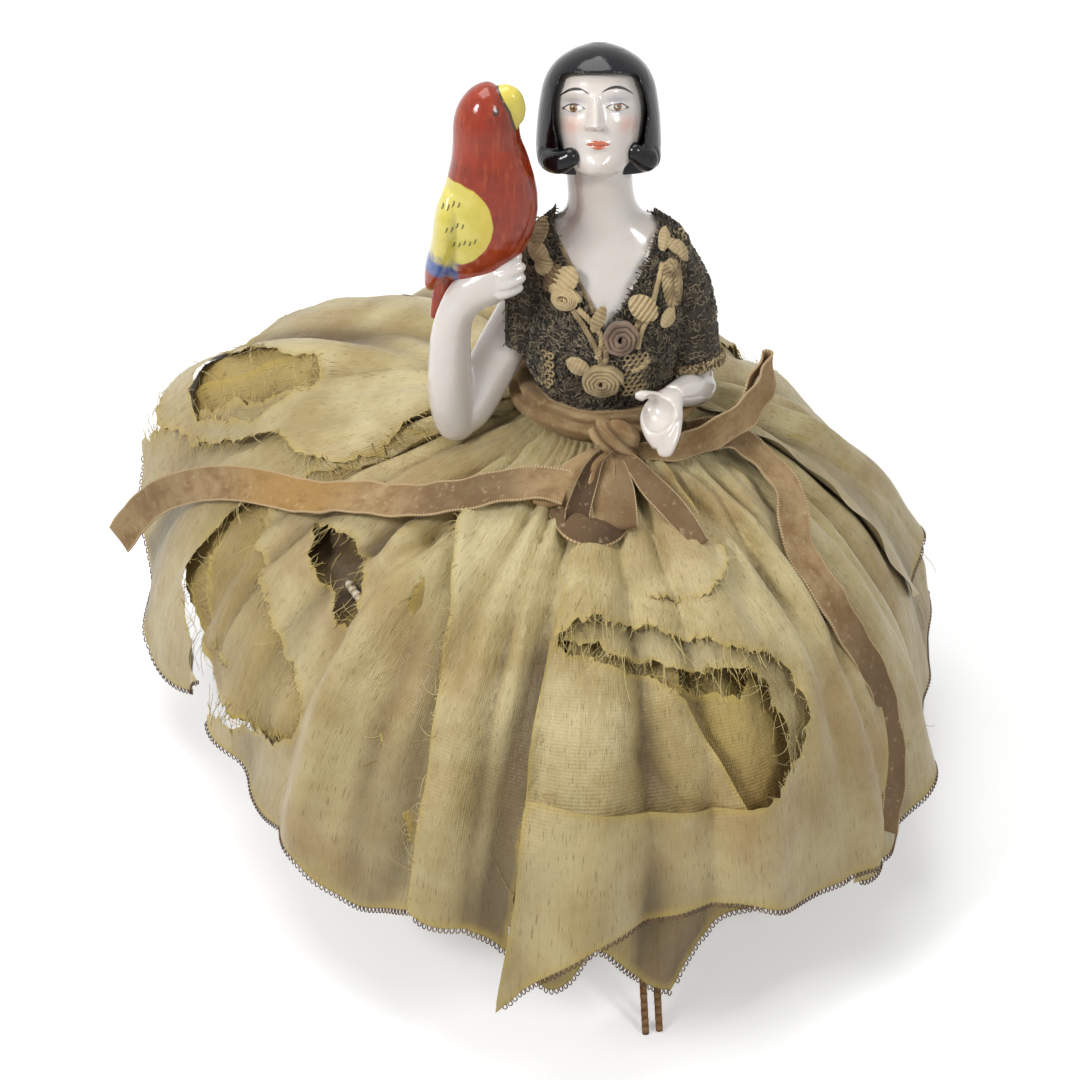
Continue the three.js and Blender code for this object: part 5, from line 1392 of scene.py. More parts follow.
CLOTHS = {
    # layer under the outermost, solid that it stands for, seed of its draws, swelling, outline and holes
    "cloth_front": dict(
        layer=0, solid="panel_front_right", seed=11, bulge=front_bulge, edges=[
            ("waist", [(-10, 0.02), (25, 0.02), (60, 0.02)]),
            ("plain", [(60, 0.02), (60, 0.3), (58, 0.5), (56, 0.66), (53, 0.76), (47, 0.86), (41, 0.94)]),
            ("hem", [(41, 0.94), (28.5, 0.92), (19, 0.895), (13, 0.885), (8, 0.885), (2.5, 0.89), (-2, 0.9),
                     (-8.5, 0.94), (-13.5, 0.985)]),
            ("plain", [(-13.5, 0.985), (-12.5, 0.92), (-12, 0.84), (-12, 0.76), (-11.5, 0.74)]),
            ("plain", [(-11.5, 0.74), (0, 0.748), (12, 0.768), (22, 0.778)]),
            ("torn", [(22, 0.778), (27, 0.755), (31, 0.72), (33.5, 0.68), (32.5, 0.63), (26.5, 0.585),
                      (18, 0.55), (10, 0.52), (1, 0.5), (-6, 0.505), (-11, 0.53)]),
            ("plain", [(-11, 0.53), (-10, 0.3), (-10, 0.02)]),
        ]),
    "cloth_pocket": dict(
        layer=0.7, solid="panel_front_right", seed=12, bulge=pocket_bulge, edges=[
            ("plain", [(-12.3, 0.52), (-12.4, 0.66), (-12.3, 0.8)]),
            ("plain", [(-12.3, 0.8), (4, 0.81), (21, 0.81)]),
            ("plain", [(21, 0.81), (18, 0.74), (15, 0.68), (13, 0.625)]),
            ("torn", [(13, 0.625), (10, 0.6), (5.5, 0.578), (-2, 0.558), (-7, 0.552), (-12.3, 0.52)]),
        ]),
    "cloth_rim": dict(
        layer=0.45, solid="panel_front_right", seed=13, edges=[
            ("plain", [(-9, 0.48), (6, 0.475), (22, 0.53), (34, 0.58), (38, 0.66), (34, 0.74), (28, 0.79)]),
            ("torn", [(28, 0.79), (28.5, 0.745), (29.5, 0.7), (27.5, 0.665), (28, 0.63), (24.5, 0.603),
                      (18, 0.592), (12, 0.575), (5.5, 0.557), (-2, 0.54), (-9, 0.53)]),
            ("plain", [(-9, 0.53), (-9, 0.48)]),
        ]),
    "cloth_centre": dict(
        layer=0, solid="panel_centre_left", seed=14, bulge=centre_bulge, edges=[
            ("waist", [(-46, 0.02), (-10, 0.02), (26, 0.02)]),
            ("plain", [(26, 0.02), (27, 0.2), (29.5, 0.36)]),
            ("torn", [(29.5, 0.36), (30.5, 0.42), (28, 0.455), (23, 0.478), (19, 0.482), (13.5, 0.475),
                      (7.5, 0.46), (1, 0.465), (-5, 0.49), (-10, 0.51)]),
            ("torn", [(-10, 0.51), (-11, 0.62), (-11.6, 0.75), (-13, 0.925)]),
            ("hem", [(-13, 0.925), (-21, 0.915), (-26, 0.91)]),
            ("ladder", [(-26, 0.91), (-26.5, 0.83), (-27, 0.76), (-28, 0.69), (-31, 0.6), (-35, 0.5),
                        (-43, 0.39), (-46, 0.24), (-46, 0.02)]),
        ]),
    "cloth_left_front": dict(
        layer=1.3, solid="panel_left_front", seed=15, bulge=left_bulge, edges=[
            ("waist", [(-84, 0.02), (-60, 0.02), (-34, 0.02)]),
            ("plain", [(-34, 0.02), (-34, 0.4), (-25, 0.6), (-19, 0.8), (-17, 0.92)]),
            ("hem", [(-17, 0.92), (-25.5, 0.925), (-30, 0.94), (-36, 0.96), (-42.5, 0.95), (-48.5, 0.935),
                     (-59.5, 0.95), (-71, 0.94), (-76, 0.93)]),
            ("torn", [(-76, 0.93), (-66, 0.885), (-56, 0.84), (-53, 0.8), (-55.5, 0.76), (-64.5, 0.74),
                      (-74, 0.71), (-86, 0.67), (-89, 0.5), (-87, 0.3), (-84, 0.02)]),
        ], holes=[[(-77, 0.58), (-72, 0.557), (-64, 0.547), (-58.5, 0.552), (-54.5, 0.59), (-51.5, 0.632),
                   (-54.5, 0.64), (-62.5, 0.628), (-70, 0.608)]]),
    "cloth_rag": dict(
        layer=2.3, solid="lining_left", seed=16, inner=True, edges=[
            ("plain", [(-50, 0.75), (-58, 0.69), (-70, 0.66), (-80, 0.63), (-92, 0.59)]),
            ("torn", [(-92, 0.59), (-95, 0.64), (-94, 0.7), (-92, 0.78), (-89, 0.86), (-84, 0.89),
                      (-78, 0.91)]),
            ("torn", [(-78, 0.91), (-72, 0.895), (-66, 0.885), (-57.5, 0.85), (-51, 0.86), (-50, 0.75)]),
        ]),
    "cloth_left": dict(
        layer=1, solid="panel_left", seed=17, edges=[
            ("waist", [(-110, 0.02), (-96, 0.02), (-82, 0.02)]),
            ("torn", [(-82, 0.02), (-84, 0.4), (-89, 0.6), (-94, 0.75), (-92, 0.88), (-83, 0.93)]),
            ("hem", [(-83, 0.93), (-88, 0.98), (-96.5, 1.02), (-103, 1.0), (-110, 0.98), (-117, 0.96)]),
            ("torn", [(-117, 0.96), (-114, 0.8), (-112, 0.5), (-110, 0.02)]),
        ]),
    "cloth_back_left": dict(
        layer=0, solid="panel_back_left", seed=18, bulge=back_left_bulge, edges=[
            ("waist", [(-152, 0.02), (-124, 0.02), (-96, 0.02)]),
            ("torn", [(-96, 0.02), (-94, 0.2), (-91, 0.33), (-86, 0.42), (-88, 0.53), (-95, 0.57),
                      (-101, 0.6), (-105, 0.68), (-110, 0.78), (-115, 0.88)]),
            ("torn", [(-115, 0.88), (-121, 0.86), (-128, 0.83), (-136, 0.82), (-146, 0.8), (-154, 0.82)]),
            ("plain", [(-154, 0.82), (-154, 0.4), (-152, 0.02)]),
        ], holes=[[(-120.5, 0.74), (-118, 0.62), (-116.5, 0.55), (-110.5, 0.56), (-108.5, 0.64),
                   (-110.5, 0.73), (-115, 0.79)]]),
    "cloth_back": dict(
        layer=0.8, solid="panel_back", seed=19, edges=[
            ("waist", [(-206, 0.02), (-170, 0.02), (-146, 0.02)]),
            ("plain", [(-146, 0.02), (-144, 0.5), (-140, 0.9)]),
            ("hem", [(-140, 0.9), (-156, 0.93), (-174, 0.9), (-190, 0.94), (-208, 0.92)]),
            ("torn", [(-208, 0.92), (-210, 0.6), (-206, 0.02)]),
        ]),
    "cloth_back_right": dict(
        layer=1.6, solid="panel_back_right", seed=20, edges=[
            ("waist", [(124, 0.02), (142, 0.02), (160, 0.02)]),
            ("plain", [(160, 0.02), (162, 0.5), (164, 0.94)]),
            ("hem", [(164, 0.94), (150, 0.96), (136, 0.93), (122, 0.95)]),
            ("plain", [(122, 0.95), (122, 0.5), (124, 0.02)]),
        ]),
    "cloth_right_back": dict(
        layer=0.8, solid="panel_right_back", seed=21, edges=[
            ("waist", [(88, 0.02), (110, 0.02), (136, 0.02)]),
            ("torn", [(136, 0.02), (138, 0.4), (140, 0.7), (134, 0.9)]),
            ("hem", [(134, 0.9), (120, 0.88), (106, 0.86), (93, 0.85)]),
            ("plain", [(93, 0.85), (86, 0.78), (84, 0.5), (88, 0.02)]),
        ]),
    "cloth_right": dict(
        layer=1.4, solid="panel_right", seed=22, edges=[
            ("waist", [(50, 0.02), (76, 0.02), (102, 0.02)]),
            ("plain", [(102, 0.02), (104, 0.5), (106, 0.94)]),
            ("hem", [(106, 0.94), (88, 0.97), (70, 0.96), (52, 0.97), (38, 0.955)]),
            ("plain", [(38, 0.955), (42, 0.8), (46, 0.5), (50, 0.02)]),
        ]),
    "lining_front_silk": dict(
        layer=2.6, solid="lining_front", seed=23, inner=True, edges=[
            ("waist", [(-44, 0.02), (0, 0.02), (50, 0.02)]),
            ("plain", [(50, 0.02), (50, 0.5), (44, 0.9)]),
            ("hem", [(44, 0.9), (30, 0.9), (17, 0.91), (13, 0.95), (8.5, 1.0)]),
            ("hem", [(8.5, 1.0), (5, 0.975), (1.5, 0.94), (-2, 0.905)]),
            ("hem", [(-2, 0.905), (-5, 0.95), (-8.5, 0.96), (-12, 0.9), (-24, 0.9)]),
            ("torn", [(-24, 0.9), (-40, 0.7), (-44, 0.4), (-44, 0.02)]),
        ], holes=[[(13.5, 0.575), (19, 0.58), (24.5, 0.6), (23.5, 0.63), (17, 0.625), (13, 0.6)]]),
    "cloth_behind_hole": dict(
        layer=6.5, solid="lining_front", seed=27, inner=True, edges=[
            ("plain", [(6, 0.52), (32, 0.53), (34, 0.6), (32, 0.7)]),
            ("torn", [(32, 0.7), (18, 0.69), (6, 0.66), (6, 0.52)]),
        ]),
    "lining_left_silk": dict(
        layer=2.8, solid="lining_left", seed=24, inner=True, bulge=sunk_lining, edges=[
            ("waist", [(-116, 0.02), (-80, 0.02), (-42, 0.02)]),
            ("plain", [(-42, 0.02), (-38, 0.5), (-36, 0.88)]),
            ("torn", [(-36, 0.88), (-56, 0.9), (-70, 0.88), (-80, 0.86), (-88, 0.9), (-96, 0.87),
                      (-104, 0.93), (-116, 0.9)]),
            ("plain", [(-116, 0.9), (-118, 0.5), (-116, 0.02)]),
        ]),
    "lining_back_silk": dict(
        layer=2.7, solid="lining_back", seed=25, inner=True, bulge=sunk_lining, edges=[
            ("waist", [(-226, 0.02), (-170, 0.02), (-112, 0.02)]),
            ("plain", [(-112, 0.02), (-110, 0.5), (-112, 0.86)]),
            ("torn", [(-112, 0.86), (-130, 0.84), (-150, 0.88), (-180, 0.86), (-206, 0.9), (-226, 0.88)]),
            ("plain", [(-226, 0.88), (-228, 0.5), (-226, 0.02)]),
        ]),
    "lining_right_silk": dict(
        layer=2.6, solid="lining_right", seed=26, inner=True, edges=[
            ("waist", [(44, 0.02), (90, 0.02), (138, 0.02)]),
            ("plain", [(138, 0.02), (140, 0.5), (138, 0.88)]),
            ("torn", [(138, 0.88), (110, 0.86), (84, 0.9), (60, 0.87), (40, 0.9)]),
            ("plain", [(40, 0.9), (42, 0.5), (44, 0.02)]),
        ]),
}


def make_skirt():
    """Every sheet with its frayed threads and its hem's loops, which go with it."""
    for name, facts in CLOTHS.items():
        facts = dict(facts)
        solid, inner = facts.pop("solid"), facts.pop("inner", False)
        slot, paint = ("inner_silk", INNER_SILK) if inner else ("silk", SILK)
        cloth = Cloth(**facts)
        piece = make(name, cloth.shape(), paint, slot, solid)
        for label, add, material in (("fray_", cloth.fray, THREAD), ("picot_", cloth.picots, PICOT)):
            threads = Shape()
            add(threads)
            if threads.size:
                make(label + name, threads, material, slot)


# Strips: ribbons, leaves and coils are all a strip along a path


def strip(path, outwards, width, thick, columns, rise=None):
    """A thin closed strip along a path, face outwards; gives points, faces, shares across and run along."""
    path = np.asarray(path, float)
    headings = unit(np.gradient(path, axis=0))
    across = unit(np.cross(headings, np.asarray(outwards, float)))
    facing = np.cross(across, headings)
    steps = run_along(path)
    shares = np.sin(np.linspace(-math.pi / 2, math.pi / 2, columns))
    half = np.broadcast_to(np.asarray(width, float) / 2, (len(path),))[:, None]
    height = 0 * half * shares if rise is None else rise(shares[None, :], steps[:, None])
    middle = path[:, None] + across[:, None] * (half * shares)[..., None]
    middle = middle + facing[:, None] * height[..., None]
    face = facing[:, None] * thick / 2
    points, faces = loft(np.concatenate([middle + face, (middle - face)[:, ::-1]], 1))
    both = np.concatenate([shares, shares[::-1]])
    return points, faces, np.tile(both, len(path)), np.repeat(steps, 2 * columns)


def ribbon(shape, path, outwards, width, shade_and_tone, cup=0.0, ripple=0.0, columns=13, rise=None):
    """Velvet ribbon: cup lifts or lowers its edges, ripple makes them wave; the value after its width darkens
    it with painted shade above 0 and turns it a lighter gold below 0.
    """
    phase = 0.37 * len(shape.points)

    def waved(shares, steps):
        waves = np.sin(0.55 * steps + phase + 1.9 * np.sign(shares)) + 0.6 * np.sin(0.23 * steps + phase)
        more = rise(shares, steps) if rise is not None else 0
        return cup * shares**2 + ripple * np.abs(shares) ** 2 * waves + more

    points, faces, shares, steps = strip(path, outwards, width, 0.6, columns, waved)
    tones = np.repeat(np.broadcast_to(np.asarray(shade_and_tone, float), (len(path),)), 2 * columns)
    shape.add(points, faces, cloth=np.stack([shares, steps, tones], -1))


# Velvet sash

BAND_MIDDLE, BAND_REACH = 135.3, (21.6, 19.0)
LEFT_STREAMER = [
    # bearing, drop, stand off the cloth, shade and tone: painted shade above 0, a lighter gold below 0
    (-14, 0.262, 3.6, 0.2), (-21, 0.262, 4.6, 0.2), (-29, 0.275, 4.6, 0.3), (-37, 0.3, 3.8, 0.6),
    (-46, 0.35, 2.4, 0.7), (-58, 0.42, 1.6, 0.5), (-72.5, 0.5, 1, -0.4), (-81.5, 0.57, 1, -0.9),
    (-90.5, 0.64, 1.2, -0.7), (-96, 0.7, 1.8, 0), (-100, 0.77, 3, 0.3), (-102.5, 0.83, 5, 0.4),
    (-104, 0.88, 7, 0.4), (-104.5, 0.93, 9, 0.3), (-104.5, 0.98, 10, 0.2),
]
RIGHT_STREAMER = [
    (50, 0.13, 2, 0.9), (58, 0.17, 2.4, 0.9), (66, 0.22, 2.4, 0.8), (70.5, 0.28, 2, 0.5), (70, 0.35, 1.5, 0.1),
    (64, 0.42, 1.5, 0), (54, 0.48, 1, 0.1), (50.5, 0.56, 1, 0.2), (50.5, 0.63, 1, 0.4), (53, 0.69, 0.5, 0.7),
    (53.5, 0.74, 0, 0.9), (53.5, 0.81, 0, 0.8), (49, 0.88, 0, 0.8), (42, 0.93, 0, 0.6),
]
STANDING_LOOP = [
    # x, y, up from the waist, width, shade and tone: painted shade above 0, a lighter gold below 0
    (5.4, -25, 1.6, 3.4, 0.4), (11, -24.4, 1.6, 5.2, 0.3), (18, -22.6, 1.4, 7, 0.2), (27, -18, 2, 8, 0),
    (35, -10.5, 3.4, 9, -0.2), (40.5, -1, 5, 9.4, 0), (42.6, 4, 5.6, 9.4, 0.2), (40.4, 5.6, 5.4, 9.4, 0.4),
    (38, 1, 4.6, 9, 0.6), (35.2, -5.5, 3.4, 8, 0.7), (33, -9, 1.4, 7, 0.8),
]
# Where the loops leave the knot, the knot's slant in degrees, and its rise over the solid one
KNOT_HEAD, KNOT_SLANT, KNOT_RISE = (1.0, -26.2, 133.4), -38, 0.6
# Each loop from the knot: bearing, drop and lift on the skirt; widths from the knot on; shade and tone, with
# painted shade above 0; and cup
FAN_LOOP = ([(-5, 0.13, 4.6), (-12, 0.2, 5.2), (-17.5, 0.27, 4.8), (-20, 0.3, 3.2)],
            (2, 5.6, 8, 9.4, 8.6), 0.15, -1.3)
# The hollow loop is painted dark, as painted shade inside its hollow
HOLLOW_LOOP = ([(-5, 0.17, 4.4), (-8.5, 0.24, 4.4), (-10.5, 0.31, 3.2)],
               (1.6, 3.2, 5, 6.2), 1.5, 1.9)
MIDDLE_LOOP = ([(-1.4, 0.16, 4.8), (-3.2, 0.24, 4.8), (-4.2, 0.33, 2.6)],
               (1.6, 4.2, 6.4, 7.2), 0.4, -0.8)
FLAT_LOOP = ([(3.4, 0.18, 4.4), (4, 0.25, 4.4), (3.4, 0.33, 3)],
             (2, 4.4, 7, 8.4), 0.6, -0.5)
SIDE_PIECE = ([(11, 0.18, 4.6), (16, 0.25, 4.6), (21, 0.32, 4.2), (25, 0.4, 3.4)],
              (2.4, 4.5, 6, 6.5, 4), 0.75, -0.4)
FOLDED_END = [
    # bearing, drop, lift, width
    (-20, 0.3, 2.4, 3), (-15, 0.315, 4.2, 6.4), (-9.5, 0.335, 5.2, 9.2), (-4, 0.34, 5.0, 9), (1, 0.33, 3.8, 7),
    (5, 0.312, 2.2, 3.4),
]


RIBBON_WIDTH, BAND_WIDTH = 9.6, 7.6
# A streamer's places, their step, and how many degrees of bearing a whole drop counts for between them
STREAMER_PLACES, STREAMER_STEP, DROP_WEIGHT = 240, 1.4, 85
# How many places on each side smooth a place, and how far from the tip its end begins and ends its turn
SMOOTHED_OVER, END_TURN = 4, (38, 14)


def resting(bearing, drop):
    """How high a ribbon lies: on the highest folds that its width spans."""
    turns = np.asarray(bearing)[:, None] + np.arange(-5, 6, 2.0)
    return relief(turns, np.asarray(drop)[:, None]).max(1) - 0.4


def streamer(name, stations, replaces, facing_end=None):
    """A ribbon that runs down over the skirt's folds; its end may turn to face another way."""
    spread = [(bearing, DROP_WEIGHT * drop, stand, shade_and_tone) for bearing, drop, stand, shade_and_tone in stations]
    bearing, weighed, stand, shade_and_tone = evenly(smooth_path(spread, STREAMER_PLACES), STREAMER_STEP).T
    drop = weighed / DROP_WEIGHT
    path, ways = on_skirt(bearing, drop, resting(bearing, drop) + stand)
    window = np.ones(2 * SMOOTHED_OVER + 1) / (2 * SMOOTHED_OVER + 1)
    padded = np.pad(path, ((SMOOTHED_OVER, SMOOTHED_OVER), (0, 0)), "edge")
    path = np.stack([np.convolve(axis, window, "valid") for axis in padded.T], -1)
    if facing_end is not None:
        begin, done = len(path) - np.array(END_TURN)
        share = eased(begin, done, np.arange(len(path)))[:, None]
        ways = ways * (1 - share) + np.array(facing_end) * share
    shape = Shape()
    ribbon(shape, path, ways, RIBBON_WIDTH, shade_and_tone, 0.25, 0.35)
    make(name, shape, VELVET, "velvet", replaces)


def knot_loop(shape, stations, widths, shade_and_tone, cup, turned_under=True):
    """A loop of the bow: it leaves the knot narrow, widens over the skirt and may turn back under itself."""
    bearing, drop, lift = (np.array(column) for column in zip(*stations))
    places, _ = on_skirt(bearing, drop, lift + 1.2)
    path = np.concatenate([[KNOT_HEAD], places])
    if turned_under:
        under, _ = on_skirt(bearing[-2:], drop[-2:] - 0.012, lift[-2:] - 1.4)
        path = np.concatenate([path, under[::-1]])
        widths = [*widths, *widths[:-3:-1]]
    path = smooth_path(path, 44)
    run = smooth_path(np.array(widths)[:, None], 44)[:, 0]
    facing = np.cross(np.gradient(path, axis=0), np.array([1.0, 0, 0]))
    ribbon(shape, path, facing, run, shade_and_tone, cup, 0.3)


def make_band():
    """The sash round the waist, rolled into soft folds."""
    turns = np.radians(np.linspace(180, 540, 160))
    wave = 0.5 * np.sin(5 * turns) + 0.3 * np.sin(11 * turns + 1)
    path = np.stack([BAND_REACH[0] * np.sin(turns), -BAND_REACH[1] * np.cos(turns),
                     BAND_MIDDLE + 0.4 * wave], -1)
    ways = np.stack([np.sin(turns), -np.cos(turns), np.full(len(turns), 0.8)], -1)

    def rolls(shares, steps):
        crease = shares + 0.12 * np.sin(0.14 * steps) + 0.06 * np.sin(0.37 * steps + 2)
        fine = 0.16 * np.sin(9 * shares + 0.3 * steps) * (1 - shares**2)
        return 2.1 * (1 - (2 * np.abs(crease) - 1) ** 2) - 1.0 * np.abs(shares) ** 6 + fine

    band = Shape()
    ribbon(band, path, ways, BAND_WIDTH, 0.35 + 0.3 * wave, rise=rolls, columns=25)
    make("band", band, VELVET, "velvet", "sash_band")


def make_knot():
    """The knot: a slanted oval in folds, pinched towards its ends, with painted shade in the valleys of its
    folds.
    """
    points, faces = ball((0, 0, 0), (1, 1, 1), 40, 56)
    angle = math.radians(KNOT_SLANT)
    long = points[:, 0] * math.cos(angle) + points[:, 2] * math.sin(angle)
    short = -points[:, 0] * math.sin(angle) + points[:, 2] * math.cos(angle)
    waves = np.sin(9 * short + 1.5 * long)
    folds = 1 + 0.1 * waves + 0.05 * np.sin(17 * short - 2 * long + 1)
    pinch = 1 - 0.16 * np.abs(long) ** 3
    sizes = np.stack([long * 6.6 * folds, points[:, 1] * 3.7 * folds, short * 5 * folds * pinch], -1)
    turned = np.stack([sizes[:, 0] * math.cos(angle) - sizes[:, 2] * math.sin(angle), sizes[:, 1],
                       sizes[:, 0] * math.sin(angle) + sizes[:, 2] * math.cos(angle)], -1)
    # Painted shade: the third cloth value darkens the velvet in the valleys of the knot's folds
    cloth = np.stack([short * 0.8, 6 * long, 0.1 + 0.9 * np.maximum(-waves, 0) ** 2], -1)
    knot = Shape().add(turned + KNOT_MIDDLE + np.array([0, 0, KNOT_RISE]), faces, cloth=cloth)
    make("knot", knot, VELVET, "velvet", "sash_knot")


def make_bow():
    """The bow: a fan and a folded end at the left, narrow loops in the middle and one that stands."""
    left = Shape()
    knot_loop(left, *FAN_LOOP)
    bearing, drop, lift, width = smooth_path(FOLDED_END, 30).T
    path, ways = on_skirt(bearing, drop, lift)
    # The folded end darkens towards its tip as painted shade
    ribbon(left, path, ways, width, np.linspace(0.7, 1.8, 30), -1.5, 0.35)
    make("loops_left", left, VELVET, "velvet", "bow_loop_left")
    middle = Shape()
    for loop in (HOLLOW_LOOP, MIDDLE_LOOP, FLAT_LOOP):
        knot_loop(middle, *loop)
    knot_loop(middle, *SIDE_PIECE, turned_under=False)
    make("loops_middle", middle, VELVET, "velvet", "bow_loop_centre")
    stations = smooth_path(STANDING_LOOP, 90)
    path = stations[:, :3] + np.array([0, 0, WAIST_HEIGHT])
    headings = np.gradient(path, axis=0)
    ways = np.stack([headings[:, 1], -headings[:, 0], 0.25 * np.linalg.norm(headings, axis=1)], -1)
    standing = Shape()
    ribbon(standing, path, ways, stations[:, 3], stations[:, 4], 0.7, 0.5)
    make("loop_standing", standing, VELVET, "velvet", "bow_loop_standing")


def make_sash():
    """The whole sash: band, knot, bow and the two streamers."""
    make_band()
    make_knot()
    make_bow()
    streamer("ribbon_left", LEFT_STREAMER, "streamer_left", facing_end=(-0.35, -0.8, 0.45))
    streamer("ribbon_right", RIGHT_STREAMER, "streamer_right")


# Knitted bodice, in the bust's frame

KNIT_GROWTH = 1.9
# The bodice's lower edge is level although the bust leans
BODICE_TOP, BODICE_BOTTOM, LEVEL_SLOPE = 62.5, 16.6, math.tan(math.radians(-BUST_LEAN))
BODICE_STITCHES, SLEEVE_STITCHES = 12000, 1500
NECKLINE = np.array([(-13.6, 80), (-13.6, 61), (-12.3, 56.7), (-6.4, 46.4), (-1.7, 38), (3.6, 45.6), (7.3, 52),
                     (11.4, 60), (11.4, 80)])
BACK_NECKLINE_UP, BACK_NECKLINE_MIDDLE, BACK_NECKLINE_HALF = 58, -1, 12


def section(up):
    """The body's middle, half width and half depth at a height."""
    return [np.interp(up, BODY_SECTIONS[:, 0], BODY_SECTIONS[:, k]) for k in range(1, 5)]


def on_body(angle, up, grow):
    """Places round the body, at an angle in degrees with the front at -90, and the level ways out."""
    x, y, wide, deep = section(up)
    c, s = np.cos(np.radians(angle)), np.sin(np.radians(angle))
    out = np.stack([c / wide, s / deep, 0 * c], -1)
    place = np.stack([x + (wide + grow) * squared(c, SQUARENESS), y + (deep + grow) * squared(s, SQUARENESS),
                      up + 0 * c], -1)
    return place, unit(out)


def on_front(across, up, grow):
    """Places on the front of the body by their place across and up, and the ways out there."""
    def depth(a, u):
        x, y, wide, deep = section(u)
        share = np.minimum(0.98, np.abs(a - x) / (wide + grow))
        return y - (deep + grow) * np.sqrt(1 - share**2)

    across, up = np.broadcast_arrays(np.asarray(across, float), np.asarray(up, float))
    slope_across = depth(across + 0.5, up) - depth(across - 0.5, up)
    slope_up = depth(across, up + 0.5) - depth(across, up - 0.5)
    ways = unit(np.stack([slope_across, -np.ones_like(across), slope_up], -1))
    return np.stack([across, depth(across, up), up], -1), ways


def knit_growth(angle, up):
    """The knit stands off the body, loose under the raised arm."""
    left = np.exp(-(((angle - 188) % 360 + 180) % 360 - 180) ** 2 / 38.0**2)
    loose = 3.4 * left * np.exp(-((up - 30) / 12.0) ** 2)
    return KNIT_GROWTH + loose + 0.25 * np.sin(0.35 * up + 0.06 * angle)


def covered(up, place):
    """Where the bodice has cloth: not in the neckline, front or back, and not below its level edge."""
    front = place[..., 1] < 0
    flat = np.stack([place[..., 0], up], -1).reshape(-1, 2)
    open_front = inside(flat, [NECKLINE]).reshape(up.shape) & front
    open_back = (up > BACK_NECKLINE_UP) & (np.abs(place[..., 0] - BACK_NECKLINE_MIDDLE) < BACK_NECKLINE_HALF)
    return ~open_front & ~(open_back & ~front) & (up > BODICE_BOTTOM + LEVEL_SLOPE * place[..., 1])


def yarn(shape, places, ways, along, random, length=1.35, radius=0.17, lift=0.28, shade=0.5, spread=0.5):
    """Small arched stitches of yarn that lie along a surface."""
    count = len(places)
    along = unit(along - ways * (along * ways).sum(-1, keepdims=True))
    side = np.cross(ways, along)
    turn = random.normal(0, 0.35, (count, 1))
    heading, beside = along * np.cos(turn) + side * np.sin(turn), side * np.cos(turn) - along * np.sin(turn)
    steps = np.linspace(-0.5, 0.5, 5)
    size = length * random.uniform(0.7, 1.35, (count, 1))
    bend = random.normal(0, 0.5, (count, 1)) * size * (steps**2 * 4 - 0.5)
    rise = lift * (1 - 4.4 * steps**2) * np.ones((count, 1))
    paths = places[:, None] + heading[:, None] * (size * steps)[..., None]
    paths = paths + beside[:, None] * bend[..., None] + ways[:, None] * rise[..., None]
    shades = np.clip(shade + random.normal(0, spread, count), 0, 1)
    strands(shape, paths, radius, shades)


# The stitches of the bodice turn about a place on its front and run straight farther off
WHORL_MIDDLE, WHORL_REACH = np.array([-9, 0, 27]), 15.0


def make_bodice():
    """Plain knitted cloth under thousands of small stitches, all cut to the neckline and the lower edge."""
    random = np.random.default_rng(31)
    angles, ups = np.meshgrid(np.linspace(0, 360, 220, endpoint=False), np.linspace(14, BODICE_TOP, 100))
    places, _ = on_body(angles, ups, knit_growth(angles, ups) - 0.25)
    keep = covered(ups, places)
    quads = [face for face in band_faces(*angles.shape) if keep.ravel()[list(face)].all()]
    used = np.unique(quads)
    number = np.full(angles.size, -1)
    number[used] = np.arange(len(used))
    shape = Shape().add(places.reshape(-1, 3)[used], number[np.array(quads)].tolist(), shade=0.15)
    loops = Shape()
    angle = random.uniform(0, 360, BODICE_STITCHES)
    up = random.uniform(15, BODICE_TOP, BODICE_STITCHES)
    place, ways = on_body(angle, up, knit_growth(angle, up))
    kept = covered(up, place)
    place, ways = place[kept], ways[kept]
    whorl = place - WHORL_MIDDLE
    swirl = np.stack([-whorl[:, 2], 0 * whorl[:, 0], whorl[:, 0]], -1)
    plain = np.array([0.5, 0, 1.0])
    near = np.exp(-(whorl[:, [0, 2]] ** 2).sum(1) / WHORL_REACH**2)[:, None]
    yarn(loops, place, ways, unit(swirl) * near + plain * (1 - near), random, shade=0.42)
    cloth = make("bodice_cloth", shape, KNIT, "knit", "bodice", to_doll=bust)
    stitches = make("bodice_stitches", loops, KNIT, "knit", "bodice", to_doll=bust)


def grown(stations, by):
    """A limb's stations made wider and deeper."""
    return [(*station[:3], station[3] + by, station[4] + by) for station in stations]


SLEEVE_ROWS, SLEEVE_SIDES, HEM_ROWS = 30, 40, 8


def sleeve_shell(stations, outer, inner, rows=SLEEVE_ROWS):
    """A hollow sleeve round an arm, open at both ends, and the rows of points of its outer skin."""
    skins = []
    for by in (outer, inner):
        points, _ = limb(grown(stations, by), rows, SLEEVE_SIDES)
        skins.append(points.reshape(rows, SLEEVE_SIDES, 3))
    rings = np.concatenate([skins[0], skins[1][::-1]])
    return rings.reshape(-1, 3), band_faces(2 * rows, SLEEVE_SIDES, closed_rows=True), skins[0]


SLEEVE_RIGHT = [(9.5, 0, 54.5, 3, 5), (13.6, -0.2, 50, 4.8, 6), (16.6, -0.4, 44, 5.8, 6),
                (19, -0.8, 37, 5.8, 5.8), (20.8, -1.8, 27, 5.2, 5.2), (21.4, -2.3, 23, 5, 5)]
SLEEVE_LEFT = [(-10, 0, 54.5, 4, 5), (-14.6, 0, 48, 6, 6.2), (-17.6, -0.4, 43, 6.2, 6.2),
               (-20.4, -1.1, 38, 6.2, 6.2), (-23.4, -1.9, 32.2, 6.2, 6.2), (-25, -2.4, 29.2, 6.2, 6.2)]
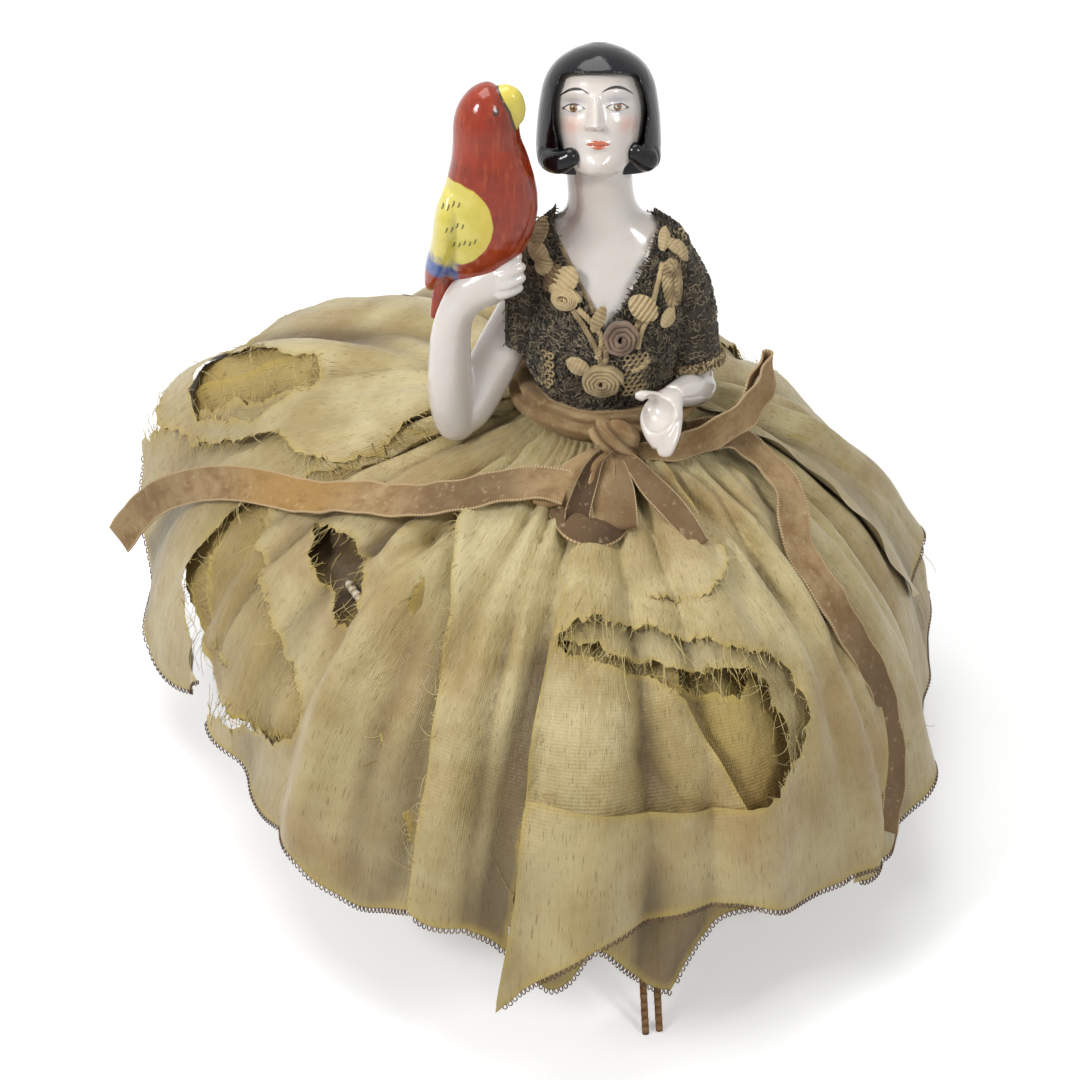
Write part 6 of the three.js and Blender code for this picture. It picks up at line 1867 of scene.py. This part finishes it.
# The left sleeve's end is cut upright, this far out
ARMHOLE = -25.5
SLEEVE_HEM = [(21.6, -2.2, 23.4, 5.2, 5.2), (22, -2.6, 21.4, 5.1, 5.1)]


def make_sleeves():
    """Two knitted sleeves in stitches, and the bound hem of the right one."""
    random = np.random.default_rng(37)
    for name, stations, node in (("sleeve_right_knit", SLEEVE_RIGHT, "sleeve"),
                                 ("sleeve_left_knit", SLEEVE_LEFT, "sleeve_left")):
        points, faces, skin = sleeve_shell(stations, 1.9, 0.7)
        points[:, 0] = np.maximum(points[:, 0], ARMHOLE)
        shape = Shape().add(points, faces, shade=0.15)
        row = random.integers(1, SLEEVE_ROWS - 1, SLEEVE_STITCHES)
        column = random.integers(0, SLEEVE_SIDES, SLEEVE_STITCHES)
        share = random.uniform(0, 1, (SLEEVE_STITCHES, 1))
        place = skin[row, column] + (skin[row + 1, column] - skin[row, column]) * share
        kept = place[:, 0] > ARMHOLE
        place, row, column = place[kept], row[kept], column[kept]
        ways = unit(place - skin[row].mean(1))
        across = skin[row, (column + 1) % SLEEVE_SIDES] - skin[row, column - 1]
        loops = Shape()
        yarn(loops, place, ways, across, random, shade=0.6)
        knit = make(name, shape, KNIT, "knit", node, to_doll=bust)
        stitches = make(name + "_stitches", loops, KNIT, "knit", node, to_doll=bust)
    points, faces, skin = sleeve_shell(SLEEVE_HEM, 2.5, 1.2, HEM_ROWS)
    shape = Shape().add(points, faces, shade=0.3)
    row, column = (numbers.ravel() for numbers in np.indices((HEM_ROWS - 2, SLEEVE_SIDES)))
    row = row + 1
    ways = unit(skin[row, column] - skin[row].mean(1))
    slant = np.tile([0.3, 0, 1.0], (len(row), 1))
    yarn(shape, skin[row, column], ways, slant, random, 1.3, 0.24, 0.4, 0.55, 0.3)
    make("sleeve_edge", shape, TRIM, "ribbon_trim", "sleeve_hem", to_doll=bust)


# Ribbon work on the bodice, in the bust's frame


def rope(path, ways, radius, strand, pitch, count=3):
    """Strands twisted round one another along a path on the bodice."""
    headings = unit(np.gradient(path, axis=0))
    side = np.cross(ways, headings)
    steps = run_along(path)
    twisted = []
    for number in range(count):
        turn = 2 * math.pi * (steps / pitch + number / count)
        offset = side * (radius * np.cos(turn))[:, None] + ways * (0.7 * radius * np.sin(turn))[:, None]
        twisted.append(tube(path + offset, strand, 7))
    return twisted


def sideways_and_up(way):
    """The ways to the side and upwards along a surface that faces a way."""
    side = unit(np.cross(way, np.array([0.0, 0, 1])))
    return side, np.cross(side, way)


def coil(at, grow, radii, turns, tall, wide):
    """A ribbon wound on edge into a spiral, higher towards its middle."""
    place, way = on_front(at[0], at[1], grow)
    side = unit(np.cross(np.array([0.0, 0, 1]), way))
    upward = np.cross(way, side)
    angle = np.linspace(0, 2 * math.pi * turns, int(26 * turns))
    share = 1 - 0.86 * angle / angle[-1]
    ring = (side * (np.cos(angle) * radii[0] * share)[:, None]
            + upward * (np.sin(angle) * radii[1] * share)[:, None])
    crown = 0.45 * tall * (1 - share) ** 0.7
    path = place + ring + way * (tall / 2 + crown)[:, None]
    wobble = 0.12 * np.sin(7 * angle)[:, None] * unit(ring)
    return strip(path + wobble, unit(ring), tall, wide, 5)


LEAF_STAND, LEAF_FOLD, LEAF_PLACES = 0.9, 0.5, 41


def leaf(at, grow, length, width, turn, pleats):
    """A folded petal of ribbon with pleats across it."""
    place, way = on_front(at[0], at[1], grow)
    side, upward = sideways_and_up(way)
    heading = side * math.cos(math.radians(turn)) + upward * math.sin(math.radians(turn))
    share = np.linspace(-1, 1, LEAF_PLACES)
    stand = LEAF_STAND + 0.5 * (1 - share**2)
    path = place + heading * (share * length / 2)[:, None] + way * stand[:, None]
    widths = width * np.maximum(1 - share**2, 0.004) ** 0.55

    def rise(shares, steps):
        return LEAF_FOLD * (1 - np.abs(shares)) + pleats * np.sin(5.2 * steps) * (0.4 + np.abs(shares))

    return strip(path, np.tile(way, (LEAF_PLACES, 1)), widths, 0.45, 11, rise)


def add_fibres(shape, made, shade):
    """A strip, tube or coil of ribbon in one shade that drifts along it."""
    points, faces = made[:2]
    drift = 0.12 * np.sin(np.arange(len(points)) * 0.05)
    shape.add(points, faces, shade=np.clip(shade + drift, 0, 1))


def front_route(places, grow, count=60):
    """A smooth route over the front of the body, and the ways out along it."""
    flat = smooth_path(places, count)
    return on_front(flat[:, 0], flat[:, 1], grow)


def crochet(shape, low, high, columns, rows, grow, shade, ring):
    """A patch of open crochet between two corners: rows of small thread rings side by side."""
    turns = np.linspace(0, 2 * math.pi, 10)
    for row in range(rows):
        for column in range(columns):
            share = np.array([(column + 0.5 * (row % 2)) / max(1, columns - 0.5), row / max(1, rows - 1)])
            across, up = np.array(low) + share * (np.array(high) - np.array(low))
            place, way = on_front(across + 0.15 * math.sin(5 * row), up, grow + 0.5)
            side, upward = sideways_and_up(way)
            path = place + ring * (side * np.cos(turns)[:, None] + upward * np.sin(turns)[:, None])
            add_fibres(shape, tube(path + way * 0.2 * np.sin(2 * turns)[:, None], 0.26, 5), shade)


class Trims:
    """Ribbon work, gathered under the name of its CAD node until all of it is there."""

    def __init__(self):
        self.gathered = {}

    def add(self, name, made, shade, paint=TRIM):
        shape, _ = self.gathered.setdefault(name, (Shape(), paint))
        add_fibres(shape, made, shade)

    def make(self):
        for name, (shape, paint) in self.gathered.items():
            make("trim_" + name, shape, paint, "ribbon_trim", name, to_doll=bust)


BUTTON_AT, BUTTON_SIZE, BUTTON_CORDS = (-15.2, 51.5), (2.7, 1.9, 2.5), 13
LEFT_LOOP_AT, LEFT_LOOP_RINGS = (-10.4, 45), 5
LEFT_LOOP_COILS = [
    # radii, turns, height and shade
    ((3.7, 2.8), 1.6, 1.6, 0.85), ((2.6, 1.9), 1.2, 2.1, 0.95),
]
LONG_LOOP = [
    (12.9, 50.5), (13.4, 47), (14.4, 43.4), (15.6, 42.4), (16.8, 43.6), (17, 47), (16.4, 50.6), (15.2, 52.6),
    (13.6, 52.4),
]
# How much of the long loop each of its rounds keeps, and its shade
LONG_LOOP_ROUNDS = [(1.0, 0.5), (0.66, 0.6), (0.36, 0.5)]
LEAVES = [
    # name, place, length, width, turn in degrees, pleats, shade
    ("leaf_shoulder_left_upper", (-16.4, 57.6), 7.6, 5.6, 62, 0.1, 0.4),
    ("leaf_shoulder_left_lower", (-16.6, 54.2), 7.6, 4.6, 24, 0.05, 0.75),
    ("leaf_fan_left", (-10.2, 49.6), 7.2, 6, -62, 0.28, 0.85),
    ("leaf_fan_left", (-13.4, 49.4), 7.8, 3.6, -68, 0.03, 0.2),
    ("leaf_fan_left", (-12.6, 47.2), 4.4, 3.4, 200, 0.06, 0.7),
    ("leaf_lower_left", (-7.2, 29.2), 6.2, 5.2, 24, 0.04, 0.7),
    ("leaf_lower_left", (-2.7, 41.2), 7, 3.2, -68, 0.02, 0.5),
    ("leaf_fan_right", (7.6, 43.4), 8.4, 6, 42, 0.3, 0.85),
    ("leaf_fan_right", (13.4, 39.8), 5.4, 4.2, -40, 0.05, 0.8),
    ("leaf_shoulder_right_inner", (12.4, 57.2), 6.4, 3.2, 122, 0.06, 0.75),
    ("leaf_shoulder_right_inner", (14.6, 55.4), 5.4, 3, 60, 0.05, 0.7),
    ("leaf_shoulder_right_outer", (16.4, 54.2), 6, 3.4, 76, 0.06, 0.65),
]
STEMS = {
    "stem_left": [
        [(-12.6, 52.6), (-12, 48.6), (-10.6, 45)],
        [(-9, 43), (-5.8, 38.6), (-3, 33.4), (-2, 29.6)],
        [(-7.8, 43.4), (-4, 40), (-1.9, 36.6), (-3, 31.6)],
        [(-1.9, 37.6), (-0.8, 32.6), (-1.6, 29.8)],
    ],
    "stem_right": [
        [(12.6, 53), (10.8, 46), (9.6, 41.6), (7.6, 38), (6.8, 33.8)],
        [(8.2, 41.4), (6, 38.6), (5.4, 35)],
        [(9.6, 30), (7.4, 28), (5.6, 27.4)],
    ],
}
LACE = [
    # name, lower and upper corner, columns, rows, extra growth, shade, radius of a ring
    ("leaf_shoulder_right_outer", (14.6, 51.6), (18, 57.4), 3, 5, 0, 0.6, 0.7),
    ("leaf_lower_left", (-18.2, 20.6), (-14.2, 30.5), 3, 8, 1.6, 0.5, 0.8),
    ("leaf_shoulder_left_upper", (-17.6, 56.6), (-14.4, 60.4), 2, 3, 0, 0.5, 0.7),
    ("stem_right", (4.2, 20.6), (9.4, 31.5), 4, 9, 0, 0.62, 0.72),
]
NECK_EDGE_LEFT = [(-12.6, 57), (-9, 51), (-5.4, 44.6), (-2, 38.8)]
NECK_EDGE_RIGHT = [(10.6, 58), (7.6, 52.4), (4.6, 47.6)]


def add_button(trims):
    """A puffed button with cords side by side over it."""
    button, way = on_front(*BUTTON_AT, KNIT_GROWTH)
    trims.add("rosette_button", ball(button + way * 0.6, BUTTON_SIZE, 14, 20), 0.7)
    side, _ = sideways_and_up(way)
    for number in range(BUTTON_CORDS):
        share = (number - (BUTTON_CORDS - 1) / 2) / 6.4
        half = math.sqrt(1 - share**2)
        arc = np.linspace(-1.35, 1.35, 14)
        over = way * (0.55 + 2.15 * half * np.cos(arc))[:, None]
        over = over + side * (2.75 * half * np.sin(arc))[:, None]
        path = button + over + np.array([0, 0, 2.5 * share + 0.12 * math.sin(3.1 * number)])
        trims.add("rosette_button", tube(path, 0.2, 5), 0.75 + 0.2 * math.sin(2.3 * number))


def add_left_loop(trims):
    """A flat rosette of two coils with rings of cord stacked over them."""
    for radii, turns, tall, shade in LEFT_LOOP_COILS:
        trims.add("rosette_loop_left", coil(LEFT_LOOP_AT, KNIT_GROWTH, radii, turns, tall, 0.9), shade)
    place, way = on_front(*LEFT_LOOP_AT, KNIT_GROWTH)
    side, upward = sideways_and_up(way)
    arc = np.linspace(0, 2 * math.pi, 26)
    for number in range(LEFT_LOOP_RINGS):
        size = 3.4 - 0.42 * number
        path = (place + side * (size * np.cos(arc))[:, None] + upward * (0.74 * size * np.sin(arc))[:, None]
                + way * (1.6 + 0.3 * number + 0.15 * np.sin(3 * arc + number))[:, None])
        trims.add("rosette_loop_left", tube(path, 0.26, 5), 0.9)


def add_spirals(trims):
    """The two wound rosettes down the middle of the front."""
    trims.add("rosette_centre", coil((2.4, 36.6), KNIT_GROWTH, (4.2, 4.3), 3.2, 2.2, 0.95), 0.45, DUSKY)
    trims.add("rosette_large", coil((-1.6, 25.4), KNIT_GROWTH, (4.9, 4.5), 4.2, 2.4, 0.85), 0.62)


def add_long_loop(trims):
    """The long rosette at the right: rounds of rope, each inside the last."""
    flat = smooth_path(LONG_LOOP, 70, closed=True)
    middle = flat.mean(0)
    for kept, shade in LONG_LOOP_ROUNDS:
        shrunk = middle + (flat - middle) * np.array([kept, 1 - (1 - kept) * 0.5])
        path, ways = on_front(shrunk[:, 0], shrunk[:, 1], KNIT_GROWTH + 0.9 + 0.5 * (1 - kept))
        for made in rope(np.vstack([path, path[:1]]), np.vstack([ways, ways[:1]]), 0.5, 0.5, 2.6, 2):
            trims.add("rosette_loop_right", made, shade)


def add_leaves(trims):
    """Pleated ribbon leaves round the rosettes and on the shoulders."""
    for name, at, length, width, turn, pleats, shade in LEAVES:
        trims.add(name, leaf(at, KNIT_GROWTH, length, width, turn, pleats), shade)


def add_stems(trims):
    """Twisted stems between the rosettes."""
    for name, routes in STEMS.items():
        for number, route in enumerate(routes):
            path, ways = front_route(route, KNIT_GROWTH + 0.8)
            for made in rope(path, ways, 0.4, 0.38, 2.4 + 0.3 * number):
                trims.add(name, made, 0.55 + 0.12 * (-1) ** number)


def add_lace(trims):
    """Patches of open crochet, each with the leaf or stem that it lies beside."""
    for name, low, high, columns, rows, more, shade, ring in LACE:
        shape, _ = trims.gathered[name]
        crochet(shape, low, high, columns, rows, KNIT_GROWTH + more, shade, ring)


def add_edges(trims):
    """A rope along the left of the neckline and another round the bodice's lower edge."""
    path, ways = front_route(NECK_EDGE_LEFT, 0.9)
    for made in rope(path, ways, 0.4, 0.4, 2.0):
        trims.add("neck_edge_left", made, 0.45)
    angle = np.linspace(0, 360, 150, endpoint=False)
    place, ways = on_body(angle, np.full(len(angle), BODICE_BOTTOM), KNIT_GROWTH)
    place[:, 2] += LEVEL_SLOPE * place[:, 1]
    for made in rope(np.vstack([place, place[:1]]), np.vstack([ways, ways[:1]]), 0.6, 0.5, 2.2):
        trims.add("bodice_braid", made, 0.4)


def make_neck_chain():
    """White chain stitch along the right of the neckline."""
    path, ways = front_route(NECK_EDGE_RIGHT, 1.2, 24)
    side = np.cross(ways, unit(np.gradient(path, axis=0)))
    chain = Shape()
    for slant in (-1, 1):
        ends = np.stack([path[:-1] + side[:-1] * slant * 0.75 + ways[:-1] * 0.3, path[:-1] + ways[:-1] * 0.5,
                         path[1:] + side[1:] * slant * 0.1 + ways[1:] * 0.2], 1)
        strands(chain, ends, 0.24, 0.9, 5)
    make("neck_chain", chain, WHITE_THREAD, "thread", "neck_edge_right", to_doll=bust)


def make_trims():
    """All the ribbon work: rosettes, leaves, stems, lace and edges."""
    trims = Trims()
    for add in (add_button, add_left_loop, add_spirals, add_long_loop,
                add_leaves, add_stems, add_lace, add_edges):
        add(trims)
    make_neck_chain()
    trims.make()


# Crinoline frame: wire bound in tape, hidden but for its feet and what the tears show

WIRE_RADIUS, LEG_RADIUS = 1.2, 1.0
WAIST_HOOP_REACH, WAIST_HOOP_UP = 17.4, -2
SHOULDER_REACH, BASE_REACH, HOOPS_X = 66, 84, -7
SHOULDER_UP, BASE_UP, SHOULDER_TILT = 91, 40, 1.5
LEG_BEARINGS, PRONG_SPACING, FOOT_REACH = {"front": 7, "right": 127, "left": -113}, 3.6, 101.5
# Between a leg and the hoops, and what two prongs side by side need more than one on its own
LEG_GAP, PRONG_ROOM = 0.3, 0.5
TAPE_THICKNESS, TAPE_STEP, FOOT_UP = 0.12, 0.5, 0.05
STITCH_COUNT, FIRST_STITCH, STITCH_RADIUS, STITCH_APART = 4, 45, 0.2, 0.32
STITCH_OUTLINE = [
    # reach and height of a stitch round the flange and the waist hoop
    (10.6, 0), (17.65, 0), (18.95, -0.5), (19.25, -2), (18.95, -3.85), (17.65, -4.25), (10.6, -4.25),
    (10.2, -2.1),
]


def around(bearing, reach, up=0.0):
    """A place at a bearing to the right of the front, a reach from the axis and a height."""
    turn = np.radians(bearing)
    return np.stack([reach * np.sin(turn), -reach * np.cos(turn), up + 0 * turn], -1)


def bound(path, radius, sides=14, closed=False):
    """A wire with tape wound round it, each turn lapping the last, and the run along it of each point."""
    path = evenly(np.vstack([path, path[:1]]) if closed else path, TAPE_STEP)
    steps = TAPE_STEP * np.arange(len(path))
    lap = TAPE_THICKNESS * ((steps * TAPE_TURNS) % 1)
    points, faces = tube(path, radius - TAPE_THICKNESS + lap, sides, closed)
    return points, faces, np.repeat(steps, sides)


def hoop_reach(bearing, reach, inset):
    """How far from the waist's axis a hoop, which stands off that axis, runs at a bearing."""
    turn = math.radians(bearing)
    return HOOPS_X * math.sin(turn) + math.sqrt((reach - inset) ** 2 - (HOOPS_X * math.cos(turn)) ** 2)


def leg_path(bearing):
    """A doubled leg: up one prong inside the hoops, over a crown at the waist hoop and down the other."""
    inset = WIRE_RADIUS + LEG_RADIUS + LEG_GAP
    half = PRONG_SPACING / 2
    bend = bust(around(np.array([bearing]), WAIST_HOOP_REACH + inset + 0.2, WAIST_HOOP_UP))[0]
    reach = hoop_reach(bearing, SHOULDER_REACH, inset + PRONG_ROOM)
    fall = (reach * math.sin(math.radians(bearing)) - HOOPS_X) * math.tan(math.radians(SHOULDER_TILT))
    shoulder = around(bearing, reach, SHOULDER_UP - fall)
    base = around(bearing, hoop_reach(bearing, BASE_REACH, inset + PRONG_ROOM), BASE_UP)
    down = [bend, (bend + shoulder) / 2 + np.array([0, 0, 3]), shoulder,
            (shoulder + base) / 2 + around(bearing, 1.5), base, around(bearing, FOOT_REACH, 0)]
    prong = smooth_path(down, 60)
    sideways = around(bearing + 90, 1.0)
    crown = [bend + sideways * share * half + np.array([0, 0, half * math.sqrt(1 - share**2)])
             for share in (-0.6, 0, 0.6)]
    return np.vstack([(prong - sideways * half)[::-1], crown, prong + sideways * half])


def make_hoops():
    """Waist, shoulder and base hoop, each bound in tape."""
    ring = np.arange(0, 360, 3.0)
    waist = around(ring, WAIST_HOOP_REACH, WAIST_HOOP_UP)
    tilt = np.array(Matrix.Rotation(math.radians(SHOULDER_TILT), 4, "Y"))
    shoulder = moved(around(ring, SHOULDER_REACH), tilt) + np.array([HOOPS_X, 0, SHOULDER_UP])
    base = around(ring, BASE_REACH, BASE_UP) + np.array([HOOPS_X, 0, 0])
    hoops = [("waist_hoop", waist, bust, TAPE), ("shoulder_hoop", shoulder, None, CREAM_TAPE),
             ("base_hoop", base, None, TAPE)]
    for name, path, to_doll, paint in hoops:
        points, faces, steps = bound(path, WIRE_RADIUS, closed=True)
        hoop = Shape().add(points, faces, shade=steps)
        make(name + "_wire", hoop, paint, "taped_wire", name, to_doll=to_doll)


def make_legs():
    """The three doubled legs, their feet cut flat just over the table."""
    for name, bearing in LEG_BEARINGS.items():
        points, faces, steps = bound(leg_path(bearing), LEG_RADIUS, 12)
        points[:, 2] = np.maximum(points[:, 2], FOOT_UP)
        make("leg_wire_" + name, Shape().add(points, faces, shade=steps), TAPE, "taped_wire", "leg_" + name)


def make_stitches():
    """Doubled threads that tie the porcelain flange to the waist hoop."""
    for number in range(STITCH_COUNT):
        bearing = FIRST_STITCH + 360 / STITCH_COUNT * number
        path = smooth_path([around(bearing, reach, up) for reach, up in STITCH_OUTLINE], 60, closed=True)
        thread = Shape()
        for side in (-STITCH_APART / 2, STITCH_APART / 2):
            points, faces = tube(path + around(bearing + 90, side), STITCH_RADIUS, 6, closed=True)
            thread.add(points, faces, shade=0.8)
        make(f"thread_{number + 1}", thread, THREAD, "thread", f"sewing_thread_{number + 1}", to_doll=bust)


make_bust()
make_hair()
make_raised_arm()
make_lowered_arm()
make_parrot()
make_skirt()
make_sash()
make_bodice()
make_sleeves()
make_trims()
make_hoops()
make_legs()
make_stitches()

# Sizes

size = {"cad": cad_box, "visual": [list(corner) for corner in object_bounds()]}
